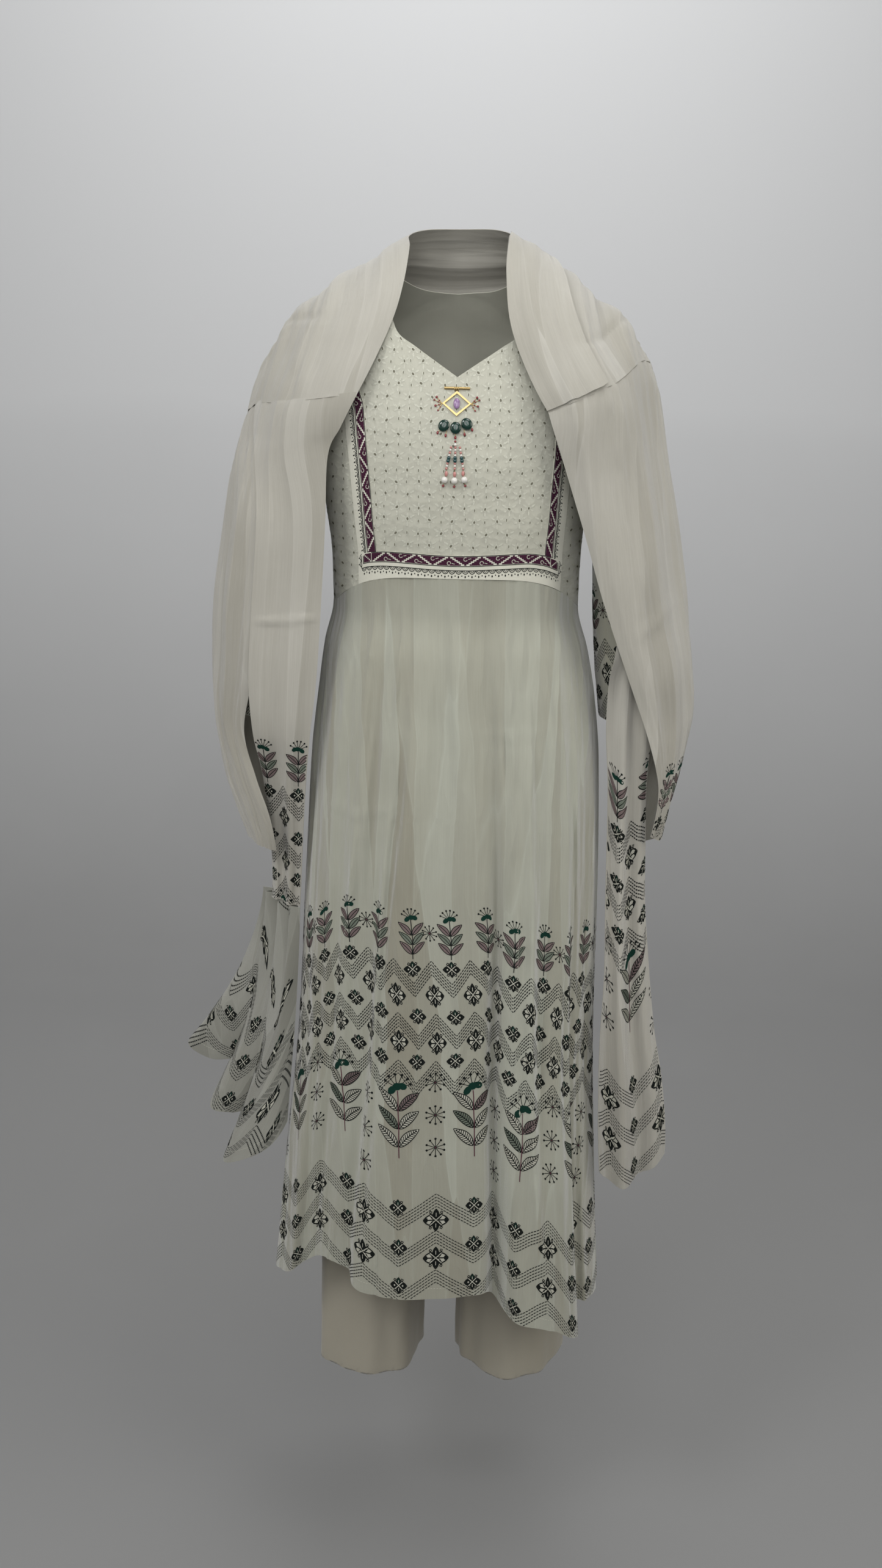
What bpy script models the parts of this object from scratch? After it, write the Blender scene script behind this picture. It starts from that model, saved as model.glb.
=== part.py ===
"""A kurti set as it is worn: a long gathered tunic with a V neck and a bordered yoke, wide
trousers to mid-calf, and a scarf laid behind the neck and down over both arms.

Metres, +Z up. The front faces -Y and +X is the wearer's left. The origin is where the wearer
carries the set: midway between the neck points of the shoulder seams. Heights are given as
drops below that level. Every cloth piece is one thin wall with its real cut edges.
"""

import math
from collections import namedtuple

import bmesh
import bpy
import numpy as np
from mathutils import Matrix, Vector
from mathutils.bvhtree import BVHTree

# Cloth and seams
CLOTH = 0.0012
CASING = 0.0026
SEAM_GAP = 0.0003
GATHERED_SEAM_GAP = 0.0010
LEFT, RIGHT = -1, 1
FRONT, BACK = -1, 1

# Yoke and shoulders
SHOULDER_TIP_X = 0.160
SHOULDER_TIP_DROP = 0.060
UNDERARM_DROP = 0.190
ARMHOLE_DIP = {FRONT: 0.026, BACK: 0.016}
EMPIRE_DROP = 0.311
EMPIRE_SIDE_FALL = 0.041
EMPIRE_POWER = 4.4

# Printed border of the yoke
BORDER_SHIFT = 0.008
BORDER_FOOT_X = 0.088
BORDER_HEAD_X = 0.114
BORDER_WIDTH = 0.019
BORDER_FOOT_HEIGHT = 0.0245
BORDER_FOOT_RISE = 0.0065

# Half of each neckline, from its lowest point up to the shoulder seam
Neck = namedtuple("Neck", "x drop")
NECKLINE = {
    FRONT: (
        Neck(0.0000, 0.1080),
        Neck(0.0215, 0.0935),
        Neck(0.0430, 0.0790),
        Neck(0.0625, 0.0645),
        Neck(0.0715, 0.0340),
        Neck(0.0740, 0.0000),
    ),
    BACK: (Neck(0.000, 0.024), Neck(0.038, 0.020), Neck(0.062, 0.010), Neck(0.074, 0.000)),
}
BODICE_ROWS = 11
BORDER_ROWS = 2
SIDE_SEAM_ROWS = 4
CENTRE_CELLS = 5
BORDER_CELLS = 2
SIDE_CELLS = 4

# Tunic rings. power is the squareness of the section, 2 for an ellipse
Ring = namedtuple("Ring", "drop centre_x half_width front back power")
TORSO = (
    Ring(0.000, 0.000, 0.074, 0.020, 0.030, 2.2),
    Ring(0.031, 0.000, 0.122, 0.052, 0.058, 2.2),
    Ring(0.062, 0.000, 0.170, 0.074, 0.078, 2.2),
    Ring(0.110, 0.000, 0.165, 0.095, 0.092, 2.2),
    Ring(0.150, 0.000, 0.157, 0.108, 0.096, 2.2),
    Ring(0.190, 0.000, 0.149, 0.114, 0.095, 2.2),
    Ring(0.240, 0.002, 0.143, 0.113, 0.091, 2.2),
    Ring(0.300, 0.004, 0.137, 0.107, 0.087, 2.2),
    Ring(0.352, 0.005, 0.136, 0.105, 0.086, 2.2),
    Ring(0.400, 0.006, 0.147, 0.118, 0.096, 2.2),
    Ring(0.450, 0.008, 0.154, 0.128, 0.105, 2.3),
    Ring(0.520, 0.009, 0.161, 0.139, 0.114, 2.3),
    Ring(0.600, 0.009, 0.165, 0.147, 0.122, 2.4),
    Ring(0.700, 0.008, 0.169, 0.150, 0.130, 2.5),
    Ring(0.850, 0.006, 0.173, 0.152, 0.138, 2.6),
    Ring(1.000, 0.004, 0.182, 0.156, 0.146, 2.8),
    Ring(1.200, 0.003, 0.196, 0.160, 0.152, 3.0),
)

# Skirt: big hanging folds, each a lobe that stands out more towards the hem
SKIRT_COLUMNS = {FRONT: 72, BACK: 48}
SKIRT_ROW_SHARES = (0.0, 0.02, 0.06, 0.12, 0.21, 0.33, 0.47, 0.62, 0.80, 1.0)
GATHER_HEIGHT = 0.0017
GATHER_FADE = 0.045
RIPPLES_ROUND = 26
RIPPLE_HEIGHT = 0.0035
LOBE_TOP_DROP = 0.46
LOBE_EDGE = 8.0
LOBE_SIDEWAYS = 0.5
Lobe = namedtuple("Lobe", "angle half_angle depth")
LOBES = (
    Lobe(-66, 13, 0.016),
    Lobe(-6, 16, 0.036),
    Lobe(30, 16, 0.050),
    Lobe(64, 9, 0.014),
    Lobe(88, 8, 0.010),
    Lobe(112, 12, 0.020),
    Lobe(146, 13, 0.026),
    Lobe(182, 14, 0.022),
    Lobe(216, 12, 0.028),
    Lobe(250, 13, 0.020),
)
Hem = namedtuple("Hem", "angle drop")
HEM = (
    Hem(-90, 1.170),
    Hem(-62, 1.146),
    Hem(-36, 1.104),
    Hem(-22, 1.112),
    Hem(-5, 1.120),
    Hem(8, 1.112),
    Hem(14, 1.140),
    Hem(30, 1.160),
    Hem(44, 1.183),
    Hem(50, 1.168),
    Hem(66, 1.172),
    Hem(90, 1.185),
    Hem(135, 1.170),
    Hem(180, 1.160),
    Hem(225, 1.165),
    Hem(270, 1.170),
)

# Sleeves: outer and inner side of each ring, and its depth from front to back
SleeveRing = namedtuple("SleeveRing", "outer_x outer_drop inner_x inner_drop centre_y half_depth")
SLEEVE = (
    SleeveRing(0.176, 0.084, 0.1525, 0.197, 0.004, 0.056),
    SleeveRing(0.194, 0.124, 0.1525, 0.214, 0.003, 0.052),
    SleeveRing(0.215, 0.190, 0.1515, 0.246, 0.002, 0.049),
    SleeveRing(0.233, 0.270, 0.1510, 0.296, 0.000, 0.047),
    SleeveRing(0.242, 0.350, 0.1520, 0.358, -0.004, 0.046),
    SleeveRing(0.245, 0.420, 0.1560, 0.422, -0.008, 0.045),
    SleeveRing(0.246, 0.476, 0.1600, 0.476, -0.012, 0.045),
)
ARMHOLE_STEPS = 5
ARMHOLE_SEAM = 0.0010
UNDERARM_EASE = 0.0022
SLEEVE_SWING = {LEFT: 0.000, RIGHT: 0.0106}
CUFF_DROP = SLEEVE[-1].outer_drop

# Trousers
WAIST_DROP = 0.430
WAISTBAND_HEIGHT = 0.034
WAIST_COLUMNS = 36
WAIST_CLEARANCE = 0.0007
WAIST_EASE = RIPPLE_HEIGHT + CLOTH / 2 + CASING / 2 + WAIST_CLEARANCE
CROTCH_FORK_DROP = 0.640
CROTCH_DROP = 0.715
OUTER_COLUMNS = 12
INNER_COLUMNS = 6
HipRing = namedtuple("HipRing", "drop half_width front back")
HIPS = (
    HipRing(WAIST_DROP + WAISTBAND_HEIGHT + SEAM_GAP, 0.143, 0.117, 0.095),
    HipRing(0.520, 0.148, 0.121, 0.101),
    HipRing(0.580, 0.152, 0.122, 0.107),
    HipRing(CROTCH_FORK_DROP, 0.153, 0.120, 0.108),
)
LegRing = namedtuple("LegRing", "drop left_x right_x centre_y half_width half_depth")
LEGS = (
    LegRing(0.800, 0.078, 0.082, -0.006, 0.070, 0.088),
    LegRing(0.950, 0.078, 0.087, -0.014, 0.067, 0.082),
    LegRing(1.100, 0.078, 0.092, -0.024, 0.065, 0.077),
    LegRing(1.200, 0.078, 0.094, -0.030, 0.0645, 0.075),
    LegRing(1.288, 0.078, 0.095, -0.034, 0.065, 0.075),
)

# Scarf: each section runs from the edge at the neck, out over the shoulder or arm to the side,
# and on to the edge that hangs behind. lift_* moves the first half out, towards the eye.
Section = namedtuple(
    "Section",
    "edge_x edge_y edge_drop side_x side_y side_drop hem_x hem_y hem_drop lift_y lift_z fold",
)
NECK_MIDDLE = Section(
    0.000, 0.068, -0.044, 0.000, 0.116, 0.085, 0.000, 0.118, 0.268, 0.012, 0.010, 0.0045
)
NECK_LEFT = (
    Section(0.036, 0.058, -0.042, 0.098, 0.108, 0.078, 0.104, 0.116, 0.262, 0.014, 0.012, 0.0045),
    Section(0.054, 0.026, -0.034, 0.166, 0.058, 0.062, 0.190, 0.104, 0.246, 0.010, 0.013, 0.0040),
    Section(0.053, -0.010, -0.020, 0.194, 0.014, 0.074, 0.226, 0.086, 0.232, -0.006, 0.016, 0.0030),
    Section(0.058, -0.046, 0.018, 0.206, 0.008, 0.098, 0.230, 0.076, 0.230, -0.030, 0.016, 0.0025),
    Section(0.070, -0.074, 0.060, 0.214, 0.008, 0.118, 0.230, 0.072, 0.240, -0.040, 0.010, 0.0015),
    Section(0.100, -0.100, 0.124, 0.223, 0.008, 0.146, 0.230, 0.070, 0.256, -0.042, 0.002, 0.0000),
)
NECK_RIGHT = (
    Section(0.034, 0.058, -0.044, 0.098, 0.108, 0.076, 0.104, 0.116, 0.262, 0.014, 0.012, 0.0045),
    Section(0.052, 0.028, -0.038, 0.162, 0.058, 0.060, 0.190, 0.104, 0.246, 0.010, 0.013, 0.0040),
    Section(0.050, -0.010, -0.030, 0.190, 0.014, 0.066, 0.224, 0.086, 0.232, -0.002, 0.012, 0.0030),
    Section(0.048, -0.046, 0.008, 0.197, 0.008, 0.074, 0.228, 0.076, 0.228, -0.026, 0.012, 0.0025),
    Section(0.056, -0.084, 0.066, 0.201, 0.008, 0.080, 0.229, 0.072, 0.230, -0.038, 0.004, 0.0020),
    Section(0.092, -0.112, 0.138, 0.205, 0.008, 0.088, 0.230, 0.070, 0.234, -0.050, 0.000, 0.0000),
)
ARM_LEFT = (
    Section(0.180, -0.078, 0.135, 0.2235, 0.008, 0.1475, 0.230, 0.070, 0.258, -0.018, 0.000, 0.0000),
    Section(0.184, -0.077, 0.168, 0.2335, 0.008, 0.176, 0.230, 0.070, 0.278, -0.020, 0.000, 0.0000),
    Section(0.188, -0.079, 0.205, 0.243, 0.008, 0.208, 0.230, 0.068, 0.300, -0.024, 0.000, 0.0010),
    Section(0.190, -0.083, 0.280, 0.256, 0.008, 0.285, 0.228, 0.066, 0.350, -0.028, 0.000, 0.0015),
    Section(0.200, -0.080, 0.360, 0.264, 0.006, 0.362, 0.222, 0.062, 0.408, -0.026, 0.000, 0.0025),
    Section(0.214, -0.072, 0.430, 0.266, 0.002, 0.435, 0.212, 0.056, 0.468, -0.020, 0.000, 0.0025),
    Section(0.226, -0.058, 0.492, 0.262, -0.004, 0.490, 0.200, 0.044, 0.520, -0.016, 0.000, 0.0025),
    Section(0.212, -0.068, 0.543, 0.252, -0.014, 0.545, 0.192, 0.020, 0.562, -0.016, 0.000, 0.0020),
    Section(0.197, -0.074, 0.585, 0.239, -0.024, 0.582, 0.184, 0.004, 0.602, -0.014, 0.000, 0.0015),
    Section(0.190, -0.068, 0.628, 0.224, -0.034, 0.622, 0.182, -0.006, 0.638, -0.012, 0.000, 0.0010),
)
ARM_RIGHT = (
    Section(0.0925, -0.112, 0.1395, 0.2055, 0.008, 0.0895, 0.230, 0.070, 0.2355, -0.050, 0.000, 0.0000),
    Section(0.104, -0.112, 0.172, 0.219, 0.008, 0.136, 0.231, 0.070, 0.262, -0.046, 0.000, 0.0020),
    Section(0.119, -0.106, 0.214, 0.231, 0.008, 0.196, 0.232, 0.069, 0.300, -0.040, 0.000, 0.0025),
    Section(0.141, -0.100, 0.276, 0.247, 0.008, 0.270, 0.233, 0.068, 0.345, -0.042, 0.000, 0.0030),
    Section(0.166, -0.094, 0.350, 0.260, 0.006, 0.350, 0.232, 0.064, 0.400, -0.038, 0.000, 0.0030),
    Section(0.190, -0.088, 0.412, 0.270, 0.000, 0.412, 0.230, 0.058, 0.450, -0.032, 0.000, 0.0030),
    Section(0.211, -0.083, 0.466, 0.2745, -0.004, 0.467, 0.226, 0.046, 0.498, -0.022, 0.000, 0.0025),
    Section(0.225, -0.080, 0.507, 0.268, -0.014, 0.500, 0.220, 0.030, 0.532, -0.018, 0.000, 0.0020),
    Section(0.234, -0.076, 0.548, 0.256, -0.030, 0.558, 0.216, 0.008, 0.582, -0.012, 0.000, 0.0015),
    Section(0.229, -0.070, 0.600, 0.245, -0.040, 0.612, 0.214, -0.006, 0.632, -0.008, 0.000, 0.0010),
)
Bulge = namedtuple("Bulge", "out back")
SIDE_BULGE = Bulge(0.008, 0.010)
NECK_BULGE = Bulge(0.000, 0.006)
SCARF_FOLDS = 5
NECK_COLUMNS = 16
ARM_COLUMNS = 14
FRONT_LIFT_AT = 0.58
SCARF_SEAM_GAP = 0.0014
CREASE_FADE = 0.130
PANEL_CREASE_SHARE = 0.50
PANEL_RIGHT_SECTION = 4
PANEL_RIGHT_SHARES = (0.06, 0.30)
PANEL_RIGHT_FADE = 0.120
ARM_CREASE_SHARE = 0.36
ARM_TUCK = 0.0028
TUCK_FADE = 0.12
TUCK_CLEARANCE = 0.0001

# Hanging scarf panels: both edges of each row, front surface towards -Y
PanelRow = namedtuple("PanelRow", "drop inner_x inner_y outer_x outer_y bow fold")
PANEL_LEFT = (
    PanelRow(0.1255, 0.1015, -0.1010, 0.205, -0.0660, 0.012, 0.0000),
    PanelRow(0.160, 0.119, -0.0990, 0.207, -0.0740, 0.008, 0.0005),
    PanelRow(0.190, 0.132, -0.0950, 0.208, -0.0780, 0.007, 0.0010),
    PanelRow(0.260, 0.134, -0.0930, 0.207, -0.0850, 0.006, 0.0012),
    PanelRow(0.355, 0.139, -0.0900, 0.213, -0.0870, 0.004, 0.0012),
    PanelRow(0.430, 0.144, -0.0880, 0.217, -0.0850, 0.003, 0.0015),
    PanelRow(0.490, 0.151, -0.0840, 0.214, -0.0760, 0.003, 0.0020),
    PanelRow(0.540, 0.156, -0.0760, 0.207, -0.0520, 0.003, 0.0030),
    PanelRow(0.600, 0.160, -0.0660, 0.202, -0.0380, 0.003, 0.0040),
    PanelRow(0.660, 0.163, -0.0580, 0.200, -0.0280, 0.003, 0.0045),
    PanelRow(0.700, 0.165, -0.0540, 0.202, -0.0220, 0.003, 0.0050),
)
PANEL_RIGHT = (
    PanelRow(0.330, 0.182, -0.0660, 0.214, -0.0570, 0.001, 0.0000),
    PanelRow(0.380, 0.178, -0.0680, 0.220, -0.0600, 0.002, 0.0015),
    PanelRow(0.425, 0.173, -0.0700, 0.224, -0.0640, 0.002, 0.0020),
    PanelRow(0.480, 0.173, -0.0700, 0.224, -0.0660, 0.002, 0.0030),
    PanelRow(0.540, 0.178, -0.0680, 0.222, -0.0600, 0.002, 0.0040),
    PanelRow(0.614, 0.181, -0.0680, 0.226, -0.0520, 0.002, 0.0050),
    PanelRow(0.690, 0.183, -0.0760, 0.230, -0.0500, 0.002, 0.0060),
    PanelRow(0.760, 0.184, -0.0860, 0.238, -0.0520, 0.002, 0.0070),
    PanelRow(0.840, 0.182, -0.0960, 0.250, -0.0540, 0.002, 0.0080),
    PanelRow(0.900, 0.184, -0.1000, 0.262, -0.0560, 0.002, 0.0085),
    PanelRow(0.960, 0.187, -0.1010, 0.270, -0.0560, 0.002, 0.0090),
    PanelRow(1.004, 0.190, -0.1020, 0.272, -0.0560, 0.002, 0.0095),
)
PANEL_LEFT_COLUMNS = 10
PANEL_LEFT_FOLDS = 2
PANEL_RIGHT_COLUMNS = 16
PANEL_RIGHT_FOLDS = 2
PANEL_RIGHT_END_DIP = 0.026

# Folded band at the right shoulder: how far it covers the section under it, and its roll
BAND_SECTIONS = 9
BAND_COLUMNS = 5
BAND_REACH_TOP = 0.15
BAND_REACH_FOOT = 0.25
BAND_LIFT = 0.0022
BAND_ROLL = 0.0045

# Ruffled end: each turn of its hem, and the narrow top it falls from
HemTurn = namedtuple("HemTurn", "x y drop")
CASCADE_HEM = (
    HemTurn(0.179, -0.070, 0.965),
    HemTurn(0.200, -0.082, 0.993),
    HemTurn(0.231, -0.076, 1.014),
    HemTurn(0.259, -0.052, 1.030),
    HemTurn(0.247, -0.030, 1.004),
    HemTurn(0.231, -0.018, 0.981),
    HemTurn(0.254, -0.012, 0.987),
    HemTurn(0.281, 0.000, 0.986),
    HemTurn(0.268, 0.016, 0.952),
    HemTurn(0.251, 0.030, 0.936),
    HemTurn(0.286, 0.042, 0.942),
    HemTurn(0.316, 0.054, 0.928),
    HemTurn(0.296, 0.068, 0.910),
)
CASCADE_TOP = (HemTurn(0.165, -0.054, 0.7005), HemTurn(0.215, 0.012, 0.7005))
CASCADE_TOP_WAVE = 0.008
CASCADE_ROWS = 7
CASCADE_COLUMNS = 24
CASCADE_FLARE = 1.5

# Ornament at the centre of the yoke, with the drop of each piece below the shoulders
BAR_DROP = 0.119
BAR_LENGTH = 0.026
BAR_RADIUS = 0.0014
FRAME_DROP = 0.134
FRAME_HALF_WIDTH = 0.0135
FRAME_HALF_HEIGHT = 0.011
FRAME_BAR = 0.0012
STONE_RADII = (0.0034, 0.0020, 0.0056)
LEAF_RADII = (0.0056, 0.0024, 0.0062)
Leaf = namedtuple("Leaf", "x drop turn")
LEAVES = (Leaf(-0.0125, 0.1555, 28), Leaf(-0.0005, 0.1575, 0), Leaf(0.0105, 0.1535, -32))
STRAND_TOP_DROP = 0.178
STRAND_FOOT_DROP = 0.204
STRAND_RADIUS = 0.0013
STRAND_GATHER = 0.45
THREAD_SLACK = 0.0007
Pearl = namedtuple("Pearl", "x drop")
PEARLS = (Pearl(-0.0105, 0.2085), Pearl(-0.0005, 0.2090), Pearl(0.0095, 0.2080))
PEARL_RADIUS = 0.0034

# Colours
Finish = namedtuple("Finish", "red green blue roughness metallic")
CREAM = Finish(0.72, 0.68, 0.57, 0.80, 0.0)
CREAM_PRINT = Finish(0.60, 0.60, 0.54, 0.80, 0.0)
TROUSER_CREAM = Finish(0.66, 0.62, 0.52, 0.85, 0.0)
SCARF_CREAM = Finish(0.74, 0.71, 0.63, 0.60, 0.0)
PLUM_PRINT = Finish(0.20, 0.09, 0.13, 0.80, 0.0)
GOLD = Finish(0.72, 0.52, 0.22, 0.30, 1.0)
VIOLET = Finish(0.34, 0.16, 0.40, 0.15, 0.0)
DARK_GREEN = Finish(0.02, 0.13, 0.09, 0.15, 0.0)
WHITE_PEARL = Finish(0.85, 0.82, 0.78, 0.25, 0.0)


def table(rows, *names):
    """The named columns of a table as an array, one row for each of its rows."""
    return np.array([[getattr(row, name) for name in names] for row in rows], float)


def through(stations, values, at):
    """Values along a smooth curve through every station's values, with no overshoot between them."""
    stations = np.asarray(stations, float)
    values = np.asarray(values, float).reshape(len(stations), -1)
    at = np.clip(np.asarray(at, float), stations[0], stations[-1])
    steps = np.diff(stations)[:, None]
    slopes = np.diff(values, axis=0) / steps
    agree = slopes[:-1] * slopes[1:] > 0
    total = np.where(agree, slopes[:-1] + slopes[1:], 1.0)
    tangents = np.where(agree, 2 * slopes[:-1] * slopes[1:] / total, 0.0)
    tangents = np.vstack([slopes[:1], tangents, slopes[-1:]])
    first = np.clip(np.searchsorted(stations, at, side="right") - 1, 0, len(stations) - 2)
    t = ((at - stations[first]) / steps[first, 0])[..., None]
    ease = t * t * (3 - 2 * t)
    pull = t * (1 - t)
    straight = values[first] * (1 - ease) + values[first + 1] * ease
    turn = (tangents[first] * (1 - t) - tangents[first + 1] * t) * steps[first] * pull
    return straight + turn


def grid_faces(rows, columns, flip=False, closed=False):
    """Triangles of a grid of points. With rows going up and columns going to +X they face -Y."""
    faces = []
    last = columns if closed else columns - 1
    for row in range(rows - 1):
        for column in range(last):
            a = row * columns + column
            b = row * columns + (column + 1) % columns
            faces += [(a, b, b + columns), (a, b + columns, a + columns)]
    return [face[::-1] for face in faces] if flip else faces


def sheet_normals(points, faces):
    """The outward direction at each point of a sheet, from the faces round it."""
    corners = points[np.array(faces)]
    across = np.cross(corners[:, 1] - corners[:, 0], corners[:, 2] - corners[:, 0])
    normals = np.zeros_like(points)
    for corner in range(3):
        np.add.at(normals, np.array(faces)[:, corner], across)
    return normals / np.linalg.norm(normals, axis=1)[:, None]


def flattened(normals, indices, axis):
    """Normals turned square to an axis at a seam, so that the two rims there face each other."""
    normals = normals.copy()
    normals[indices, axis] = 0
    normals[indices] /= np.linalg.norm(normals[indices], axis=1)[:, None]
    return normals


def rim_edges(faces):
    """The edges that only one face uses, in that face's direction."""
    edges = {}
    for face in faces:
        for a, b in zip(face, face[1:] + face[:1]):
            edges[a, b] = True
    return [(a, b) for a, b in edges if (b, a) not in edges]


def new_material(name, finish):
    material = bpy.data.materials.get(name)
    if material:
        return material
    material = bpy.data.materials.new(name)
    material.use_nodes = True
    shader = material.node_tree.nodes["Principled BSDF"]
    shader.inputs["Base Color"].default_value = (finish.red, finish.green, finish.blue, 1)
    shader.inputs["Roughness"].default_value = finish.roughness
    shader.inputs["Metallic"].default_value = finish.metallic
    return material


def add_object(name, mesh, material_name, finish):
    mesh.materials.append(new_material(material_name, finish))
    part = bpy.data.objects.new(name, mesh)
    part.parent = SHOULDERS
    bpy.context.scene.collection.objects.link(part)
    return part


def add_wall(name, points, faces, material_name, finish, thickness=CLOTH, normals=None):
    """One closed wall: the sheet moved out and in by half its thickness, with a rim round it."""
    if normals is None:
        normals = sheet_normals(points, faces)
    count = len(points)
    corners = np.vstack([points + normals * thickness / 2, points - normals * thickness / 2])
    solid = [tuple(face) for face in faces]
    solid += [tuple(count + corner for corner in reversed(face)) for face in faces]
    for a, b in rim_edges(faces):
        solid += [(b, a, count + a), (b, count + a, count + b)]
    mesh = bpy.data.meshes.new(name)
    mesh.from_pydata([tuple(corner) for corner in corners], [], solid)
    mesh.shade_smooth()
    mesh.set_sharp_from_angle(angle=math.radians(50))
    return add_object(name, mesh, material_name, finish)


TORSO_DROPS = table(TORSO, "drop")[:, 0]
TORSO_SIZES = table(TORSO, "centre_x", "half_width", "front", "back", "power")


def torso(drop):
    """Centre, half width, front and back reach and squareness of the tunic at a drop."""
    sizes = through(TORSO_DROPS, TORSO_SIZES, drop)
    return tuple(np.moveaxis(sizes, -1, 0))


def torso_y(x, drop, facing):
    """Where the tunic's front or back lies, at a width and a drop."""
    centre, half_width, front, back, power = torso(drop)
    reach = front if facing == FRONT else back
    ratio = np.clip(np.abs(x - centre) / half_width, 0, 1)
    return facing * reach * (1 - ratio**power) ** (1 / power)


def empire_drop(x):
    """The empire seam, which falls away to the side seams."""
    seam = TORSO[8]
    ratio = np.clip(np.abs(x - seam.centre_x) / seam.half_width, 0, 1)
    return EMPIRE_DROP + EMPIRE_SIDE_FALL * ratio**EMPIRE_POWER


def border_height(x):
    """Height of the border's foot strip, which widens towards its corners."""
    return BORDER_FOOT_HEIGHT + BORDER_FOOT_RISE * np.clip(np.abs(x) / BORDER_FOOT_X, 0, 1) ** 2


def armhole(facing):
    """Width and drop of the armhole's points, from the underarm up to the shoulder tip."""
    up = np.linspace(0, 1, ARMHOLE_STEPS + 1)
    underarm_x = TORSO[5].half_width
    x = underarm_x + (SHOULDER_TIP_X - underarm_x) * up - ARMHOLE_DIP[facing] * np.sin(np.pi * up)
    drop = UNDERARM_DROP + (SHOULDER_TIP_DROP - UNDERARM_DROP) * up
    return np.column_stack([x, drop])


def bodice_edges(facing, side):
    """The inner and outer end of each row above the border strip, up to the shoulder seam."""
    neck = table(NECKLINE[facing], "x", "drop")
    centre_rows = BODICE_ROWS - BORDER_ROWS - len(neck) + 1
    centre = np.linspace(EMPIRE_DROP - BORDER_FOOT_HEIGHT, neck[0, 1], centre_rows + 1)
    inner = [(0, drop) for drop in centre[1:-1]] + list(neck)
    seam_drop = EMPIRE_DROP + EMPIRE_SIDE_FALL - border_height(BORDER_FOOT_X)
    outer = []
    for drop in np.linspace(seam_drop, UNDERARM_DROP, SIDE_SEAM_ROWS + 1)[1:]:
        centre_x, half_width = torso(drop)[:2]
        outer.append((half_width + side * centre_x, drop))
    outer += list(armhole(facing)[1:])
    return np.array(inner), np.array(outer)


def bodice_widths(x_in, x_out, rise, side):
    """Distances from the centre line: over the yoke, over the border, then on to the side."""
    border_x = BORDER_FOOT_X + (BORDER_HEAD_X - BORDER_FOOT_X) * rise
    border_x += side * BORDER_SHIFT * (1 - rise)
    over_x = border_x + BORDER_WIDTH
    turn = np.sin(np.linspace(0, math.pi / 2, SIDE_CELLS + 1)[1:])
    widths = [
        np.linspace(x_in, border_x, CENTRE_CELLS + 1),
        np.linspace(border_x, over_x, BORDER_CELLS + 1)[1:],
        over_x + (x_out - over_x) * turn,
    ]
    return np.concatenate(widths)


def bodice_half(facing, side):
    """Rows of points for half a bodice panel, from the empire seam upwards."""
    rows = []
    seam = TORSO[8]
    for share in np.linspace(0, 1, BORDER_ROWS + 1):
        widths = bodice_widths(0, seam.half_width + side * seam.centre_x, 0, side)
        drops = empire_drop(side * widths) - share * border_height(widths)
        rows.append((widths, drops))
    inner, outer = bodice_edges(facing, side)
    for row, ((x_in, drop_in), (x_out, drop_out)) in enumerate(zip(inner, outer), start=1):
        rise = row / len(inner)
        widths = bodice_widths(x_in, x_out, rise, side)
        bow = 1 + (EMPIRE_POWER - 1) * (1 - rise) ** 1.5
        drops = drop_in + (drop_out - drop_in) * ((widths - x_in) / (x_out - x_in)) ** bow
        rows.append((widths, drops))
    points = []
    for widths, drops in rows:
        depths = torso_y(side * widths, drops, facing)
        depths = facing * np.maximum(np.abs(depths), SEAM_GAP / 2)
        points.append(np.column_stack([side * widths, depths, -drops]))
    return points


def bodice_sheet(facing):
    """Points, faces and each half's grid of point numbers. Above the neck's foot the halves part."""
    below_neck = BODICE_ROWS - len(NECKLINE[facing]) + 1
    points, faces, grids = [], [], {}
    for side in (LEFT, RIGHT):
        rows = bodice_half(facing, side)
        grid = []
        for row, row_points in enumerate(rows):
            shared = side == RIGHT and row <= below_neck
            numbers = [grids[LEFT][row][0]] if shared else []
            for point in row_points[1 if shared else 0 :]:
                numbers.append(len(points))
                points.append(point)
            grid.append(numbers)
        grids[side] = grid
        outward = (side == RIGHT) == (facing == FRONT)
        for low, high in zip(grid, grid[1:]):
            for a, b, c, d in zip(low, low[1:], high[1:], high):
                pair = [(a, b, c), (a, c, d)]
                faces += pair if outward else [face[::-1] for face in pair]
    return np.array(points), faces, grids


def bodice_normals(points, faces):
    normals = sheet_normals(points, faces)
    at_seam = np.abs(points[:, 1]) < SEAM_GAP
    normals = flattened(normals, at_seam, 1)
    at_foot = -points[:, 2] > empire_drop(points[:, 0]) - SEAM_GAP
    return flattened(normals, at_foot, 2)


def make_bodice():
    front = bodice_sheet(FRONT)
    front_normals = bodice_normals(front[0], front[1])
    add_wall("bodice_front", front[0], front[1], "eyelet_cloth", CREAM, normals=front_normals)
    back = bodice_sheet(BACK)
    add_wall(
        "bodice_back", back[0], back[1], "plain_cloth", CREAM, normals=bodice_normals(*back[:2])
    )
    make_borders(front[0], front_normals, front[2])
    outer = front[0] + front_normals * CLOTH / 2
    return BVHTree.FromPolygons([tuple(point) for point in outer], front[1])


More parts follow.
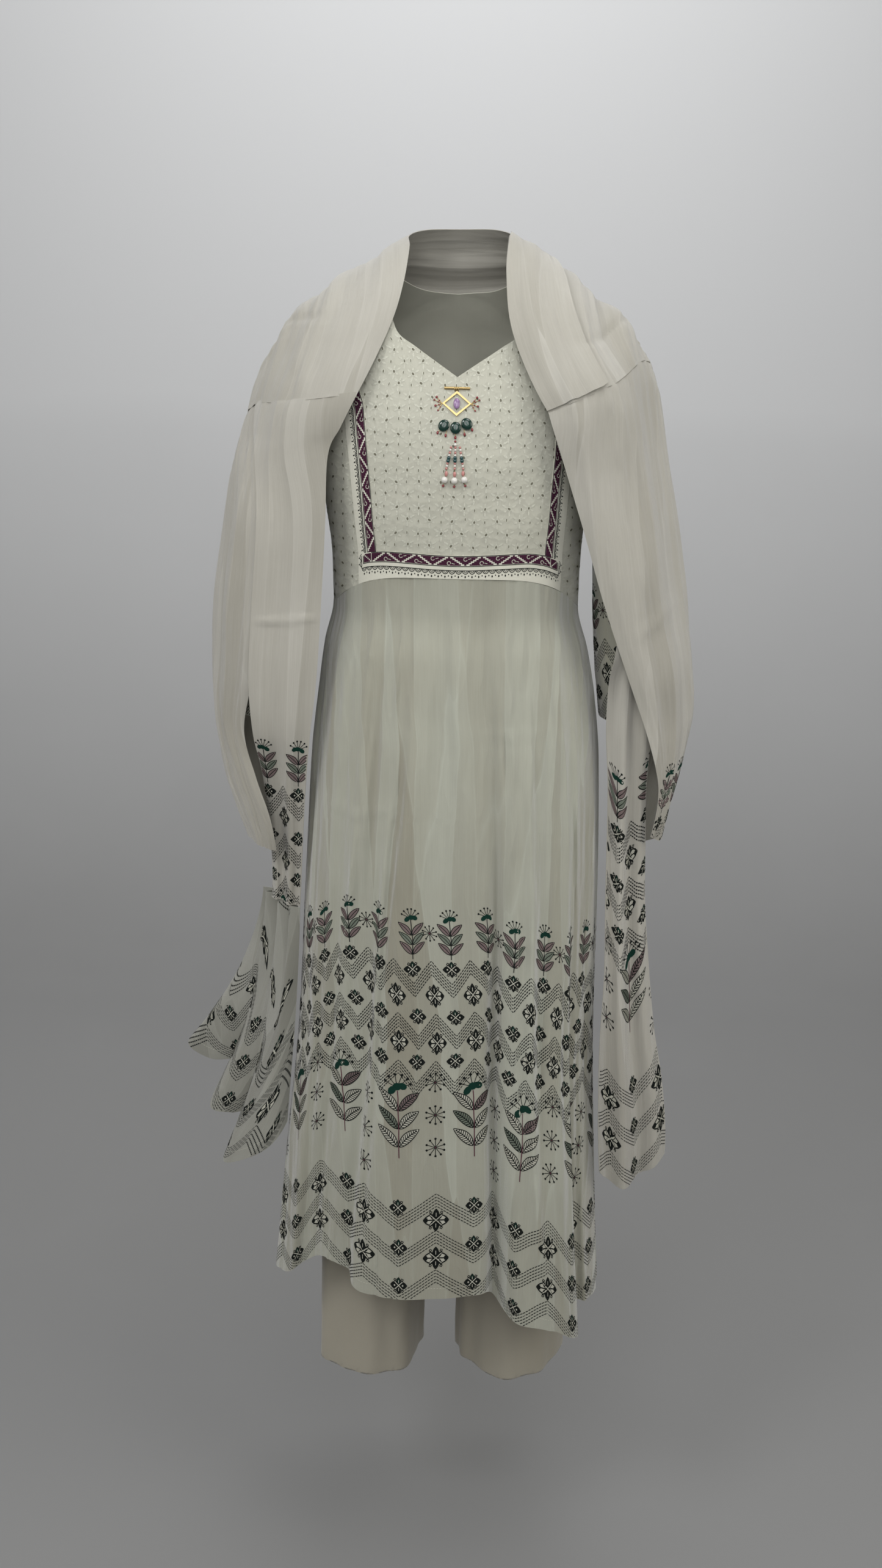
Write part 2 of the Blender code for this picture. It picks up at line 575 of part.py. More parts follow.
def make_borders(points, normals, grids):
    """Three printed strips that lie on the yoke: they are its own points, moved out."""
    lifted = points + normals * (CLOTH + SEAM_GAP)
    first, last = CENTRE_CELLS, CENTRE_CELLS + BORDER_CELLS
    for side, name in ((LEFT, "border_left"), (RIGHT, "border_right")):
        rows = [lifted[numbers[first : last + 1]] for numbers in grids[side][2:]]
        rows[0] = rows[0] + (rows[1] - rows[0]) * (SEAM_GAP / 0.03)
        flip = side == LEFT
        faces = grid_faces(len(rows), BORDER_CELLS + 1, flip=flip)
        add_wall(name, np.vstack(rows), faces, "plum_print", PLUM_PRINT)
    rows = []
    for left, right in zip(grids[LEFT][:3], grids[RIGHT][:3]):
        rows.append(lifted[left[last:0:-1] + right[: last + 1]])
    faces = grid_faces(3, len(rows[0]))
    add_wall("border_bottom", np.vstack(rows), faces, "plum_print", PLUM_PRINT)


def rounded(wave, power):
    """A sine or cosine bent so that the section is as square as its power says."""
    return np.sign(wave) * np.abs(wave) ** (2 / power)


def lobe_shape(angle):
    """How far the hanging folds stand out round the hem."""
    total = np.zeros_like(angle)
    for lobe in LOBES:
        away = np.abs((angle - lobe.angle + 180) % 360 - 180) / lobe.half_angle
        total += lobe.depth * 0.5 * (1 - np.tanh(LOBE_EDGE * (away - 1)))
    return total


def skirt_row(angles, share, columns):
    """One row of skirt points: the ring at each drop, moved out by folds, ripples and gathers."""
    hem = through(table(HEM, "angle")[:, 0], table(HEM, "drop"), (angles + 90) % 360 - 90)[:, 0]
    sine, cosine = np.sin(np.radians(angles)), np.cos(np.radians(angles))
    seam = TORSO[8]
    seam_x = seam.centre_x + seam.half_width * rounded(sine, seam.power)
    top = empire_drop(seam_x) + GATHERED_SEAM_GAP
    drops = top + share * (hem - top)
    centre, half_width, front, back, power = torso(drops)
    reach = np.where(cosine > 0, front, back)
    x = centre + half_width * rounded(sine, power)
    y = -reach * rounded(cosine, power)
    out = np.column_stack([(x - centre) / half_width**2, y / reach**2])
    out /= np.linalg.norm(out, axis=1)[:, None]
    out[:, 0] *= LOBE_SIDEWAYS
    fall = np.clip((drops - LOBE_TOP_DROP) / (hem - LOBE_TOP_DROP), 0, 1)
    gathers = GATHER_HEIGHT * np.exp(-(drops - top) / GATHER_FADE) * (-1) ** np.arange(columns + 1)
    settle = np.clip((drops - top) / 0.10, 0, 1)
    ripples = RIPPLE_HEIGHT * settle * np.sin(np.radians(angles) * RIPPLES_ROUND)
    offset = lobe_shape(angles) * fall**1.15 + gathers + ripples
    offset *= np.clip(np.abs(cosine) * 12, 0, 1)
    return np.column_stack([x + out[:, 0] * offset, y + out[:, 1] * offset, -drops])


def make_skirt():
    """Front and back skirt panels, gathered to the empire seam, parted at the side seams."""
    for facing, name, start in ((FRONT, "skirt_front", -90), (BACK, "skirt_back", 90)):
        columns = SKIRT_COLUMNS[facing]
        angles = np.linspace(start, start + 180, columns + 1)
        rows = [skirt_row(angles, share, columns) for share in reversed(SKIRT_ROW_SHARES)]
        points = np.vstack(rows)
        sides = np.arange(len(points)) % (columns + 1)
        at_seam = (sides == 0) | (sides == columns)
        points[at_seam, 1] = facing * SEAM_GAP / 2
        faces = grid_faces(len(rows), columns + 1)
        normals = flattened(sheet_normals(points, faces), at_seam, 1)
        at_top = np.arange(len(points)) >= len(points) - columns - 1
        normals = flattened(normals, at_top, 2)
        add_wall(name, points, faces, "printed_cloth", CREAM_PRINT, normals=normals)


def armhole_ring(side):
    """The armhole all round as a sleeve meets it: tip, front, underarm, back. Two points a step."""
    sides = []
    for facing in (FRONT, BACK):
        x, drop = armhole(facing).T
        y = torso_y(x, drop, facing)
        sides.append(np.column_stack([x, y, -drop]))
    loop = np.vstack([sides[0][::-1], sides[1][1:-1]])
    ring = []
    for here, after in zip(loop, np.roll(loop, -1, axis=0)):
        ring += [here, (here + after) / 2]
    ring = np.array(ring)
    low = (1 - np.cos(np.arange(len(ring)) / len(ring) * 2 * np.pi)) / 2
    ring[:, 0] += ARMHOLE_SEAM + UNDERARM_EASE * low
    ring[:, 0] *= side
    return ring


def make_sleeves():
    for side, name in ((LEFT, "sleeve_left"), (RIGHT, "sleeve_right")):
        first = armhole_ring(side)
        count = len(first)
        turn = np.arange(count) / count * 2 * np.pi
        rows = [first]
        for ring in SLEEVE:
            middle_x = (ring.outer_x + ring.inner_x) / 2
            middle_drop = (ring.outer_drop + ring.inner_drop) / 2
            swing = SLEEVE_SWING[side] * max(0, (middle_drop - UNDERARM_DROP)) / (
                CUFF_DROP - UNDERARM_DROP
            )
            x = middle_x + swing + np.cos(turn) * (ring.outer_x - ring.inner_x) / 2
            y = ring.centre_y - np.sin(turn) * ring.half_depth
            drop = middle_drop + np.cos(turn) * (ring.outer_drop - ring.inner_drop) / 2
            rows.append(np.column_stack([side * x, y, -drop]))
        points = np.vstack(rows[::-1])
        faces = grid_faces(len(rows), count, flip=side == RIGHT, closed=True)
        add_wall(name, points, faces, "printed_cloth", CREAM_PRINT)


def hip_arc(ring, side):
    """Outer arc of a leg at the hips, from the centre front round the side to the centre back."""
    turn = np.linspace(0, math.pi, OUTER_COLUMNS + 1)
    cosine = np.cos(turn)
    reach = np.where(cosine > 0, ring.front, ring.back)
    x = np.maximum(ring.half_width * np.sin(turn) ** 0.9, SEAM_GAP / 2)
    y = -reach * np.sign(cosine) * np.abs(cosine) ** 0.9
    return np.column_stack([side * x, y, np.full_like(x, -ring.drop)])


def crotch_curve(front_point, back_point, side):
    """The seam under the crotch, between the ends of the lowest hip arc."""
    turn = np.linspace(math.pi, 0, INNER_COLUMNS + 1)[1:-1]
    middle = (front_point[1] + back_point[1]) / 2
    half = (back_point[1] - front_point[1]) / 2
    y = middle - np.cos(turn) * half
    drop = CROTCH_FORK_DROP + (CROTCH_DROP - CROTCH_FORK_DROP) * np.sin(turn) ** 0.7
    x = np.full_like(y, side * SEAM_GAP / 2)
    return np.column_stack([x, y, -drop])


def leg_ring(ring, side):
    """A whole ring of the leg, in the same order as a hip arc and its crotch curve."""
    count = OUTER_COLUMNS + INNER_COLUMNS
    turn = np.radians(60 + np.arange(count) * 360 / count)
    centre = ring.left_x if side == LEFT else ring.right_x
    x = centre - ring.half_width * np.cos(turn)
    y = ring.centre_y - ring.half_depth * np.sin(turn)
    return np.column_stack([side * x, y, np.full_like(x, -ring.drop)])


def make_trousers():
    for side, name in ((LEFT, "trouser_leg_left"), (RIGHT, "trouser_leg_right")):
        arcs = [hip_arc(ring, side) for ring in HIPS]
        fork = np.vstack([arcs[-1], crotch_curve(arcs[-1][0], arcs[-1][-1], side)])
        rings = [leg_ring(ring, side) for ring in LEGS]
        rings.insert(0, fork * 0.4 + rings[0] * 0.6)
        hips = np.vstack(arcs[:-1])
        legs = np.vstack([fork] + rings)
        points = np.vstack([hips, legs])
        arc = OUTER_COLUMNS + 1
        count = OUTER_COLUMNS + INNER_COLUMNS
        faces = []
        for row in range(len(arcs) - 1):
            low = row * arc
            high = (row + 1) * arc
            for column in range(OUTER_COLUMNS):
                a, b = low + column, low + column + 1
                c, d = high + column + 1, high + column
                faces += [(a, b, c), (a, c, d)]
        legs_faces = grid_faces(len(rings) + 1, count, closed=True)
        faces += [tuple(corner + len(hips) for corner in face) for face in legs_faces]
        if side == RIGHT:
            faces = [face[::-1] for face in faces]
        normals = sheet_normals(points, faces)
        at_seam = np.abs(points[:, 0]) < SEAM_GAP
        normals = flattened(normals, at_seam, 0)
        add_wall(name, points, faces, "trouser_cloth", TROUSER_CREAM, normals=normals)


def make_waistband():
    """The casing: one ring that rests against the inside of the tunic's ripples."""
    turn = np.arange(WAIST_COLUMNS) / WAIST_COLUMNS * 2 * np.pi
    centre, half_width, front, back, power = torso(WAIST_DROP)
    reach = np.where(np.sin(turn) > 0, back, front) - WAIST_EASE
    x = centre + (half_width - WAIST_EASE) * rounded(np.cos(turn), power)
    y = reach * rounded(np.sin(turn), power)
    rows = []
    for drop in (WAIST_DROP + WAISTBAND_HEIGHT, WAIST_DROP):
        rows.append(np.column_stack([x, y, np.full_like(x, -drop)]))
    faces = grid_faces(2, WAIST_COLUMNS, closed=True)
    add_wall("waistband", np.vstack(rows), faces, "trouser_cloth", TROUSER_CREAM, CASING)


def section_curve(section, side, shares):
    """Points along a scarf section: from its edge, over the side, to its hem behind."""
    edge = np.array([side * section.edge_x, section.edge_y, -section.edge_drop])
    out = np.array([side * section.side_x, section.side_y, -section.side_drop])
    hem = np.array([side * section.hem_x, section.hem_y, -section.hem_drop])
    front = edge + (out - edge) * FRONT_LIFT_AT + np.array([0, section.lift_y, section.lift_z])
    bulge = SIDE_BULGE if section.side_x else NECK_BULGE
    away = np.array([side * bulge.out, bulge.back, 0.0])
    behind = (out + hem) / 2 + away
    stations = np.array([0, 0.28, 0.56, 0.78, 1])
    return round_curve(stations, np.array([edge, front, out, behind, hem]), shares)


def round_curve(stations, points, at):
    """A round curve through points, as smooth as a bent strip (Catmull-Rom with even speed)."""
    tangents = np.zeros_like(points)
    tangents[1:-1] = (points[2:] - points[:-2]) / (stations[2:] - stations[:-2])[:, None]
    tangents[0] = 2 * (points[1] - points[0]) / (stations[1] - stations[0]) - tangents[1]
    tangents[-1] = 2 * (points[-1] - points[-2]) / (stations[-1] - stations[-2]) - tangents[-2]
    at = np.asarray(at, float)
    first = np.clip(np.searchsorted(stations, at, side="right") - 1, 0, len(stations) - 2)
    length = (stations[first + 1] - stations[first])[:, None]
    t = ((at - stations[first]) / length[:, 0])[:, None]
    ease = t * t * (3 - 2 * t)
    straight = points[first] * (1 - ease) + points[first + 1] * ease
    turn = (tangents[first] * (1 - t) - tangents[first + 1] * t) * length * t * (1 - t)
    return straight + turn


def scarf_grid(sections, sides, columns, between):
    """Rows of points for a stretch of scarf, with rows between its sections, and each fold height."""
    shares = np.linspace(0, 1, columns + 1)
    curves = np.array([section_curve(*pair, shares) for pair in zip(sections, sides)])
    stations = np.arange(len(sections), dtype=float)
    at = np.linspace(0, len(sections) - 1, (len(sections) - 1) * between + 1)
    rows = np.stack([round_curve(stations, curves[:, i], at) for i in range(columns + 1)], axis=1)
    folds = through(stations, [section.fold for section in sections], at)[:, 0]
    return rows, folds


def folded(points, faces, rows, columns, heights, folds, phase=0.0):
    """The sheet with long folds raised in it, as waves across its width that die out at its edges."""
    normals = sheet_normals(points, faces)
    share = np.linspace(0, 1, columns)
    wave = np.sin(2 * np.pi * folds * share + phase) * np.sin(np.pi * share) ** 0.5
    return points + normals * (np.asarray(heights)[:, None] * wave[None, :]).reshape(-1, 1)


def make_scarf_neck():
    """The stretch behind the neck and over both shoulders, from crease to crease."""
    left = NECK_LEFT[::-1]
    sections = left + (NECK_MIDDLE,) + NECK_RIGHT
    sides = [LEFT] * len(left) + [RIGHT] * (1 + len(NECK_RIGHT))
    rows, heights = scarf_grid(sections, sides, NECK_COLUMNS, 2)
    count, columns = rows.shape[:2]
    points = rows.reshape(-1, 3)
    faces = grid_faces(count, columns, flip=True)
    points = folded(points, faces, count, columns, heights, SCARF_FOLDS)
    add_wall("dupatta_neck", points, faces, "scarf_cloth", SCARF_CREAM)
    return points.reshape(count, columns, 3)


def past_seam(crease, onward):
    """A crease moved a seam gap on, square to its own line, towards where the cloth goes."""
    along = np.gradient(crease, axis=0)
    along /= np.linalg.norm(along, axis=1)[:, None]
    onward = onward - np.sum(onward * along, axis=1)[:, None] * along
    return crease + SCARF_SEAM_GAP * onward / np.linalg.norm(onward, axis=1)[:, None]


def hung_from(rows, top, fade_length):
    """Rows of a hanging piece, pulled over at the top so that the first one is the given row."""
    fallen = np.abs(rows[:, :, 2] - rows[0, :, 2])
    fade = np.clip(1 - fallen / fade_length, 0, 1)
    fade = fade * fade * (3 - 2 * fade)
    return rows + fade[:, :, None] * (top - rows[0])


def from_crease(rows, crease, fade_length):
    """Rows that start a seam gap past a crease."""
    rows = hung_from(rows, crease, fade_length)
    rows[0] = past_seam(rows[0], rows[1] - rows[0])
    return rows


def under_row(points, normals, shares):
    """Points behind a row of another piece, close under its wall."""
    stations = np.linspace(0, 1, len(points))
    behind = points - normals * (CLOTH + SEAM_GAP + TUCK_CLEARANCE)
    return np.column_stack([np.interp(shares, stations, behind[:, axis]) for axis in range(3)])


def make_scarf_arms():
    """The outer layer over each arm, open on its inner side, down to the wrist."""
    grids = {}
    plans = (
        (LEFT, "dupatta_arm_left", ARM_LEFT, NECK_LEFT[-1], ARM_CREASE_SHARE, ARM_TUCK),
        (RIGHT, "dupatta_arm_right", ARM_RIGHT, NECK_RIGHT[-1], 0.0, 0.0),
    )
    for side, name, sections, crease_section, start, tuck in plans:
        rows, heights = scarf_grid(sections, [side] * len(sections), ARM_COLUMNS, 1)
        shares = np.linspace(start, 1, ARM_COLUMNS + 1)
        crease = section_curve(crease_section, side, shares)
        covered = np.clip((PANEL_CREASE_SHARE + TUCK_FADE - shares) / TUCK_FADE, 0, 1)
        crease[:, 1] += tuck * covered
        crease[:, 2] -= tuck * covered
        rows = from_crease(rows, crease, CREASE_FADE)
        count, columns = rows.shape[:2]
        points = rows.reshape(-1, 3)
        faces = grid_faces(count, columns, flip=side == RIGHT)
        points = folded(points, faces, count, columns, heights, SCARF_FOLDS - 1)
        add_wall(name, points, faces, "scarf_cloth", SCARF_CREAM)
        normals = sheet_normals(points, faces)
        grids[side] = points.reshape(rows.shape), normals.reshape(rows.shape)
    return grids


def panel_grid(table_rows, side, columns, folds, end_dip=0.0):
    """A hanging panel: straight rows bowed forward, with folds that run down it."""
    share = np.linspace(0, 1, columns + 1)
    rows = []
    for number, row in enumerate(table_rows):
        x = row.inner_x + (row.outer_x - row.inner_x) * share
        y = row.inner_y + (row.outer_y - row.inner_y) * share
        y -= row.bow * np.sin(np.pi * share)
        y += row.fold * np.sin(2 * np.pi * folds * share) * np.sin(np.pi * share) ** 0.4
        dip = end_dip * (number / (len(table_rows) - 1)) ** 4
        drop = row.drop + dip * np.sin(np.pi * share**0.8)
        rows.append(np.column_stack([side * x, y, -drop]))
    return np.array(rows)


def make_scarf_panels(arms):
    """The folded panel before the left arm, and the one that falls inside the right arm."""
    left = panel_grid(PANEL_LEFT, LEFT, PANEL_LEFT_COLUMNS, PANEL_LEFT_FOLDS)
    shares = np.linspace(0, PANEL_CREASE_SHARE, PANEL_LEFT_COLUMNS + 1)
    left = from_crease(left, section_curve(NECK_LEFT[-1], LEFT, shares), CREASE_FADE)
    right = panel_grid(
        PANEL_RIGHT, RIGHT, PANEL_RIGHT_COLUMNS, PANEL_RIGHT_FOLDS, PANEL_RIGHT_END_DIP
    )
    points, normals = arms[RIGHT]
    shares = np.linspace(*PANEL_RIGHT_SHARES, PANEL_RIGHT_COLUMNS + 1)
    section = PANEL_RIGHT_SECTION
    right = hung_from(right, under_row(points[section], normals[section], shares), PANEL_RIGHT_FADE)
    for name, grid, side in (
        ("dupatta_panel_left", left, LEFT),
        ("dupatta_panel_right", right, RIGHT),
    ):
        points = grid[::-1].reshape(-1, 3)
        faces = grid_faces(len(grid), grid.shape[1], flip=side == LEFT)
        add_wall(name, points, faces, "scarf_print", CREAM_PRINT)


def make_scarf_band(neck_rows):
    """The rolled band that lies on the shoulder stretch at the right of the neck."""
    covered = neck_rows[-BAND_SECTIONS:]
    stations = np.linspace(0, 1, NECK_COLUMNS + 1)
    shares = np.linspace(0, 1, BAND_COLUMNS + 1)
    reaches = np.linspace(BAND_REACH_TOP, BAND_REACH_FOOT, BAND_SECTIONS)
    places = np.outer(reaches, shares)
    under = np.array([round_curve(stations, row, at) for row, at in zip(covered, places)])
    points = under.reshape(-1, 3)
    faces = grid_faces(len(under), BAND_COLUMNS + 1, flip=True)
    normals = sheet_normals(points, faces)
    lift = BAND_LIFT + BAND_ROLL * shares**2
    points = points + normals * np.tile(lift, len(under))[:, None]
    add_wall("dupatta_band_right", points, faces, "scarf_cloth", SCARF_CREAM)


def make_scarf_end():
    """The printed end below the left hand: its hem turns back on itself three times as it rises."""
    turns = table(CASCADE_HEM, "x", "y", "drop")
    stations = np.linspace(0, 1, len(turns))
    at = np.linspace(0, 1, CASCADE_COLUMNS + 1)
    hem = round_curve(stations, turns, at)
    top = table(CASCADE_TOP, "x", "y", "drop")
    start = top[0] + (top[1] - top[0]) * at[:, None]
    start[:, 0] += CASCADE_TOP_WAVE * np.sin(at * 6 * np.pi)
    rows = []
    for fall in np.linspace(0, 1, CASCADE_ROWS + 1):
        row = start + (hem - start) * np.array([fall**CASCADE_FLARE, fall**1.2, fall])
        rows.append(np.column_stack([-row[:, 0], row[:, 1], -row[:, 2]]))
    points = np.vstack(rows[::-1])
    faces = grid_faces(len(rows), CASCADE_COLUMNS + 1, flip=True)
    add_wall("dupatta_end_left", points, faces, "scarf_print", CREAM_PRINT)


def on_yoke(yoke, x, drop, out):
    """A point that stands off the yoke's outer face, and the face's direction there."""
    place, normal, _, _ = yoke.ray_cast(Vector((x, -1, -drop)), Vector((0, 1, 0)))
    return place + normal * (SEAM_GAP + out), normal


def add_bead(name, place, normal, radii, finish, material_name, turn=0.0):
    """An oval stone or pearl that lies flat on the cloth, turned in its plane."""
    mesh = bpy.data.meshes.new(name)
    shape = bmesh.new()
    bmesh.ops.create_uvsphere(shape, u_segments=8, v_segments=5, radius=1.0)
    bmesh.ops.scale(shape, vec=radii, verts=shape.verts)
    shape.to_mesh(mesh)
    shape.free()
    mesh.shade_smooth()
    bead = add_object(name, mesh, material_name, finish)
    lie = Vector((0, -1, 0)).rotation_difference(normal).to_matrix().to_4x4()
    spin = Matrix.Rotation(math.radians(turn), 4, "Y")
    bead.matrix_local = Matrix.Translation(place) @ lie @ spin
    return bead


def add_rod(name, start, end, radius, finish, material_name):
    """A straight round rod between two points."""
    mesh = bpy.data.meshes.new(name)
    shape = bmesh.new()
    length = (end - start).length
    bmesh.ops.create_cone(
        shape, cap_ends=True, segments=8, radius1=radius, radius2=radius, depth=length
    )
    shape.to_mesh(mesh)
    shape.free()
    mesh.shade_smooth()
    mesh.set_sharp_from_angle(angle=math.radians(50))
    rod = add_object(name, mesh, material_name, finish)
    turn = (end - start).to_track_quat("Z", "Y").to_matrix().to_4x4()
    rod.matrix_local = Matrix.Translation((start + end) / 2) @ turn
    return rod


def make_ornament(yoke):
    """Gold bar, open diamond with a stone in it, three leaf stones and a pearl tassel."""
    ends = [on_yoke(yoke, side * BAR_LENGTH / 2, BAR_DROP, BAR_RADIUS)[0] for side in (LEFT, RIGHT)]
    add_rod("ornament_bar", ends[0], ends[1], BAR_RADIUS, GOLD, "gold")
    make_ornament_frame(yoke)
    place, normal = on_yoke(yoke, 0, FRAME_DROP, STONE_RADII[1])
    add_bead("ornament_stone", place, normal, STONE_RADII, VIOLET, "violet_stone")
    for number, leaf in enumerate(LEAVES, start=1):
        place, normal = on_yoke(yoke, leaf.x, leaf.drop, LEAF_RADII[1])
        name = f"ornament_leaf_{number}"
        add_bead(name, place, normal, LEAF_RADII, DARK_GREEN, "green_stone", leaf.turn)
    strand_out = STRAND_RADIUS + THREAD_SLACK
    for number, pearl in enumerate(PEARLS, start=1):
        place, normal = on_yoke(yoke, pearl.x, pearl.drop, PEARL_RADIUS)
        radii = (PEARL_RADIUS,) * 3
        add_bead(f"ornament_pearl_{number}", place, normal, radii, WHITE_PEARL, "pearl")
        top = on_yoke(yoke, pearl.x * STRAND_GATHER, STRAND_TOP_DROP, strand_out)[0]
        foot = on_yoke(yoke, pearl.x, STRAND_FOOT_DROP, strand_out)[0]
        add_rod(f"ornament_strand_{number}", top, foot, STRAND_RADIUS, WHITE_PEARL, "pearl")


def make_ornament_frame(yoke):
    """The open diamond: a ring of four mitred square bars that follows the yoke."""
    corners = []
    for scale_out, depth in ((1, 2), (1, 0), (-1, 0), (-1, 2)):
        for x, z in ((1, 0), (0, 1), (-1, 0), (0, -1)):
            half_width = FRAME_HALF_WIDTH + scale_out * FRAME_BAR
            half_height = FRAME_HALF_HEIGHT + scale_out * FRAME_BAR
            drop = FRAME_DROP - z * half_height
            corners.append(on_yoke(yoke, x * half_width, drop, depth * FRAME_BAR)[0])
    faces = []
    for band in range(4):
        for corner in range(4):
            a = band * 4 + corner
            b = band * 4 + (corner + 1) % 4
            after = (band + 1) % 4 * 4
            faces.append((a, after + corner, after + (corner + 1) % 4, b))
    mesh = bpy.data.meshes.new("ornament_frame")
    mesh.from_pydata([tuple(corner) for corner in corners], [], faces)
    return add_object("ornament_frame", mesh, "gold", GOLD)


for old in list(bpy.data.objects):
    bpy.data.objects.remove(old)
SHOULDERS = bpy.data.objects.new("shoulders", None)
bpy.context.scene.collection.objects.link(SHOULDERS)

yoke_face = make_bodice()
make_skirt()
make_sleeves()
make_trousers()
make_waistband()
make_scarf_band(make_scarf_neck())
make_scarf_panels(make_scarf_arms())
make_scarf_end()
make_ornament(yoke_face)
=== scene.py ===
"""The looks of the kurti set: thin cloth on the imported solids, its print, stitching and beads.

Metres, +Z up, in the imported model's frame. The front faces -Y. Heights in the tables are drops
below the shoulder level, as in the solids. Every cloth piece is a fine thin sheet that stands for
its solid, with the finer folds laid on it.
"""

import math
from collections import namedtuple

import bmesh
import bpy
import numpy as np
from mathutils import Matrix, Vector


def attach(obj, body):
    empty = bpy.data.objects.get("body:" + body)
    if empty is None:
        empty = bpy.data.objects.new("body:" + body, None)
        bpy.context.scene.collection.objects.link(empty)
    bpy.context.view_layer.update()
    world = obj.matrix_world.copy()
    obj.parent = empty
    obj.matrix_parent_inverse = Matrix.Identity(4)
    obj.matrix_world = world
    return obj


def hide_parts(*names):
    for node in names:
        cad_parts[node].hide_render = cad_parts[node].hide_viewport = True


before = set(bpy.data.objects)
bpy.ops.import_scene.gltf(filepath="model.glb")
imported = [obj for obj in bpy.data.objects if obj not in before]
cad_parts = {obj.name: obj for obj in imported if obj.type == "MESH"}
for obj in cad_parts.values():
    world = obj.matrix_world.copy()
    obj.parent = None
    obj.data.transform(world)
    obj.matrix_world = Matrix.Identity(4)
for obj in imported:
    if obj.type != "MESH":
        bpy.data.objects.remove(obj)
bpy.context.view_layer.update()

# Cloth and seams
CLOTH = 0.0012
SEAM_GAP = 0.0003
LEFT, RIGHT = -1, 1
FRONT, BACK = -1, 1

# Yoke and shoulders
SHOULDER_TIP_X = 0.160
SHOULDER_TIP_DROP = 0.060
UNDERARM_DROP = 0.190
ARMHOLE_DIP = {FRONT: 0.026, BACK: 0.016}
EMPIRE_DROP = 0.311
EMPIRE_SIDE_FALL = 0.041
EMPIRE_POWER = 4.4

# Printed border of the yoke
BORDER_SHIFT = 0.008
BORDER_FOOT_X = 0.088
BORDER_HEAD_X = 0.114
BORDER_WIDTH = 0.019
BORDER_FOOT_HEIGHT = 0.0245
BORDER_FOOT_RISE = 0.0065

# Half of each neckline, from its lowest point up to the shoulder seam
Neck = namedtuple("Neck", "x drop")
NECKLINE = {
    FRONT: (
        Neck(0.0000, 0.1080),
        Neck(0.0215, 0.0935),
        Neck(0.0430, 0.0790),
        Neck(0.0625, 0.0645),
        Neck(0.0715, 0.0340),
        Neck(0.0740, 0.0000),
    ),
    BACK: (Neck(0.000, 0.024), Neck(0.038, 0.020), Neck(0.062, 0.010), Neck(0.074, 0.000)),
}
BODICE_ROWS = 11
BORDER_ROWS = 2
SIDE_SEAM_ROWS = 4
CENTRE_CELLS = 5
BORDER_CELLS = 2
SIDE_CELLS = 4

# Tunic rings. power is the squareness of the section, 2 for an ellipse
Ring = namedtuple("Ring", "drop centre_x half_width front back power")
TORSO = (
    Ring(0.000, 0.000, 0.074, 0.020, 0.030, 2.2),
    Ring(0.031, 0.000, 0.122, 0.052, 0.058, 2.2),
    Ring(0.062, 0.000, 0.170, 0.074, 0.078, 2.2),
    Ring(0.110, 0.000, 0.165, 0.095, 0.092, 2.2),
    Ring(0.150, 0.000, 0.157, 0.108, 0.096, 2.2),
    Ring(0.190, 0.000, 0.149, 0.114, 0.095, 2.2),
    Ring(0.240, 0.002, 0.143, 0.113, 0.091, 2.2),
    Ring(0.300, 0.004, 0.137, 0.107, 0.087, 2.2),
    Ring(0.352, 0.005, 0.136, 0.105, 0.086, 2.2),
    Ring(0.400, 0.006, 0.147, 0.118, 0.096, 2.2),
    Ring(0.450, 0.008, 0.154, 0.128, 0.105, 2.3),
    Ring(0.520, 0.009, 0.161, 0.139, 0.114, 2.3),
    Ring(0.600, 0.009, 0.165, 0.147, 0.122, 2.4),
    Ring(0.700, 0.008, 0.169, 0.150, 0.130, 2.5),
    Ring(0.850, 0.006, 0.173, 0.152, 0.138, 2.6),
    Ring(1.000, 0.004, 0.182, 0.156, 0.146, 2.8),
    Ring(1.200, 0.003, 0.196, 0.160, 0.152, 3.0),
)

# Skirt: big hanging folds, each a lobe that stands out more towards the hem
GATHER_HEIGHT = 0.0017
GATHER_FADE = 0.045
LOBE_TOP_DROP = 0.46
LOBE_EDGE = 8.0
LOBE_SIDEWAYS = 0.5
LOBE_FALL_POWER = 1.15
SIDE_SEAM_CALM = 12
Lobe = namedtuple("Lobe", "angle half_angle depth")
LOBES = (
    Lobe(-66, 13, 0.016),
    Lobe(-6, 16, 0.036),
    Lobe(30, 16, 0.050),
    Lobe(64, 9, 0.014),
    Lobe(88, 8, 0.010),
    Lobe(112, 12, 0.020),
    Lobe(146, 13, 0.026),
    Lobe(182, 14, 0.022),
    Lobe(216, 12, 0.028),
    Lobe(250, 13, 0.020),
)
Hem = namedtuple("Hem", "angle drop")
HEM = (
    Hem(-90, 1.170),
    Hem(-62, 1.146),
    Hem(-36, 1.104),
    Hem(-22, 1.112),
    Hem(-5, 1.120),
    Hem(8, 1.112),
    Hem(14, 1.140),
    Hem(30, 1.160),
    Hem(44, 1.183),
    Hem(50, 1.168),
    Hem(66, 1.172),
    Hem(90, 1.185),
    Hem(135, 1.170),
    Hem(180, 1.160),
    Hem(225, 1.165),
    Hem(270, 1.170),
)

# Sleeves: outer and inner side of each ring, and its depth from front to back
SleeveRing = namedtuple("SleeveRing", "outer_x outer_drop inner_x inner_drop centre_y half_depth")
SLEEVE = (
    SleeveRing(0.176, 0.084, 0.1525, 0.197, 0.004, 0.056),
    SleeveRing(0.194, 0.124, 0.1525, 0.214, 0.003, 0.052),
    SleeveRing(0.215, 0.190, 0.1515, 0.246, 0.002, 0.049),
    SleeveRing(0.233, 0.270, 0.1510, 0.296, 0.000, 0.047),
    SleeveRing(0.242, 0.350, 0.1520, 0.358, -0.004, 0.046),
    SleeveRing(0.245, 0.420, 0.1560, 0.422, -0.008, 0.045),
    SleeveRing(0.246, 0.476, 0.1600, 0.476, -0.012, 0.045),
)
ARMHOLE_STEPS = 5
ARMHOLE_SEAM = 0.0010
UNDERARM_EASE = 0.0022
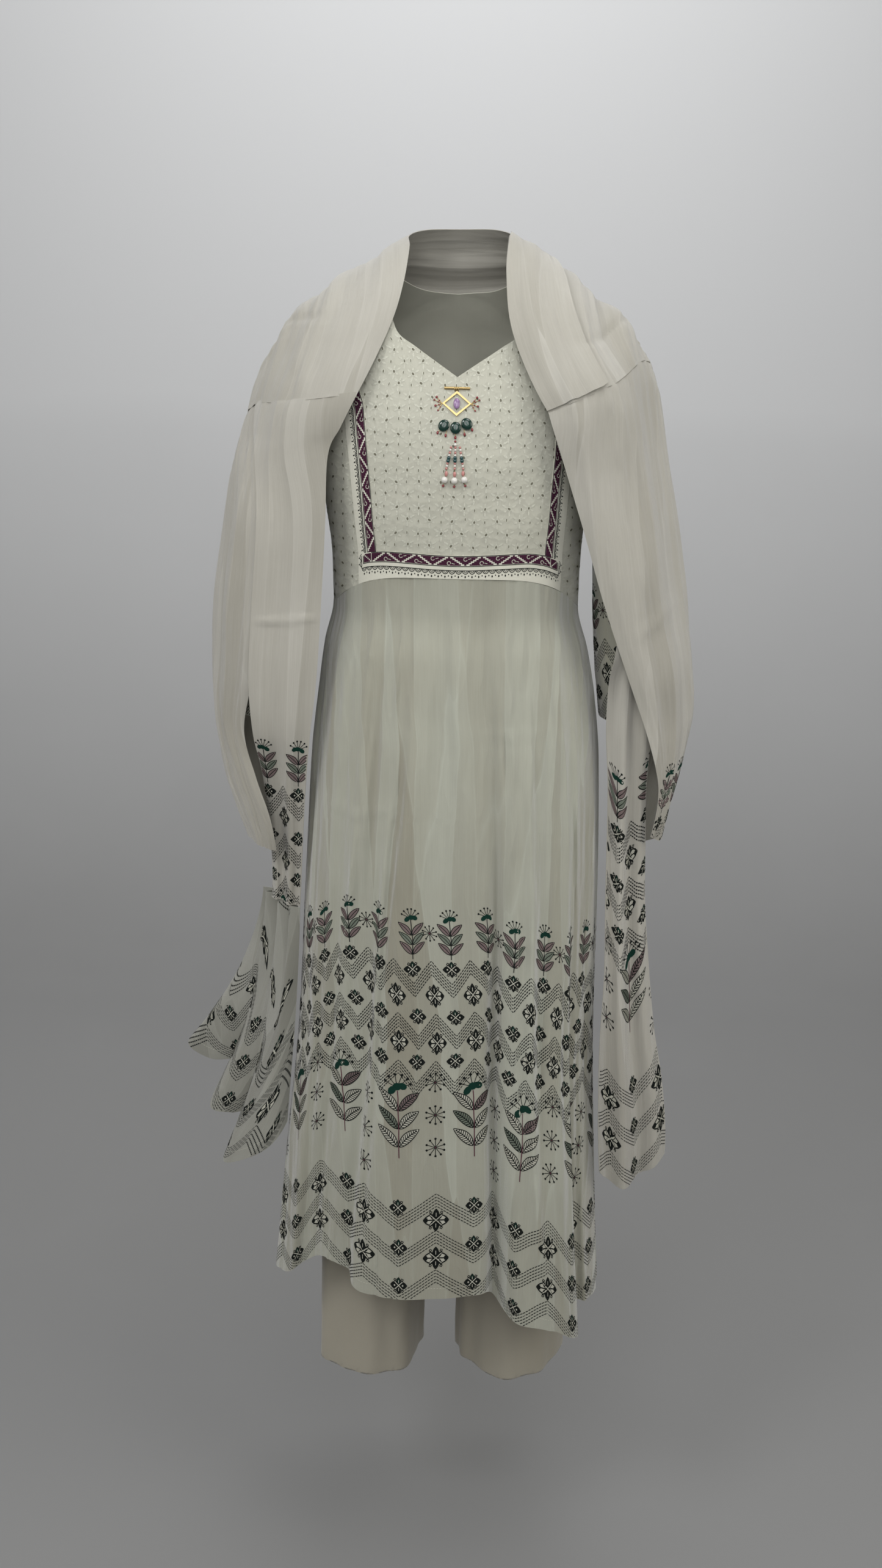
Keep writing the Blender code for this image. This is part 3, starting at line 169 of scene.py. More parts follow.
SLEEVE_SWING = {LEFT: 0.000, RIGHT: 0.0106}
CUFF_DROP = SLEEVE[-1].outer_drop

# Scarf: each section runs from the edge at the neck, out over the shoulder or arm to the side,
# and on to the edge that hangs behind. lift_* moves the first half out, towards the eye.
Section = namedtuple(
    "Section",
    "edge_x edge_y edge_drop side_x side_y side_drop hem_x hem_y hem_drop lift_y lift_z fold",
)
NECK_MIDDLE = Section(
    0.000, 0.068, -0.044, 0.000, 0.116, 0.085, 0.000, 0.118, 0.268, 0.012, 0.010, 0.0045
)
NECK_LEFT = (
    Section(0.036, 0.058, -0.042, 0.098, 0.108, 0.078, 0.104, 0.116, 0.262, 0.014, 0.012, 0.0045),
    Section(0.054, 0.026, -0.034, 0.166, 0.058, 0.062, 0.190, 0.104, 0.246, 0.010, 0.013, 0.0040),
    Section(0.053, -0.010, -0.020, 0.194, 0.014, 0.074, 0.226, 0.086, 0.232, -0.006, 0.016, 0.0030),
    Section(0.058, -0.046, 0.018, 0.206, 0.008, 0.098, 0.230, 0.076, 0.230, -0.030, 0.016, 0.0025),
    Section(0.070, -0.074, 0.060, 0.214, 0.008, 0.118, 0.230, 0.072, 0.240, -0.040, 0.010, 0.0015),
    Section(0.100, -0.100, 0.124, 0.223, 0.008, 0.146, 0.230, 0.070, 0.256, -0.042, 0.002, 0.0000),
)
NECK_RIGHT = (
    Section(0.034, 0.058, -0.044, 0.098, 0.108, 0.076, 0.104, 0.116, 0.262, 0.014, 0.012, 0.0045),
    Section(0.052, 0.028, -0.038, 0.162, 0.058, 0.060, 0.190, 0.104, 0.246, 0.010, 0.013, 0.0040),
    Section(0.050, -0.010, -0.030, 0.190, 0.014, 0.066, 0.224, 0.086, 0.232, -0.002, 0.012, 0.0030),
    Section(0.048, -0.046, 0.008, 0.197, 0.008, 0.074, 0.228, 0.076, 0.228, -0.026, 0.012, 0.0025),
    Section(0.056, -0.084, 0.066, 0.201, 0.008, 0.080, 0.229, 0.072, 0.230, -0.038, 0.004, 0.0020),
    Section(0.092, -0.112, 0.138, 0.205, 0.008, 0.088, 0.230, 0.070, 0.234, -0.050, 0.000, 0.0000),
)
ARM_LEFT = (
    Section(0.180, -0.078, 0.135, 0.2235, 0.008, 0.1475, 0.230, 0.070, 0.258, -0.018, 0.000, 0.0000),
    Section(0.184, -0.077, 0.168, 0.2335, 0.008, 0.176, 0.230, 0.070, 0.278, -0.020, 0.000, 0.0000),
    Section(0.188, -0.079, 0.205, 0.243, 0.008, 0.208, 0.230, 0.068, 0.300, -0.024, 0.000, 0.0010),
    Section(0.190, -0.083, 0.280, 0.256, 0.008, 0.285, 0.228, 0.066, 0.350, -0.028, 0.000, 0.0015),
    Section(0.200, -0.080, 0.360, 0.264, 0.006, 0.362, 0.222, 0.062, 0.408, -0.026, 0.000, 0.0025),
    Section(0.214, -0.072, 0.430, 0.266, 0.002, 0.435, 0.212, 0.056, 0.468, -0.020, 0.000, 0.0025),
    Section(0.226, -0.058, 0.492, 0.262, -0.004, 0.490, 0.200, 0.044, 0.520, -0.016, 0.000, 0.0025),
    Section(0.212, -0.068, 0.543, 0.252, -0.014, 0.545, 0.192, 0.020, 0.562, -0.016, 0.000, 0.0020),
    Section(0.197, -0.074, 0.585, 0.239, -0.024, 0.582, 0.184, 0.004, 0.602, -0.014, 0.000, 0.0015),
    Section(0.190, -0.068, 0.628, 0.224, -0.034, 0.622, 0.182, -0.006, 0.638, -0.012, 0.000, 0.0010),
)
ARM_RIGHT = (
    Section(0.0925, -0.112, 0.1395, 0.2055, 0.008, 0.0895, 0.230, 0.070, 0.2355, -0.050, 0.000, 0.0000),
    Section(0.104, -0.112, 0.172, 0.219, 0.008, 0.136, 0.231, 0.070, 0.262, -0.046, 0.000, 0.0020),
    Section(0.119, -0.106, 0.214, 0.231, 0.008, 0.196, 0.232, 0.069, 0.300, -0.040, 0.000, 0.0025),
    Section(0.141, -0.100, 0.276, 0.247, 0.008, 0.270, 0.233, 0.068, 0.345, -0.042, 0.000, 0.0030),
    Section(0.166, -0.094, 0.350, 0.260, 0.006, 0.350, 0.232, 0.064, 0.400, -0.038, 0.000, 0.0030),
    Section(0.190, -0.088, 0.412, 0.270, 0.000, 0.412, 0.230, 0.058, 0.450, -0.032, 0.000, 0.0030),
    Section(0.211, -0.083, 0.466, 0.2745, -0.004, 0.467, 0.226, 0.046, 0.498, -0.022, 0.000, 0.0025),
    Section(0.225, -0.080, 0.507, 0.268, -0.014, 0.500, 0.220, 0.030, 0.532, -0.018, 0.000, 0.0020),
    Section(0.234, -0.076, 0.548, 0.256, -0.030, 0.558, 0.216, 0.008, 0.582, -0.012, 0.000, 0.0015),
    Section(0.229, -0.070, 0.600, 0.245, -0.040, 0.612, 0.214, -0.006, 0.632, -0.008, 0.000, 0.0010),
)
Bulge = namedtuple("Bulge", "out back")
SIDE_BULGE = Bulge(0.008, 0.010)
NECK_BULGE = Bulge(0.000, 0.006)
SCARF_FOLDS = 5
FRONT_LIFT_AT = 0.58
CREASE_FADE = 0.130
PANEL_CREASE_SHARE = 0.50
PANEL_RIGHT_SECTION = 4
PANEL_RIGHT_SHARES = (0.06, 0.30)
PANEL_RIGHT_FADE = 0.120
ARM_CREASE_SHARE = 0.36
ARM_TUCK = 0.0028
TUCK_FADE = 0.12

# Hanging scarf panels: both edges of each row, front surface towards -Y
PanelRow = namedtuple("PanelRow", "drop inner_x inner_y outer_x outer_y bow fold")
PANEL_LEFT = (
    PanelRow(0.1255, 0.1015, -0.1010, 0.205, -0.0660, 0.012, 0.0000),
    PanelRow(0.160, 0.119, -0.0990, 0.207, -0.0740, 0.008, 0.0005),
    PanelRow(0.190, 0.132, -0.0950, 0.208, -0.0780, 0.007, 0.0010),
    PanelRow(0.260, 0.134, -0.0930, 0.207, -0.0850, 0.006, 0.0012),
    PanelRow(0.355, 0.139, -0.0900, 0.213, -0.0870, 0.004, 0.0012),
    PanelRow(0.430, 0.144, -0.0880, 0.217, -0.0850, 0.003, 0.0015),
    PanelRow(0.490, 0.151, -0.0840, 0.214, -0.0760, 0.003, 0.0020),
    PanelRow(0.540, 0.156, -0.0760, 0.207, -0.0520, 0.003, 0.0030),
    PanelRow(0.600, 0.160, -0.0660, 0.202, -0.0380, 0.003, 0.0040),
    PanelRow(0.660, 0.163, -0.0580, 0.200, -0.0280, 0.003, 0.0045),
    PanelRow(0.700, 0.165, -0.0540, 0.202, -0.0220, 0.003, 0.0050),
)
PANEL_RIGHT = (
    PanelRow(0.330, 0.182, -0.0660, 0.214, -0.0570, 0.001, 0.0000),
    PanelRow(0.380, 0.178, -0.0680, 0.220, -0.0600, 0.002, 0.0015),
    PanelRow(0.425, 0.173, -0.0700, 0.224, -0.0640, 0.002, 0.0020),
    PanelRow(0.480, 0.173, -0.0700, 0.224, -0.0660, 0.002, 0.0030),
    PanelRow(0.540, 0.178, -0.0680, 0.222, -0.0600, 0.002, 0.0040),
    PanelRow(0.614, 0.181, -0.0680, 0.226, -0.0520, 0.002, 0.0050),
    PanelRow(0.690, 0.183, -0.0760, 0.230, -0.0500, 0.002, 0.0060),
    PanelRow(0.760, 0.184, -0.0860, 0.238, -0.0520, 0.002, 0.0070),
    PanelRow(0.840, 0.182, -0.0960, 0.250, -0.0540, 0.002, 0.0080),
    PanelRow(0.900, 0.184, -0.1000, 0.262, -0.0560, 0.002, 0.0085),
    PanelRow(0.960, 0.187, -0.1010, 0.270, -0.0560, 0.002, 0.0090),
    PanelRow(1.004, 0.190, -0.1020, 0.272, -0.0560, 0.002, 0.0095),
)
PANEL_LEFT_COLUMNS = 10
PANEL_LEFT_FOLDS = 2
PANEL_RIGHT_COLUMNS = 16
PANEL_RIGHT_FOLDS = 2
PANEL_RIGHT_END_DIP = 0.026

# Folded band at the right shoulder: how far it covers the section under it, and its roll
BAND_SECTIONS = 9
BAND_COLUMNS = 5
BAND_REACH_TOP = 0.15
BAND_REACH_FOOT = 0.25
BAND_LIFT = 0.0022
BAND_ROLL = 0.0045

# Ruffled end: each turn of its hem, and the narrow top it falls from
HemTurn = namedtuple("HemTurn", "x y drop")
CASCADE_HEM = (
    HemTurn(0.179, -0.070, 0.965),
    HemTurn(0.200, -0.082, 0.993),
    HemTurn(0.231, -0.076, 1.014),
    HemTurn(0.259, -0.052, 1.030),
    HemTurn(0.247, -0.030, 1.004),
    HemTurn(0.231, -0.018, 0.981),
    HemTurn(0.254, -0.012, 0.987),
    HemTurn(0.281, 0.000, 0.986),
    HemTurn(0.268, 0.016, 0.952),
    HemTurn(0.251, 0.030, 0.936),
    HemTurn(0.286, 0.042, 0.942),
    HemTurn(0.316, 0.054, 0.928),
    HemTurn(0.296, 0.068, 0.910),
)
CASCADE_TOP = (HemTurn(0.165, -0.054, 0.7005), HemTurn(0.215, 0.012, 0.7005))
CASCADE_TOP_WAVE = 0.008
CASCADE_ROWS = 7
CASCADE_COLUMNS = 24
CASCADE_FLARE = 1.5

# Ornament at the centre of the yoke, with the drop of each piece below the shoulders
BAR_DROP = 0.119
FRAME_DROP = 0.134
FRAME_HALF_WIDTH = 0.0135
FRAME_BAR = 0.0012
STONE_RADII = (0.0034, 0.0020, 0.0056)
LEAF_RADII = (0.0056, 0.0024, 0.0062)
Leaf = namedtuple("Leaf", "x drop turn")
LEAVES = (Leaf(-0.0125, 0.1555, 28), Leaf(-0.0005, 0.1575, 0), Leaf(0.0105, 0.1535, -32))
STRAND_GATHER = 0.45
Pearl = namedtuple("Pearl", "x drop")
PEARLS = (Pearl(-0.0105, 0.2085), Pearl(-0.0005, 0.2090), Pearl(0.0095, 0.2080))
PEARL_RADIUS = 0.0034

# Fine cloth: its thickness, the gap at the side seams, how far the strips lie off the yoke, and
# how many steps there are to one of the solids' own
THIN = 0.0006
FINE_GAP = 0.0002
LIFT_BORDER = 0.0009
BODICE_STEPS = 5
SLEEVE_FINE = (8, 4)
SHARP_ANGLE = math.radians(60)

# Soft swells of the cloth: how wide each is, how high, and how far it is drawn out along x, y, z
Swell = namedtuple("Swell", "size height stretch")
SWELL_WAVES = 10
YOKE_SWELL = Swell(0.05, 0.0005, (1, 1, 1))
SLEEVE_SWELL = Swell(0.06, 0.0010, (1, 1, 2.5))
SKIRT_SWELL = Swell(0.09, 0.0007, (1, 1, 4))
SCARF_SWELL = Swell(0.10, 0.0009, (1, 1, 1))
PANEL_SWELL = Swell(0.07, 0.0008, (1, 1, 3))
END_SWELL = Swell(0.07, 0.0010, (1, 1, 3))
YOKE_CALM_DEPTH = 0.03

# Flat size of each sheet: its two sides in metres and its area in square metres
Flat = namedtuple("Flat", "sides area")
YOKE_SHEETS = {FRONT: "yoke_front_cloth", BACK: "yoke_back_cloth"}

# Starting numbers of the random draws
SEEDS = {
    "yoke swell": 3,
    "skirt swell": 5,
    "gathers": 11,
    "eyelets": 17,
    "sleeve swell": 21,
    "skirt creases": 29,
    "neck": 31,
    "arm": 40,
    "panel swell": 51,
    "end swell": 61,
    "skirt print": 71,
    "panel print": 81,
    "end print": 86,
    "sleeve print": 91,
    "arm print": 96,
}

# A crease that shows in the front view: its line as x, z pairs, its width and its height
Crease = namedtuple("Crease", "width height line")
SKIRT_CREASES = (
    Crease(0.0030, 0.0012, ((-0.140, -0.560), (-0.100, -0.566), (-0.060, -0.556))),
    Crease(0.0030, 0.0010, ((-0.095, -0.500), (-0.090, -0.560), (-0.094, -0.640))),
    Crease(0.0028, 0.0010, ((0.020, -0.470), (0.060, -0.476), (0.110, -0.468))),
    Crease(0.0028, -0.0010, ((0.070, -0.420), (0.066, -0.480), (0.074, -0.560))),
    Crease(0.0030, 0.0010, ((0.030, -0.690), (0.080, -0.700), (0.130, -0.688))),
)
SCARF_CREASES = (
    Crease(0.0030, -0.0022, ((-0.205, -0.066), (-0.186, -0.060), (-0.176, -0.054), (-0.132, -0.050))),
    Crease(0.0070, -0.0040, ((-0.122, -0.030), (-0.139, -0.068), (-0.150, -0.120))),
    Crease(0.0060, -0.0030, ((-0.168, -0.100), (-0.176, -0.140))),
    Crease(0.0022, 0.0026, ((-0.209, -0.363), (-0.142, -0.360))),
    Crease(0.0040, 0.0030, ((0.072, -0.004), (0.090, -0.050), (0.108, -0.100), (0.122, -0.150),
                            (0.138, -0.215), (0.150, -0.290), (0.160, -0.345))),
    Crease(0.0036, 0.0020, ((0.152, -0.112), (0.158, -0.150), (0.164, -0.190))),
    Crease(0.0036, 0.0020, ((0.186, -0.124), (0.198, -0.190), (0.214, -0.260))),
    Crease(0.0028, 0.0014, ((0.202, -0.102), (0.220, -0.126))),
    Crease(0.0034, -0.0024, ((0.206, -0.020), (0.186, -0.036), (0.150, -0.066), (0.110, -0.078))),
    Crease(0.0034, 0.0020, ((0.196, -0.372), (0.226, -0.352), (0.250, -0.336))),
)

# Skirt folds: soft ridges and troughs that hang down the cloth, by angle from the centre front
Fold = namedtuple("Fold", "angle half_angle height top_drop foot_drop")
SKIRT_FOLDS = (
    Fold(-84, 3.0, 0.0030, 0.40, 1.10),
    Fold(-74, 2.4, -0.0026, 0.36, 0.90),
    Fold(-58, 2.0, 0.0024, 0.33, 0.78),
    Fold(-49, 3.2, 0.0042, 0.36, 1.05),
    Fold(-43, 1.8, -0.0030, 0.42, 1.10),
    Fold(-36, 2.2, 0.0036, 0.34, 0.98),
    Fold(-29, 1.5, -0.0024, 0.33, 0.72),
    Fold(-22, 1.5, 0.0048, 0.52, 1.16),
    Fold(-19, 1.4, -0.0038, 0.55, 1.14),
    Fold(-15, 1.8, 0.0022, 0.33, 0.66),
    Fold(-6, 2.6, -0.0028, 0.36, 0.95),
    Fold(2, 1.6, 0.0024, 0.33, 0.84),
    Fold(12, 1.7, -0.0048, 0.38, 1.14),
    Fold(19, 1.7, 0.0028, 0.33, 0.92),
    Fold(25, 1.8, 0.0042, 0.44, 1.12),
    Fold(29, 2.0, -0.0030, 0.40, 1.06),
    Fold(38, 2.0, 0.0030, 0.34, 1.10),
    Fold(52, 2.6, 0.0036, 0.36, 1.12),
    Fold(60, 1.8, -0.0024, 0.36, 0.88),
    Fold(76, 2.4, 0.0028, 0.38, 1.08),
    Fold(100, 2.6, 0.0034, 0.38, 1.06),
    Fold(124, 2.0, -0.0030, 0.36, 1.00),
    Fold(134, 2.6, 0.0036, 0.40, 1.12),
    Fold(156, 2.2, 0.0026, 0.34, 0.86),
    Fold(168, 2.8, -0.0034, 0.36, 1.06),
    Fold(190, 2.2, 0.0034, 0.36, 1.10),
    Fold(205, 2.0, -0.0026, 0.34, 0.92),
    Fold(228, 2.8, 0.0036, 0.40, 1.12),
    Fold(242, 2.0, 0.0026, 0.34, 0.80),
    Fold(262, 2.6, -0.0030, 0.38, 1.04),
)
FOLD_FADE_IN = 0.10
FOLD_FADE_OUT = 0.12

# Ripples round the skirt: how many, phase, height and how they drift as they fall
RIPPLES = ((26, 0.0, 0.0007, 4.0), (17, 1.2, 0.0012, -3.5), (39, 0.5, 0.0004, -7.0))
RIPPLE_FADE_IN = 0.16

# Gathers under the empire seam, and how fine the grids of the skirt are
GATHERS = 190
GATHER_HALF_ANGLE = 0.95
GATHER_SHARE = 0.55
FINE_SKIRT_COLUMNS = {FRONT: 270, BACK: 160}
FINE_SKIRT_ROWS = 128
SKIRT_ROW_POWER = 1.15

# Creases of crushed cloth: how many, their usual width, length and height, and how much they lean
Crumple = namedtuple("Crumple", "count width length height lean")
SKIRT_CRUMPLE = Crumple(170, 1.2, 0.22, 0.0036, 14)
CRUMPLE_TOPS = (0.25, 1.05)
SCARF_CRUMPLE = Crumple(30, 0.0040, 0.26, 0.0022, 0.05)
CRUMPLE_FADE_IN = 0.05

# Printed and stitched shapes are drawn flat in millimetres, x across and y up, then laid on the
# cloth. PIECE is the longest step of a line, in millimetres. The lifts and the edge are in metres
INKS = ("grey", "green", "mauve", "sage", "maroon", "light", "plum", "hole_shade", "thread", "ink_dark")
PIECE = 3.0
LIFT_PRINT = 0.00016
LIFT_LAYER = 0.00005
LONGEST_INK_EDGE = 0.012
POINTS_AT_ONCE = 12000
CHEVRON_LINE = 0.95
CHEVRON_LINES = 5
CHEVRON_SPACING = 0.0037

# Petals of the two printed flowers: place, half width, half height and turn
SMALL_PETALS = ((-3.8, -1.2, 3.6, 2.5, 40), (0.6, 0.8, 3.2, 2.7, 10), (4.4, 0.6, 3.2, 2.6, -30))
BIG_PETALS = ((-6.2, -4.0, 6.0, 3.8, 50), (-0.6, 0.8, 4.8, 4.4, 15), (5.4, 1.6, 5.2, 4.0, -20))

# The print of the skirt, from the empire seam down, in metres. Peaks of the zigzags lie at
# PRINT_PEAK and every period from it
PRINT_LENGTH = 0.80
PRINT_TOP = 0.350
SLEEVE_PRINT_DROP = 0.331
PANEL_LEFT_PRINT_DROP = 0.500
ARM_RIGHT_PRINT_DROP = 0.522
PANEL_RIGHT_PRINT_SHARE = 0.90
END_PRINT_LENGTH = 0.245
PRINT_PEAK = -0.030
SMALL_PERIOD = 0.0425
BIG_PERIOD = 0.085
SMALL_PLANTS_DROP = 0.356
SMALL_STARS_DROP = 0.372
UPPER_BANDS = (0.4025, 0.462, 0.516)
UPPER_HEIGHT = 0.027
UPPER_SMALL_MEDALLIONS = (0.4120, 0.4665, 0.5180)
UPPER_LARGE_MEDALLIONS = (0.4420, 0.4960)
BIG_PLANTS_DROP = 0.549
UPPER_FOOT_DROP = 0.640
STAR_DROPS = (0.568, 0.607, 0.645)
OTHER_STAR_DROPS = (0.541, 0.579, 0.617)
LOWER_BANDS = (0.672, 0.716, 0.764)
LOWER_HEIGHT = 0.029
LOWER_LARGE_MEDALLIONS = (0.7035, 0.7500)
LOWER_SMALL_MEDALLIONS = (0.6890, 0.7360, 0.7830)
PRINT_JITTER = 0.0005
PANEL_LEFT_PRINT_SHIFT = 0.012
PANEL_RIGHT_PRINT_SHIFT = 0.005

# The stitched hem of the printed pieces, in millimetres
HEM_STITCH_RISE = 13
STITCH_WIDTH = 0.45

# Eyelets of the yoke, on a lattice of columns and rows with slits between them, and the stitches
# along its neckline
EYELET_X = -0.0018
EYELET_STEP = 0.0230
EYELET_TOP_DROP = 0.060
EYELET_FOOT_DROP = 0.345
EYELET_ROWS = (0.0110, 0.0140)
EYELET_LEANS = (-38, -18, -4, 10, 30, 52)
NECK_STITCH_IN = 0.0036
EYELET_COLUMNS = range(-8, 9)
EYELET_JITTER = 0.0009
SLIT_JITTER = 0.0012

# Printed border, in millimetres along it and out from its inner line
Border = namedtuple("Border", "band line second scallop drops")
SIDE_BORDER = Border(10.4, 11.2, 13.6, 16.4, 18.2)
FOOT_BORDER = Border(10.2, 11.0, 15.6, 19.6, 22.2)
BORDER_PAIR = 34.0
BORDER_STEPS = 6
SCALLOP = 7.0
BORDER_MARGIN = 1.2
BORDER_APART = 3.4
BORDER_FIRST_LINE = 0.5
BORDER_LINE = 0.8

# Scarf: steps between its own sections and columns, the roll of its creases, and its fine pleats
NECK_FINE = (8, 72)
ARM_FINE = (10, 64)
CREASE_TILT = 0.19
CREASE_SWELL = 0.060
CREASE_LIP = 0.0026
PLEATS = 17
PLEAT_HEIGHT = 0.0009
PLEAT_END_FADE = 0.03
FOLD_START_ROWS = 12
PANEL_LEFT_FINE = (20, 4)
PANEL_RIGHT_FINE = (10, 3)
BAND_FINE = 5
END_FINE = (10, 6)

# Trouser legs: the middle of the wearer's left one, the drop at which folds begin, how much lower
# they reach their full height, and the folds
LEG_CENTRE = (0.083, -0.02)
LEG_FOLD_TOP = 0.75
LEG_FOLD_FALL = 0.5
LEG_LEVELS = 2
LegWave = namedtuple("LegWave", "count height phase side_phase")
LEG_WAVES = (LegWave(5, 0.0028, 0, 1), LegWave(9, 0.0020, 2, 0), LegWave(14, 0.0012, 0, 0))

# Beads and wires: places are x and drop on the yoke, in metres. Sizes are in millimetres
BEAD_KINDS = ("gold", "violet", "green", "red", "pink", "teal", "white", "jade")
Twig = namedtuple("Twig", "reach drop size")
TWIGS = (
    Twig(0.0057, 0.1278, 1.3),
    Twig(0.0081, 0.1303, 1.1),
    Twig(0.0067, 0.1362, 1.3),
    Twig(0.0040, 0.1405, 1.0),
)
LeafDrop = namedtuple("LeafDrop", "top foot")
LEAF_DROPS = (
    LeafDrop((-0.0155, 0.1585), (-0.0186, 0.1624)),
    LeafDrop((-0.0095, 0.1600), (-0.0105, 0.1650)),
    LeafDrop((-0.0005, 0.1625), (-0.0006, 0.1668)),
    LeafDrop((0.0080, 0.1590), (0.0085, 0.1634)),
    LeafDrop((0.0130, 0.1550), (0.0162, 0.1590)),
)
STRING_BEADS = ("pink", "white", "pink", "white", "teal", "teal", "pink", "white", "pink")
STRING_TOP = 0.1765
STRING_STEP = 0.0026
TASSEL_HEAD = (("white", 0.1738, 1.7), ("red", 0.1706, 1.2))
TASSEL_HEAD_X = -0.0005
STRING_BEAD = 1.3
TEAL_BEAD = 2.0
CAP_BEAD = (1.7, 2.9, 1.5)
FOOT_BEAD = 1.4
LEAF_VEIN = (0.35, 3.2, 0.5)
LEAF_DROP_BEAD = (1.3, 1.8, 1.3)
TWIG_BEAD = 0.8
LOOP_XS = (-0.0022, -0.0005, 0.0012)
LOOP_SIZE = (0.7, 2.2, 2.4)

# Colours, as shown under the studio light
CREAM = (0.54, 0.54, 0.465)
CREAM_WARM = (0.49, 0.485, 0.405)
TROUSER_CREAM = (0.41, 0.385, 0.320)
TROUSER_SHADE = (0.365, 0.338, 0.276)
SKIRT_CREAM = (0.440, 0.452, 0.384)
SKIRT_SHADE = (0.300, 0.285, 0.225)
SCARF_CREAM = (0.525, 0.510, 0.460)
SCARF_SHADE = (0.36, 0.342, 0.290)
# Painted shade: the scarf's end has a darker cloth than the rest of the scarf, for the shade it hangs
# in under the hand, and partly for the tone of its dense print
END_CREAM_SHADED = (0.36, 0.360, 0.318)
END_SHADE = (0.24, 0.238, 0.205)
STRIP_CREAM = (0.72, 0.712, 0.620)
STRIP_SHADE = (0.66, 0.652, 0.560)
GOLD = (0.50, 0.37, 0.17)
INK_COLOURS = {
    "grey": (0.010, 0.012, 0.012),
    "green": (0.004, 0.030, 0.021),
    "mauve": (0.185, 0.140, 0.138),
    "sage": (0.16, 0.185, 0.150),
    "maroon": (0.095, 0.035, 0.048),
    "light": (0.47, 0.465, 0.40),
    "plum": (0.052, 0.013, 0.032),
    # painted shade: the dark seen through the eyelet and slit openings
    "hole_shade": (0.175, 0.168, 0.128),
    "thread": (0.58, 0.58, 0.50),
    "ink_dark": (0.007, 0.009, 0.008),
}

# Weave: the texture scale that gives about one thread a metre, then the stretch of the slubs, the
# scales of creasing and dye, and the heights of threads and slubs
WAVE_SCALE = 2 / 6.2832
SLUB_STRETCH = (900, 14, 1)
CRUMPLE_SCALE = 34.0
DYE_SCALE = 9.0
THREAD_HEIGHT = 0.00012
SLUB_HEIGHT = 0.00016
# Width of the painted highlight along the creases between crushed flats, as a share of a flat
CREASE_HIGHLIGHT_WIDTH = 0.035

# Camera: solved from the photo. The pitch looks down on the set from eye height
CAMERA_PLACE = (-0.0067, -1.695, -0.072)
FOCAL_IN_PIXELS = 2500
HORIZON_IN_PIXELS = 727
CAMERA_PITCH = math.atan(HORIZON_IN_PIXELS / FOCAL_IN_PIXELS)
CAMERA_ROLL = 0.02404
PHOTO_HEIGHT = 2568
SENSOR_HEIGHT = 24.0
CLIP_START = 0.05

# Stage: a floor that bends up into a wall, its paint, and the lights
FLOOR_DROP = 1.537
STAGE_REACH = 4.5
STAGE_BACK = 2.7
STAGE_TOP = 3.2
STAGE_BEND = 1.2
STAGE_COLUMNS = 9
STAGE_STEPS = 12
# Painted light on the wall: its paint goes from darker at the foot to paler towards the top, as the
# wall is lit from above
WALL_FOOT = (0.26, 0.261, 0.263)
WALL_TOP = (0.66, 0.668, 0.68)
WALL_PALE_HEIGHT = 1.3
WORLD_COLOUR = (1.0, 0.99, 0.965, 1)
WORLD_STRENGTH = 0.30
WHITE = (1, 1, 1)
WARM_WHITE = (1.0, 0.97, 0.87)
Light = namedtuple("Light", "name place target size power colour")
LIGHTS = (
    Light("key", (-1.4, -1.5, 1.3), (0.0, 0.0, -0.15), 0.8, 16, WHITE),
    Light("top", (0.5, -0.6, 1.3), (0.0, 0.1, -0.2), 1.0, 8, WHITE),
    Light("front", (0.0, -1.9, 0.60), (0.0, 0.0, -0.25), 1.6, 18, WHITE),
    Light("wall", (0.0, 1.0, 2.0), (0.0, 2.7, 0.6), 1.8, 38, WHITE),
    Light("side_left", (-1.6, -0.7, 0.2), (0.0, 0.0, -0.5), 1.2, 4, WARM_WHITE),
    Light("side_right", (1.6, -0.7, 0.2), (0.0, 0.0, -0.5), 1.2, 8, WARM_WHITE),
)


def table(rows, *names):
    """The named columns of a table as an array, one row for each of its rows."""
    return np.array([[getattr(row, name) for name in names] for row in rows], float)


def unit(vectors, least=1e-12):
    """The same directions with a length of 1."""
    return vectors / np.maximum(np.linalg.norm(vectors, axis=-1), least)[..., None]


def through(stations, values, at):
    """Values along a smooth curve through every station's values, with no overshoot between them."""
    stations = np.asarray(stations, float)
    values = np.asarray(values, float).reshape(len(stations), -1)
    at = np.clip(np.asarray(at, float), stations[0], stations[-1])
    steps = np.diff(stations)[:, None]
    slopes = np.diff(values, axis=0) / steps
    agree = slopes[:-1] * slopes[1:] > 0
    total = np.where(agree, slopes[:-1] + slopes[1:], 1.0)
    tangents = np.where(agree, 2 * slopes[:-1] * slopes[1:] / total, 0.0)
    tangents = np.vstack([slopes[:1], tangents, slopes[-1:]])
    first = np.clip(np.searchsorted(stations, at, side="right") - 1, 0, len(stations) - 2)
    t = ((at - stations[first]) / steps[first, 0])[..., None]
    ease = t * t * (3 - 2 * t)
    pull = t * (1 - t)
    straight = values[first] * (1 - ease) + values[first + 1] * ease
    turn = (tangents[first] * (1 - t) - tangents[first + 1] * t) * steps[first] * pull
    return straight + turn


TORSO_DROPS = table(TORSO, "drop")[:, 0]
TORSO_SIZES = table(TORSO, "centre_x", "half_width", "front", "back", "power")


def torso(drop):
    """Centre, half width, front and back reach and squareness of the tunic at a drop."""
    sizes = through(TORSO_DROPS, TORSO_SIZES, drop)
    return tuple(np.moveaxis(sizes, -1, 0))


def torso_y(x, drop, facing):
    """Where the tunic's front or back lies, at a width and a drop."""
    centre, half_width, front, back, power = torso(drop)
    reach = front if facing == FRONT else back
    ratio = np.clip(np.abs(x - centre) / half_width, 0, 1)
    return facing * reach * (1 - ratio**power) ** (1 / power)


def empire_drop(x):
    """The empire seam, which falls away to the side seams."""
    seam = TORSO[8]
    ratio = np.clip(np.abs(x - seam.centre_x) / seam.half_width, 0, 1)
    return EMPIRE_DROP + EMPIRE_SIDE_FALL * ratio**EMPIRE_POWER


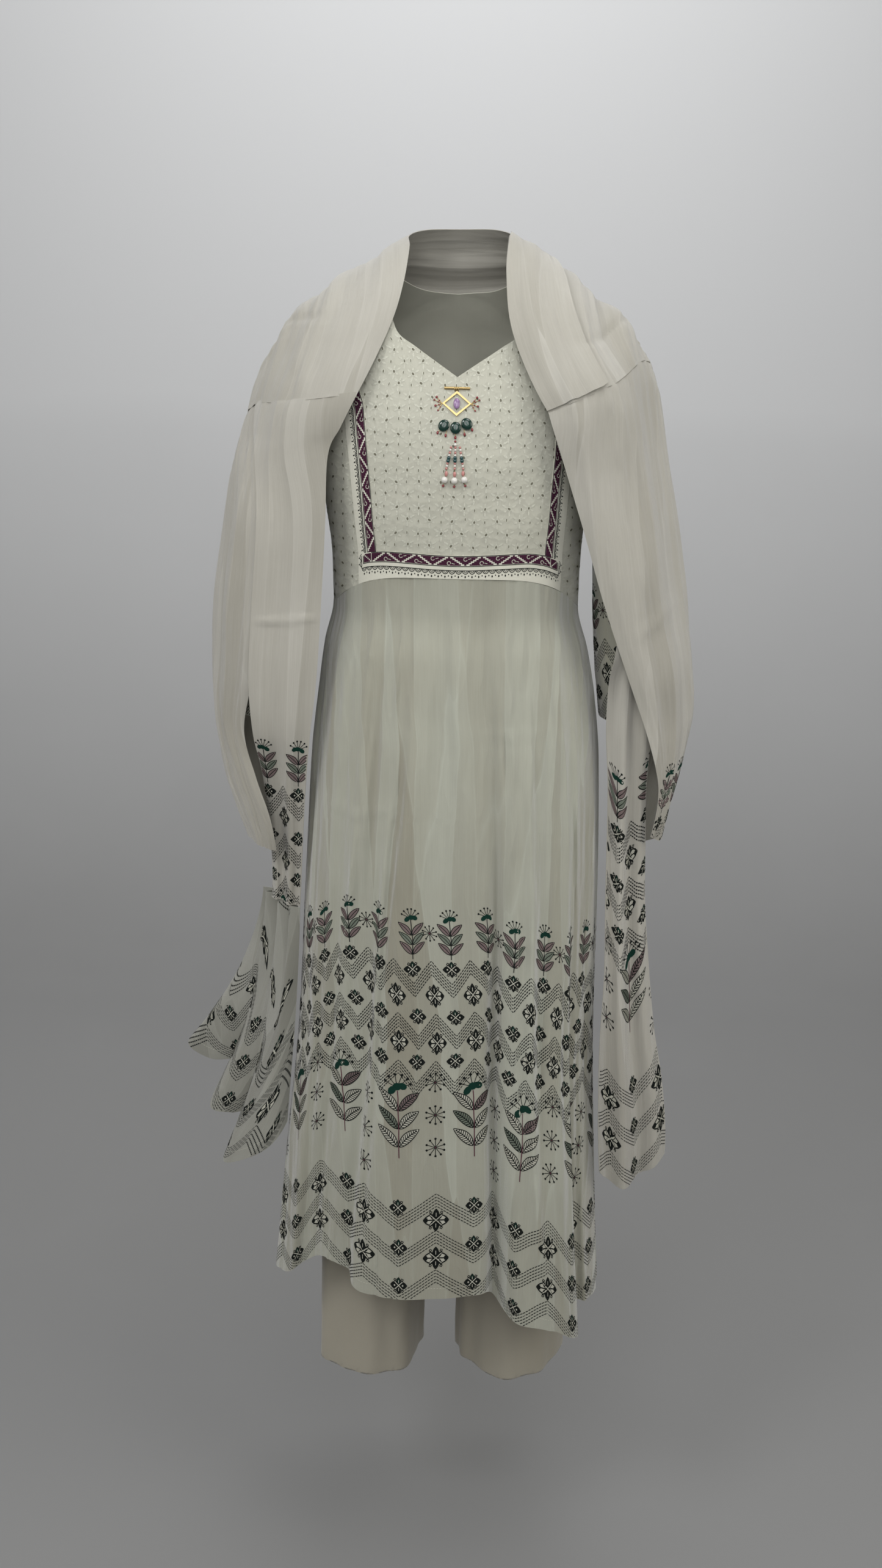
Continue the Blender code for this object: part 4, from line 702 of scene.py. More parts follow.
def border_height(x):
    """Height of the border's foot strip, which widens towards its corners."""
    return BORDER_FOOT_HEIGHT + BORDER_FOOT_RISE * np.clip(np.abs(x) / BORDER_FOOT_X, 0, 1) ** 2


def armhole(facing):
    """Width and drop of the armhole's points, from the underarm up to the shoulder tip."""
    up = np.linspace(0, 1, ARMHOLE_STEPS + 1)
    underarm_x = TORSO[5].half_width
    x = underarm_x + (SHOULDER_TIP_X - underarm_x) * up - ARMHOLE_DIP[facing] * np.sin(np.pi * up)
    drop = UNDERARM_DROP + (SHOULDER_TIP_DROP - UNDERARM_DROP) * up
    return np.column_stack([x, drop])


def bodice_edges(facing, side):
    """The inner and outer end of each row above the border strip, up to the shoulder seam."""
    neck = table(NECKLINE[facing], "x", "drop")
    centre_rows = BODICE_ROWS - BORDER_ROWS - len(neck) + 1
    centre = np.linspace(EMPIRE_DROP - BORDER_FOOT_HEIGHT, neck[0, 1], centre_rows + 1)
    inner = [(0, drop) for drop in centre[1:-1]] + list(neck)
    seam_drop = EMPIRE_DROP + EMPIRE_SIDE_FALL - border_height(BORDER_FOOT_X)
    outer = []
    for drop in np.linspace(seam_drop, UNDERARM_DROP, SIDE_SEAM_ROWS + 1)[1:]:
        centre_x, half_width = torso(drop)[:2]
        outer.append((half_width + side * centre_x, drop))
    outer += list(armhole(facing)[1:])
    return np.array(inner), np.array(outer)


def bodice_widths(x_in, x_out, rise, side):
    """Distances from the centre line: over the yoke, over the border, then on to the side."""
    border_x = BORDER_FOOT_X + (BORDER_HEAD_X - BORDER_FOOT_X) * rise
    border_x += side * BORDER_SHIFT * (1 - rise)
    over_x = border_x + BORDER_WIDTH
    turn = np.sin(np.linspace(0, math.pi / 2, SIDE_CELLS + 1)[1:])
    widths = [
        np.linspace(x_in, border_x, CENTRE_CELLS + 1),
        np.linspace(border_x, over_x, BORDER_CELLS + 1)[1:],
        over_x + (x_out - over_x) * turn,
    ]
    return np.concatenate(widths)


def bodice_half(facing, side):
    """Rows of points for half a bodice panel, from the empire seam upwards."""
    rows = []
    seam = TORSO[8]
    for share in np.linspace(0, 1, BORDER_ROWS + 1):
        widths = bodice_widths(0, seam.half_width + side * seam.centre_x, 0, side)
        drops = empire_drop(side * widths) - share * border_height(widths)
        rows.append((widths, drops))
    inner, outer = bodice_edges(facing, side)
    for row, ((x_in, drop_in), (x_out, drop_out)) in enumerate(zip(inner, outer), start=1):
        rise = row / len(inner)
        widths = bodice_widths(x_in, x_out, rise, side)
        bow = 1 + (EMPIRE_POWER - 1) * (1 - rise) ** 1.5
        drops = drop_in + (drop_out - drop_in) * ((widths - x_in) / (x_out - x_in)) ** bow
        rows.append((widths, drops))
    points = []
    for widths, drops in rows:
        depths = torso_y(side * widths, drops, facing)
        depths = facing * np.maximum(np.abs(depths), SEAM_GAP / 2)
        points.append(np.column_stack([side * widths, depths, -drops]))
    return points


def rounded(wave, power):
    """A sine or cosine bent so that the section is as square as its power says."""
    return np.sign(wave) * np.abs(wave) ** (2 / power)


def turned(angles, place):
    """How many degrees angles lie from a place, the shorter way round."""
    return np.abs((angles - place + 180) % 360 - 180)


def lobe_shape(angle):
    """How far the hanging folds stand out round the hem."""
    total = np.zeros_like(angle)
    for lobe in LOBES:
        away = turned(angle, lobe.angle) / lobe.half_angle
        total += lobe.depth * 0.5 * (1 - np.tanh(LOBE_EDGE * (away - 1)))
    return total


def skirt_row(angles, share):
    """One row of skirt points: the ring at each drop, moved out by folds, ripples and gathers."""
    hem = through(table(HEM, "angle")[:, 0], table(HEM, "drop"), (angles + 90) % 360 - 90)[:, 0]
    sine, cosine = np.sin(np.radians(angles)), np.cos(np.radians(angles))
    seam = TORSO[8]
    seam_x = seam.centre_x + seam.half_width * rounded(sine, seam.power)
    top = empire_drop(seam_x) + SEAM_GAP
    drops = top + share * (hem - top)
    centre, half_width, front, back, power = torso(drops)
    reach = np.where(cosine > 0, front, back)
    x = centre + half_width * rounded(sine, power)
    y = -reach * rounded(cosine, power)
    out = np.column_stack([(x - centre) / half_width**2, y / reach**2])
    out = unit(out)
    out[:, 0] *= LOBE_SIDEWAYS
    fall = np.clip((drops - LOBE_TOP_DROP) / (hem - LOBE_TOP_DROP), 0, 1)
    offset = lobe_shape(angles) * fall**LOBE_FALL_POWER + gather_wave(angles, drops - top)
    offset += ripple_wave(angles, drops - top) + fold_wave(angles, drops)
    spans = ((-90, 270), CRUMPLE_TOPS)
    crumples = crumpled(angles, drops, spans, SKIRT_CRUMPLE, SEEDS["skirt creases"], 360)
    offset += crumples * np.clip((drops - top) / CRUMPLE_FADE_IN, 0, 1)
    offset *= np.clip(np.abs(cosine) * SIDE_SEAM_CALM, 0, 1)
    return np.column_stack([x + out[:, 0] * offset, y + out[:, 1] * offset, -drops])


def armhole_ring(side):
    """The armhole all round as a sleeve meets it: tip, front, underarm, back. Two points a step."""
    sides = []
    for facing in (FRONT, BACK):
        x, drop = armhole(facing).T
        y = torso_y(x, drop, facing)
        sides.append(np.column_stack([x, y, -drop]))
    loop = np.vstack([sides[0][::-1], sides[1][1:-1]])
    ring = []
    for here, after in zip(loop, np.roll(loop, -1, axis=0)):
        ring += [here, (here + after) / 2]
    ring = np.array(ring)
    low = (1 - np.cos(np.arange(len(ring)) / len(ring) * 2 * np.pi)) / 2
    ring[:, 0] += ARMHOLE_SEAM + UNDERARM_EASE * low
    ring[:, 0] *= side
    return ring


def section_curve(section, side, shares):
    """Points along a scarf section: from its edge, over the side, to its hem behind."""
    edge = np.array([side * section.edge_x, section.edge_y, -section.edge_drop])
    out = np.array([side * section.side_x, section.side_y, -section.side_drop])
    hem = np.array([side * section.hem_x, section.hem_y, -section.hem_drop])
    front = edge + (out - edge) * FRONT_LIFT_AT + np.array([0, section.lift_y, section.lift_z])
    bulge = SIDE_BULGE if section.side_x else NECK_BULGE
    away = np.array([side * bulge.out, bulge.back, 0.0])
    behind = (out + hem) / 2 + away
    stations = np.array([0, 0.28, 0.56, 0.78, 1])
    return round_curve(stations, np.array([edge, front, out, behind, hem]), shares)


def round_curve(stations, points, at):
    """A round curve through points, as smooth as a bent strip (Catmull-Rom with even speed)."""
    tangents = np.zeros_like(points)
    tangents[1:-1] = (points[2:] - points[:-2]) / (stations[2:] - stations[:-2])[:, None]
    tangents[0] = 2 * (points[1] - points[0]) / (stations[1] - stations[0]) - tangents[1]
    tangents[-1] = 2 * (points[-1] - points[-2]) / (stations[-1] - stations[-2]) - tangents[-2]
    at = np.asarray(at, float)
    first = np.clip(np.searchsorted(stations, at, side="right") - 1, 0, len(stations) - 2)
    length = (stations[first + 1] - stations[first])[:, None]
    t = ((at - stations[first]) / length[:, 0])[:, None]
    ease = t * t * (3 - 2 * t)
    straight = points[first] * (1 - ease) + points[first + 1] * ease
    turn = (tangents[first] * (1 - t) - tangents[first + 1] * t) * length * t * (1 - t)
    return straight + turn


def scarf_grid(sections, sides, columns, between):
    """Rows of points for a stretch of scarf, with rows between its sections, and each fold height."""
    shares = np.linspace(0, 1, columns + 1)
    curves = np.array([section_curve(*pair, shares) for pair in zip(sections, sides)])
    stations = np.arange(len(sections), dtype=float)
    at = np.linspace(0, len(sections) - 1, (len(sections) - 1) * between + 1)
    rows = np.stack([round_curve(stations, curves[:, i], at) for i in range(columns + 1)], axis=1)
    folds = through(stations, [section.fold for section in sections], at)[:, 0]
    return rows, folds


def hung_from(rows, top, fade_length):
    """Rows of a hanging piece, pulled over at the top so that the first one is the given row."""
    fallen = np.abs(rows[:, :, 2] - rows[0, :, 2])
    fade = np.clip(1 - fallen / fade_length, 0, 1)
    fade = fade * fade * (3 - 2 * fade)
    return rows + fade[:, :, None] * (top - rows[0])


def panel_grid(table_rows, side, columns, folds, end_dip=0.0):
    """A hanging panel: straight rows bowed forward, with folds that run down it."""
    share = np.linspace(0, 1, columns + 1)
    rows = []
    for number, row in enumerate(table_rows):
        x = row.inner_x + (row.outer_x - row.inner_x) * share
        y = row.inner_y + (row.outer_y - row.inner_y) * share
        y -= row.bow * np.sin(np.pi * share)
        y += row.fold * np.sin(2 * np.pi * folds * share) * np.sin(np.pi * share) ** 0.4
        dip = end_dip * (number / (len(table_rows) - 1)) ** 4
        drop = row.drop + dip * np.sin(np.pi * share**0.8)
        rows.append(np.column_stack([side * x, y, -drop]))
    return np.array(rows)


def finer(grid, row_steps, column_steps, closed=False):
    """A grid of points resampled along smooth curves, with more rows and columns between its own."""
    rows, columns = grid.shape[:2]
    if closed:
        grid = np.concatenate([grid[:, -2:], grid, grid[:, :3]], axis=1)
    at = np.linspace(0, rows - 1, (rows - 1) * row_steps + 1)
    grid = round_curve(np.arange(rows, dtype=float), grid.reshape(rows, -1), at)
    grid = grid.reshape(len(at), -1, 3).transpose(1, 0, 2)
    stations = np.arange(len(grid), dtype=float)
    if closed:
        across = np.linspace(2, 2 + columns, columns * column_steps, endpoint=False)
    else:
        across = np.linspace(0, columns - 1, (columns - 1) * column_steps + 1)
    grid = round_curve(stations, grid.reshape(len(stations), -1), across)
    return grid.reshape(len(across), len(at), 3).transpose(1, 0, 2)


def grid_normals(grid, flip=False, closed=False):
    """The outward direction at each point of a grid. With rows going up and columns to +X, -Y."""
    wide = np.concatenate([grid[:, -1:], grid, grid[:, :1]], axis=1) if closed else grid
    across = np.gradient(wide, axis=1)
    along = np.gradient(wide, axis=0)
    normals = np.cross(across, along)
    normals = unit(normals[:, 1:-1] if closed else normals)
    return -normals if flip else normals


def grid_quads(rows, columns, closed=False, flip=False):
    """Corner numbers of a grid's cells, and each corner's row and column without wrapping."""
    last = columns if closed else columns - 1
    r, c = (a.ravel() for a in np.mgrid[0 : rows - 1, 0:last])
    corners = np.stack([[r, c], [r, c + 1], [r + 1, c + 1], [r + 1, c]])
    if flip:
        corners = corners[::-1]
    quads = (corners[:, 0] * columns + corners[:, 1] % columns).T
    return quads, corners.transpose(2, 0, 1)


def lengths(grid):
    """Distances along each row and up each column, as the flat cloth would measure."""
    u = np.linalg.norm(np.diff(grid, axis=1), axis=2)
    v = np.linalg.norm(np.diff(grid, axis=0), axis=2)
    u = np.pad(np.cumsum(u, axis=1), ((0, 0), (1, 0)))
    v = np.pad(np.cumsum(v, axis=0), ((1, 0), (0, 0)))
    return u - u[:, -1:] / 2, v


def mesh_of(name, points, faces, uvs=None, face_materials=None):
    """A mesh from arrays. Every face has the same number of corners."""
    faces = np.asarray(faces)
    mesh = bpy.data.meshes.new(name)
    mesh.vertices.add(len(points))
    mesh.vertices.foreach_set("co", np.asarray(points, np.float32).ravel())
    mesh.loops.add(faces.size)
    mesh.loops.foreach_set("vertex_index", faces.ravel().astype(np.int32))
    mesh.polygons.add(len(faces))
    mesh.polygons.foreach_set("loop_start", np.arange(0, faces.size, faces.shape[1]))
    if face_materials is not None:
        mesh.polygons.foreach_set("material_index", np.asarray(face_materials, np.int32))
    mesh.update(calc_edges=True)
    if uvs is not None:
        layer = mesh.uv_layers.new(name="cloth")
        layer.data.foreach_set("uv", np.asarray(uvs, np.float32).ravel())
    mesh.validate()
    mesh.shade_smooth()
    return mesh


def put(name, mesh, materials, replaces=()):
    """A piece of the set that rides on its one body."""
    for material in materials:
        mesh.materials.append(material)
    piece = bpy.data.objects.new(name, mesh)
    bpy.context.scene.collection.objects.link(piece)
    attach(piece, "root")
    if replaces:
        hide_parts(*replaces)
    return piece


def shell(name, points, normals, quads, uvs, material, replaces=(), thickness=THIN):
    """A thin closed sheet: both faces and the rim between them."""
    points, normals = points.reshape(-1, 3), normals.reshape(-1, 3)
    count = len(points)
    corners = np.vstack([points + normals * thickness / 2, points - normals * thickness / 2])
    starts = quads.ravel()
    ends = np.roll(quads, -1, axis=1).ravel()
    rim = ~np.isin(starts * count + ends, ends * count + starts)
    a, b = starts[rim], ends[rim]
    faces = np.vstack([quads, quads[:, ::-1] + count, np.column_stack([b, a, a + count, b + count])])
    edge_uv = uvs.reshape(-1, 2)[rim]
    uvs = np.concatenate([uvs, uvs[:, ::-1], np.repeat(edge_uv[:, None], 4, axis=1)])
    mesh = mesh_of(name, corners, faces, uvs)
    mesh.set_sharp_from_angle(angle=SHARP_ANGLE)
    return put(name, mesh, [material], replaces)


def cloth(name, grid, material, replaces, closed=False, flip=False, normals=None):
    """A thin sheet on a grid of points."""
    rows, columns = grid.shape[:2]
    quads, places = grid_quads(rows, columns, closed, flip)
    u, v = lengths(grid)
    if closed:
        step = np.linalg.norm(grid[:, 0] - grid[:, -1], axis=1)[:, None]
        u = np.concatenate([u, u[:, -1:] + step], axis=1)
    row, column = places[..., 0], places[..., 1]
    uvs = np.stack([u[row, column], v[row, column % columns]], -1)
    if normals is None:
        normals = grid_normals(grid, flip, closed)
    return shell(name, grid, normals, quads, uvs, material, replaces)


def wander(points, swell, seed):
    """A soft uneven swell over the cloth, the same each time, drawn out along an axis."""
    rng = np.random.default_rng(seed)
    total = np.zeros(points.shape[:-1])
    for _ in range(SWELL_WAVES):
        way = rng.normal(size=3)
        way = way / np.linalg.norm(way) / np.array(swell.stretch) * 2 * math.pi / swell.size
        total += np.sin(points @ way + rng.uniform(0, 2 * math.pi))
    return swell.height * total / 4


def swollen(grid, swell, seed, flip=False, closed=False):
    """A grid moved out and in by a soft uneven swell."""
    return grid + grid_normals(grid, flip, closed) * wander(grid, swell, seed)[..., None]


def crease_lift(points, creases):
    """How far creases push the cloth out: each is soft across and fades towards its ends."""
    place = points[..., [0, 2]]
    total = np.zeros(points.shape[:-1])
    for crease in creases:
        line = np.array(crease.line)
        steps = np.diff(line, axis=0)
        sizes = np.linalg.norm(steps, axis=1)
        reached = np.concatenate([[0], np.cumsum(sizes)])
        nearest = np.full(total.shape, 1e9)
        along = np.zeros_like(total)
        for start, step, size, done in zip(line[:-1], steps, sizes, reached):
            t = np.clip(((place - start) @ step) / size**2, 0, 1)
            away = np.linalg.norm(place - start - t[..., None] * step, axis=-1)
            closer = away < nearest
            nearest = np.where(closer, away, nearest)
            along = np.where(closer, done + t * size, along)
        share = along / reached[-1]
        fade = np.clip(np.minimum(share, 1 - share) / 0.2, 0, 1)
        total += crease.height * np.exp(-((nearest / crease.width) ** 2)) * (0.25 + 0.75 * fade)
    return total


def creased(grid, creases, flip=False, closed=False):
    """A grid with creases laid on what faces the front."""
    normals = grid_normals(grid, flip, closed)
    facing = np.clip(-normals[..., 1] * 3, 0, 1)
    return grid + normals * (crease_lift(grid, creases) * facing)[..., None]


def evenly(path, step=PIECE):
    """A path with points added so that no two are further apart than a step."""
    path = np.asarray(path, float)
    parts = []
    for start, end in zip(path[:-1], path[1:]):
        count = max(1, math.ceil(np.linalg.norm(end - start) / step))
        parts.append(start + (end - start) * np.linspace(0, 1, count, endpoint=False)[:, None])
    return np.vstack(parts + [path[-1:]])


def arc(x, y, radius, start, end, count=9, squash=1.0):
    """Points on part of a circle, by angle in degrees from +x."""
    turn = np.radians(np.linspace(start, end, count))
    return np.column_stack([x + radius * np.cos(turn), y + squash * radius * np.sin(turn)])


def heading(turn):
    """The flat direction at an angle in degrees, clockwise from up."""
    return np.array([math.sin(math.radians(turn)), math.cos(math.radians(turn))])


def rotation(turn):
    """The matrix that turns rows of flat points by an angle in degrees."""
    c, s = math.cos(math.radians(turn)), math.sin(math.radians(turn))
    return np.array([[c, s], [-s, c]])


def beside(ways, width):
    """Half a width to the left of flat directions."""
    ways = unit(ways)
    return np.column_stack([-ways[:, 1], ways[:, 0]]) * width / 2


def split(a, b, c, d):
    """Two triangles for each four-cornered cell."""
    return np.vstack([np.column_stack([a, b, c]), np.column_stack([a, c, d])])


class Motif:
    """A flat shape of inked triangles. A higher layer lies on top of a lower one."""

    def __init__(self):
        """An empty shape."""
        self.points = np.zeros((0, 3))
        self.faces = np.zeros((0, 3), int)
        self.inks = np.zeros(0, int)

    def add(self, points, faces, ink, layer):
        """More triangles, all in one ink and on one layer."""
        points = np.column_stack([points, np.full(len(points), layer)])
        self.faces = np.vstack([self.faces, np.asarray(faces) + len(self.points)])
        self.points = np.vstack([self.points, points])
        self.inks = np.concatenate([self.inks, np.full(len(faces), INKS.index(ink))])

    def band(self, one, other, ink, layer=1):
        """The strip between two paths of as many points."""
        count = len(one)
        a = np.arange(count - 1)
        self.add(np.vstack([one, other]), split(a, a + 1, a + 1 + count, a + count), ink, layer)

    def stroke(self, path, width, ink, layer=1):
        """A line of a width along a path."""
        path = evenly(path)
        aside = beside(np.gradient(path, axis=0), width)
        self.band(path - aside, path + aside, ink, layer)

    def dashes(self, path, width, ink, dash=3.0, gap=1.0, layer=1):
        """A line of dashes along a path."""
        path = np.asarray(path, float)
        reached = np.concatenate([[0], np.cumsum(np.linalg.norm(np.diff(path, axis=0), axis=1))])
        starts = np.arange(0, reached[-1] - dash, dash + gap)
        ends = [np.column_stack([np.interp(at, reached, path[:, i]) for i in (0, 1)])
                for at in (starts, starts + dash)]
        aside = beside(ends[1] - ends[0], width)
        corners = np.stack([ends[0] - aside, ends[1] - aside, ends[1] + aside, ends[0] + aside], 1)
        first = 4 * np.arange(len(starts))
        faces = split(first, first + 1, first + 2, first + 3)
        self.add(corners.reshape(-1, 2), faces, ink, layer)

    def blob(self, x, y, wide, tall, ink, turn=0.0, layer=1, sides=10):
        """A filled oval."""
        rim = arc(0, 0, 1, 0, 360, sides + 1)[:-1] * (wide, tall)
        rim = rim @ rotation(turn) + (x, y)
        a = np.arange(sides)
        faces = np.column_stack([np.full(sides, sides), a, (a + 1) % sides])
        self.add(np.vstack([rim, [(x, y)]]), faces, ink, layer)

    def leaf(self, base, tip, width, ink, edge="ink_dark", bend=0.0, veins=0, line=0.9):
        """A pointed leaf with an outline, and veins where it is large."""
        base, tip = np.array(base, float), np.array(tip, float)
        along = tip - base
        size = np.linalg.norm(along)
        aside = np.array([-along[1], along[0]]) / size
        count = max(5, math.ceil(size / PIECE) + 1)
        t = np.linspace(0, 1, count)[:, None]
        spine = base + along * t + aside * bend * np.sin(math.pi * t)
        half = width / 2 * np.sin(math.pi * t**0.85) ** 0.8
        edges = [spine + aside * half * share for share in (-1, -0.5, 0, 0.5, 1)]
        for one, other in zip(edges[:-1], edges[1:]):
            self.band(one, other, ink, 1)
        for rim in (edges[0], edges[-1]):
            self.stroke(rim, line, edge, 2)
        self.stroke(spine[: count - 1], line, edge, 2)
        for vein in range(veins):
            at = (vein + 1) / (veins + 1.5)
            start = base + along * at + aside * bend * math.sin(math.pi * at)
            reach = width / 2 * math.sin(math.pi * (at + 0.08) ** 0.85) ** 0.8 * 0.85
            for side in (-1, 1):
                end = start + along / size * reach * 0.7 + aside * side * reach
                self.stroke([start, end], line * 0.95, edge, 3)

    def stamp(self, other, places, size=1.0):
        """Copies of another shape at places in metres."""
        places = np.asarray(places, float).reshape(-1, 2)
        count = len(other.points)
        if not len(places) or not count:
            return
        flat = other.points[:, :2] * size / 1000
        points = (places[:, None] + flat[None]).reshape(-1, 2)
        faces = (other.faces[None] + count * np.arange(len(places))[:, None, None]).reshape(-1, 3)
        self.faces = np.vstack([self.faces, faces + len(self.points)])
        layers = np.tile(other.points[:, 2], len(places))
        self.points = np.vstack([self.points, np.column_stack([points, layers])])
        self.inks = np.concatenate([self.inks, np.tile(other.inks, len(places))])


def pins(m, turns, inner, outer, width, dot):
    """Thin pins with dots at their ends, fanned out over a flower."""
    for turn in turns:
        way = heading(turn)
        m.stroke([way * inner, way * outer], width, "ink_dark")
        m.blob(*(way * (outer + dot * 0.6)), dot, dot, "ink_dark", sides=6)


def small_flower():
    """A low lobed flower with pins, over a stem with three pairs of rising leaves."""
    m = Motif()
    pins(m, (-66, -42, -16, 8, 32, 58), 3, 9.5, 0.6, 1.15)
    for x, y, wide, tall, turn in SMALL_PETALS:
        m.blob(x, y, wide, tall, "green", turn, layer=2)
    m.stroke([(0, -2), (0.4, -22), (0, -45)], 0.9, "grey", 2)
    for y, ink in ((-18.5, "mauve"), (-29, "sage"), (-39.5, "mauve")):
        for side in (-1, 1):
            m.leaf((side * 0.5, y), (side * 13.6, y + 13.5), 6.4, ink, bend=side * 0.9, line=0.8)
    return m


def big_flower():
    """A taller plant with a dark lobed flower, pins, and three pairs of long hatched leaves."""
    m = Motif()
    pins(m, (-72, -44, -14, 16, 46, 74), 4, 14, 0.8, 1.7)
    for x, y, wide, tall, turn in BIG_PETALS:
        m.blob(x, y, wide, tall, "green", turn, layer=2)
    m.stroke([(0, -4), (1.2, -42), (1.6, -82)], 1.1, "maroon", 2)
    for y, inks in ((-27, ("light", "mauve")), (-48, ("sage", "light")), (-69, ("light", "light"))):
        for side, ink in zip((-1, 1), inks):
            base, tip = (side * 0.8 + 1, y), (side * 23 + 1, y + 22)
            m.leaf(base, tip, 10.5, ink, bend=side * 1.5, veins=9, line=1.0)
    return m


def starburst(radius):
    """Ten thin rays from one point, each with a dark dot at its end."""
    m = Motif()
    pins(m, np.arange(10) * 36, 0.3, radius * 0.86, 0.75, radius * 0.125)
    m.blob(0, 0, 0.9, 0.9, "maroon", layer=2, sides=6)
    return m


def medallion(wide, tall, petals=True):
    """Faceted petals to both sides, dark ones up and down, and small squares between them."""
    m = Motif()
    for side in (-1, 1):
        reach = side * wide / 2
        if petals:
            m.leaf((0, 0), (reach * 0.98, 0), tall * 0.46, "light", line=1.5)
            m.blob(reach * 0.78, 0, wide * 0.085, tall * 0.12, "ink_dark", layer=3, sides=6)
        else:
            m.leaf((0, 0), (reach, 0), tall * 0.46, "ink_dark", line=0.8)
            m.blob(reach * 0.48, 0, wide * 0.05, tall * 0.06, "light", layer=4, sides=6)
        ink = "ink_dark" if petals or side < 0 else "green"
        base, tip = (0, side * tall * 0.06), (0, side * tall * 0.52)
        m.leaf(base, tip, wide * 0.23, ink, line=0.9)
        m.stroke([(0, side * tall * 0.16), (0, side * tall * 0.34)], 0.7, "light", 3)
        for up in (-1, 1):
            m.stroke([(0, 0), (reach * 0.46, up * tall * 0.24)], 0.9, "light", 3)
            m.leaf((0, 0), (reach * 0.50, up * tall * 0.30), wide * 0.15, "ink_dark", line=0.7)
            square = (reach * 0.42, up * tall * 0.36)
            m.blob(*square, 2.0, 2.0, "ink_dark", turn=20, sides=4)
            m.blob(*square, 0.7, 0.7, "light", turn=20, layer=2, sides=4)
    return m


def chevrons(start, end, first_peak, period, height, top):
    """A band of dashed zigzag lines across the cloth, in metres, with its peaks at a height."""
    m = Motif()
    halves = np.arange(math.floor((start - first_peak) / period * 2) - 1,
                       math.ceil((end - first_peak) / period * 2) + 2)
    x = first_peak + halves * period / 2
    y = top - np.where(halves % 2 == 0, 0, height)
    inside = (x > start - period) & (x < end + period)
    for line in range(CHEVRON_LINES):
        path = np.column_stack([x, y - line * CHEVRON_SPACING])[inside] * 1000
        m.dashes(path, CHEVRON_LINE, "grey")
    return m


def find(across, up, u, v, rounds=3):
    """The fractional row and column of a grid at which its flat coordinates are u and v."""
    rows, columns = across.shape

    def locate(lines, values):
        """The fractional place of each value on its line, which only rises."""
        last = lines.shape[1] - 2
        first = np.clip((lines <= values[:, None]).sum(axis=1) - 1, 0, last)
        pick = np.arange(len(values))
        low, high = lines[pick, first], lines[pick, first + 1]
        return first + (values - low) / np.maximum(high - low, 1e-9)

    def lines_at(table_of, place, count):
        """The line of numbers at each fractional place."""
        first = np.clip(np.floor(place), 0, count - 2).astype(int)
        share = np.clip(place - first, 0, 1)[:, None]
        return table_of[first] * (1 - share) + table_of[first + 1] * share

    row = np.interp(v, up.mean(axis=1), np.arange(rows))
    column = np.zeros_like(row)
    for _ in range(rounds):
        column = locate(lines_at(across, row, rows), u)
        row = locate(lines_at(up.T, column, columns), v)
    return row, column


def laid(name, motif, grid, normals, across, up, inks, gap_column=None):
    """A motif laid on a cloth grid as one thin joined piece. What falls off the cloth is cut away."""
    rows, columns = grid.shape[:2]
    u, v, layer = motif.points.T
    row, column = np.zeros(len(u)), np.zeros(len(u))
    for start in range(0, len(u), POINTS_AT_ONCE):
        part = slice(start, start + POINTS_AT_ONCE)
        row[part], column[part] = find(across, up, u[part], v[part])
    on = (row >= 0) & (row <= rows - 1) & (column >= 0) & (column <= columns - 1)
    r = np.clip(np.floor(row), 0, rows - 2).astype(int)
    c = np.clip(np.floor(column), 0, columns - 2).astype(int)
    if gap_column is not None:
        on &= c != gap_column
    s, t = np.clip(row - r, 0, 1)[:, None], np.clip(column - c, 0, 1)[:, None]

    def blend(values):
        """Values of the grid's corners, shared out over each point."""
        low = values[r, c] * (1 - t) + values[r, c + 1] * t
        high = values[r + 1, c] * (1 - t) + values[r + 1, c + 1] * t
        return low * (1 - s) + high * s

    out = unit(blend(normals))
    points = blend(grid) + out * (THIN / 2 + LIFT_PRINT + LIFT_LAYER * layer)[:, None]
    keep = on[motif.faces].all(axis=1)
    faces, face_inks = motif.faces[keep], motif.inks[keep]
    corners = points[faces]
    facing = np.cross(corners[:, 1] - corners[:, 0], corners[:, 2] - corners[:, 0])
    turned = (facing * out[faces[:, 0]]).sum(axis=1) < 0
    faces[turned] = faces[turned][:, ::-1]
    sizes = np.linalg.norm(corners - np.roll(corners, 1, axis=1), axis=2).max(axis=1)
    sound = sizes < LONGEST_INK_EDGE
    faces, face_inks = faces[sound], face_inks[sound]
    used, numbers = np.unique(faces, return_inverse=True)
    inks_used, ink_numbers = np.unique(face_inks, return_inverse=True)
    mesh = mesh_of(name, points[used], numbers.reshape(-1, 3), face_materials=ink_numbers.ravel())
    return put(name, mesh, [inks[number] for number in inks_used])


def crumpled(across, down, spans, plan, seed, turn=None):
    """Sharp-crested creases that run down cloth, each with its own place, lean and height."""
    rng = np.random.default_rng(seed)
    total = np.zeros(np.broadcast(across, down).shape)
    (left, right), (top, foot) = spans
    for _ in range(plan.count):
        place, start = rng.uniform(left, right), rng.uniform(top, foot)
        long = plan.length * rng.uniform(0.35, 1.4)
        wide = plan.width * rng.uniform(0.5, 1.6)
        high = plan.height * rng.choice([-1, 1]) * rng.uniform(0.3, 1.2)
        away = across - place - plan.lean * rng.normal() * (down - start)
        if turn:
            away = (away + turn / 2) % turn - turn / 2
        fade = np.sin(np.pi * np.clip((down - start) / long, 0, 1)) ** 0.8
        total += high * np.exp(-np.abs(away) / wide) * fade
    return total


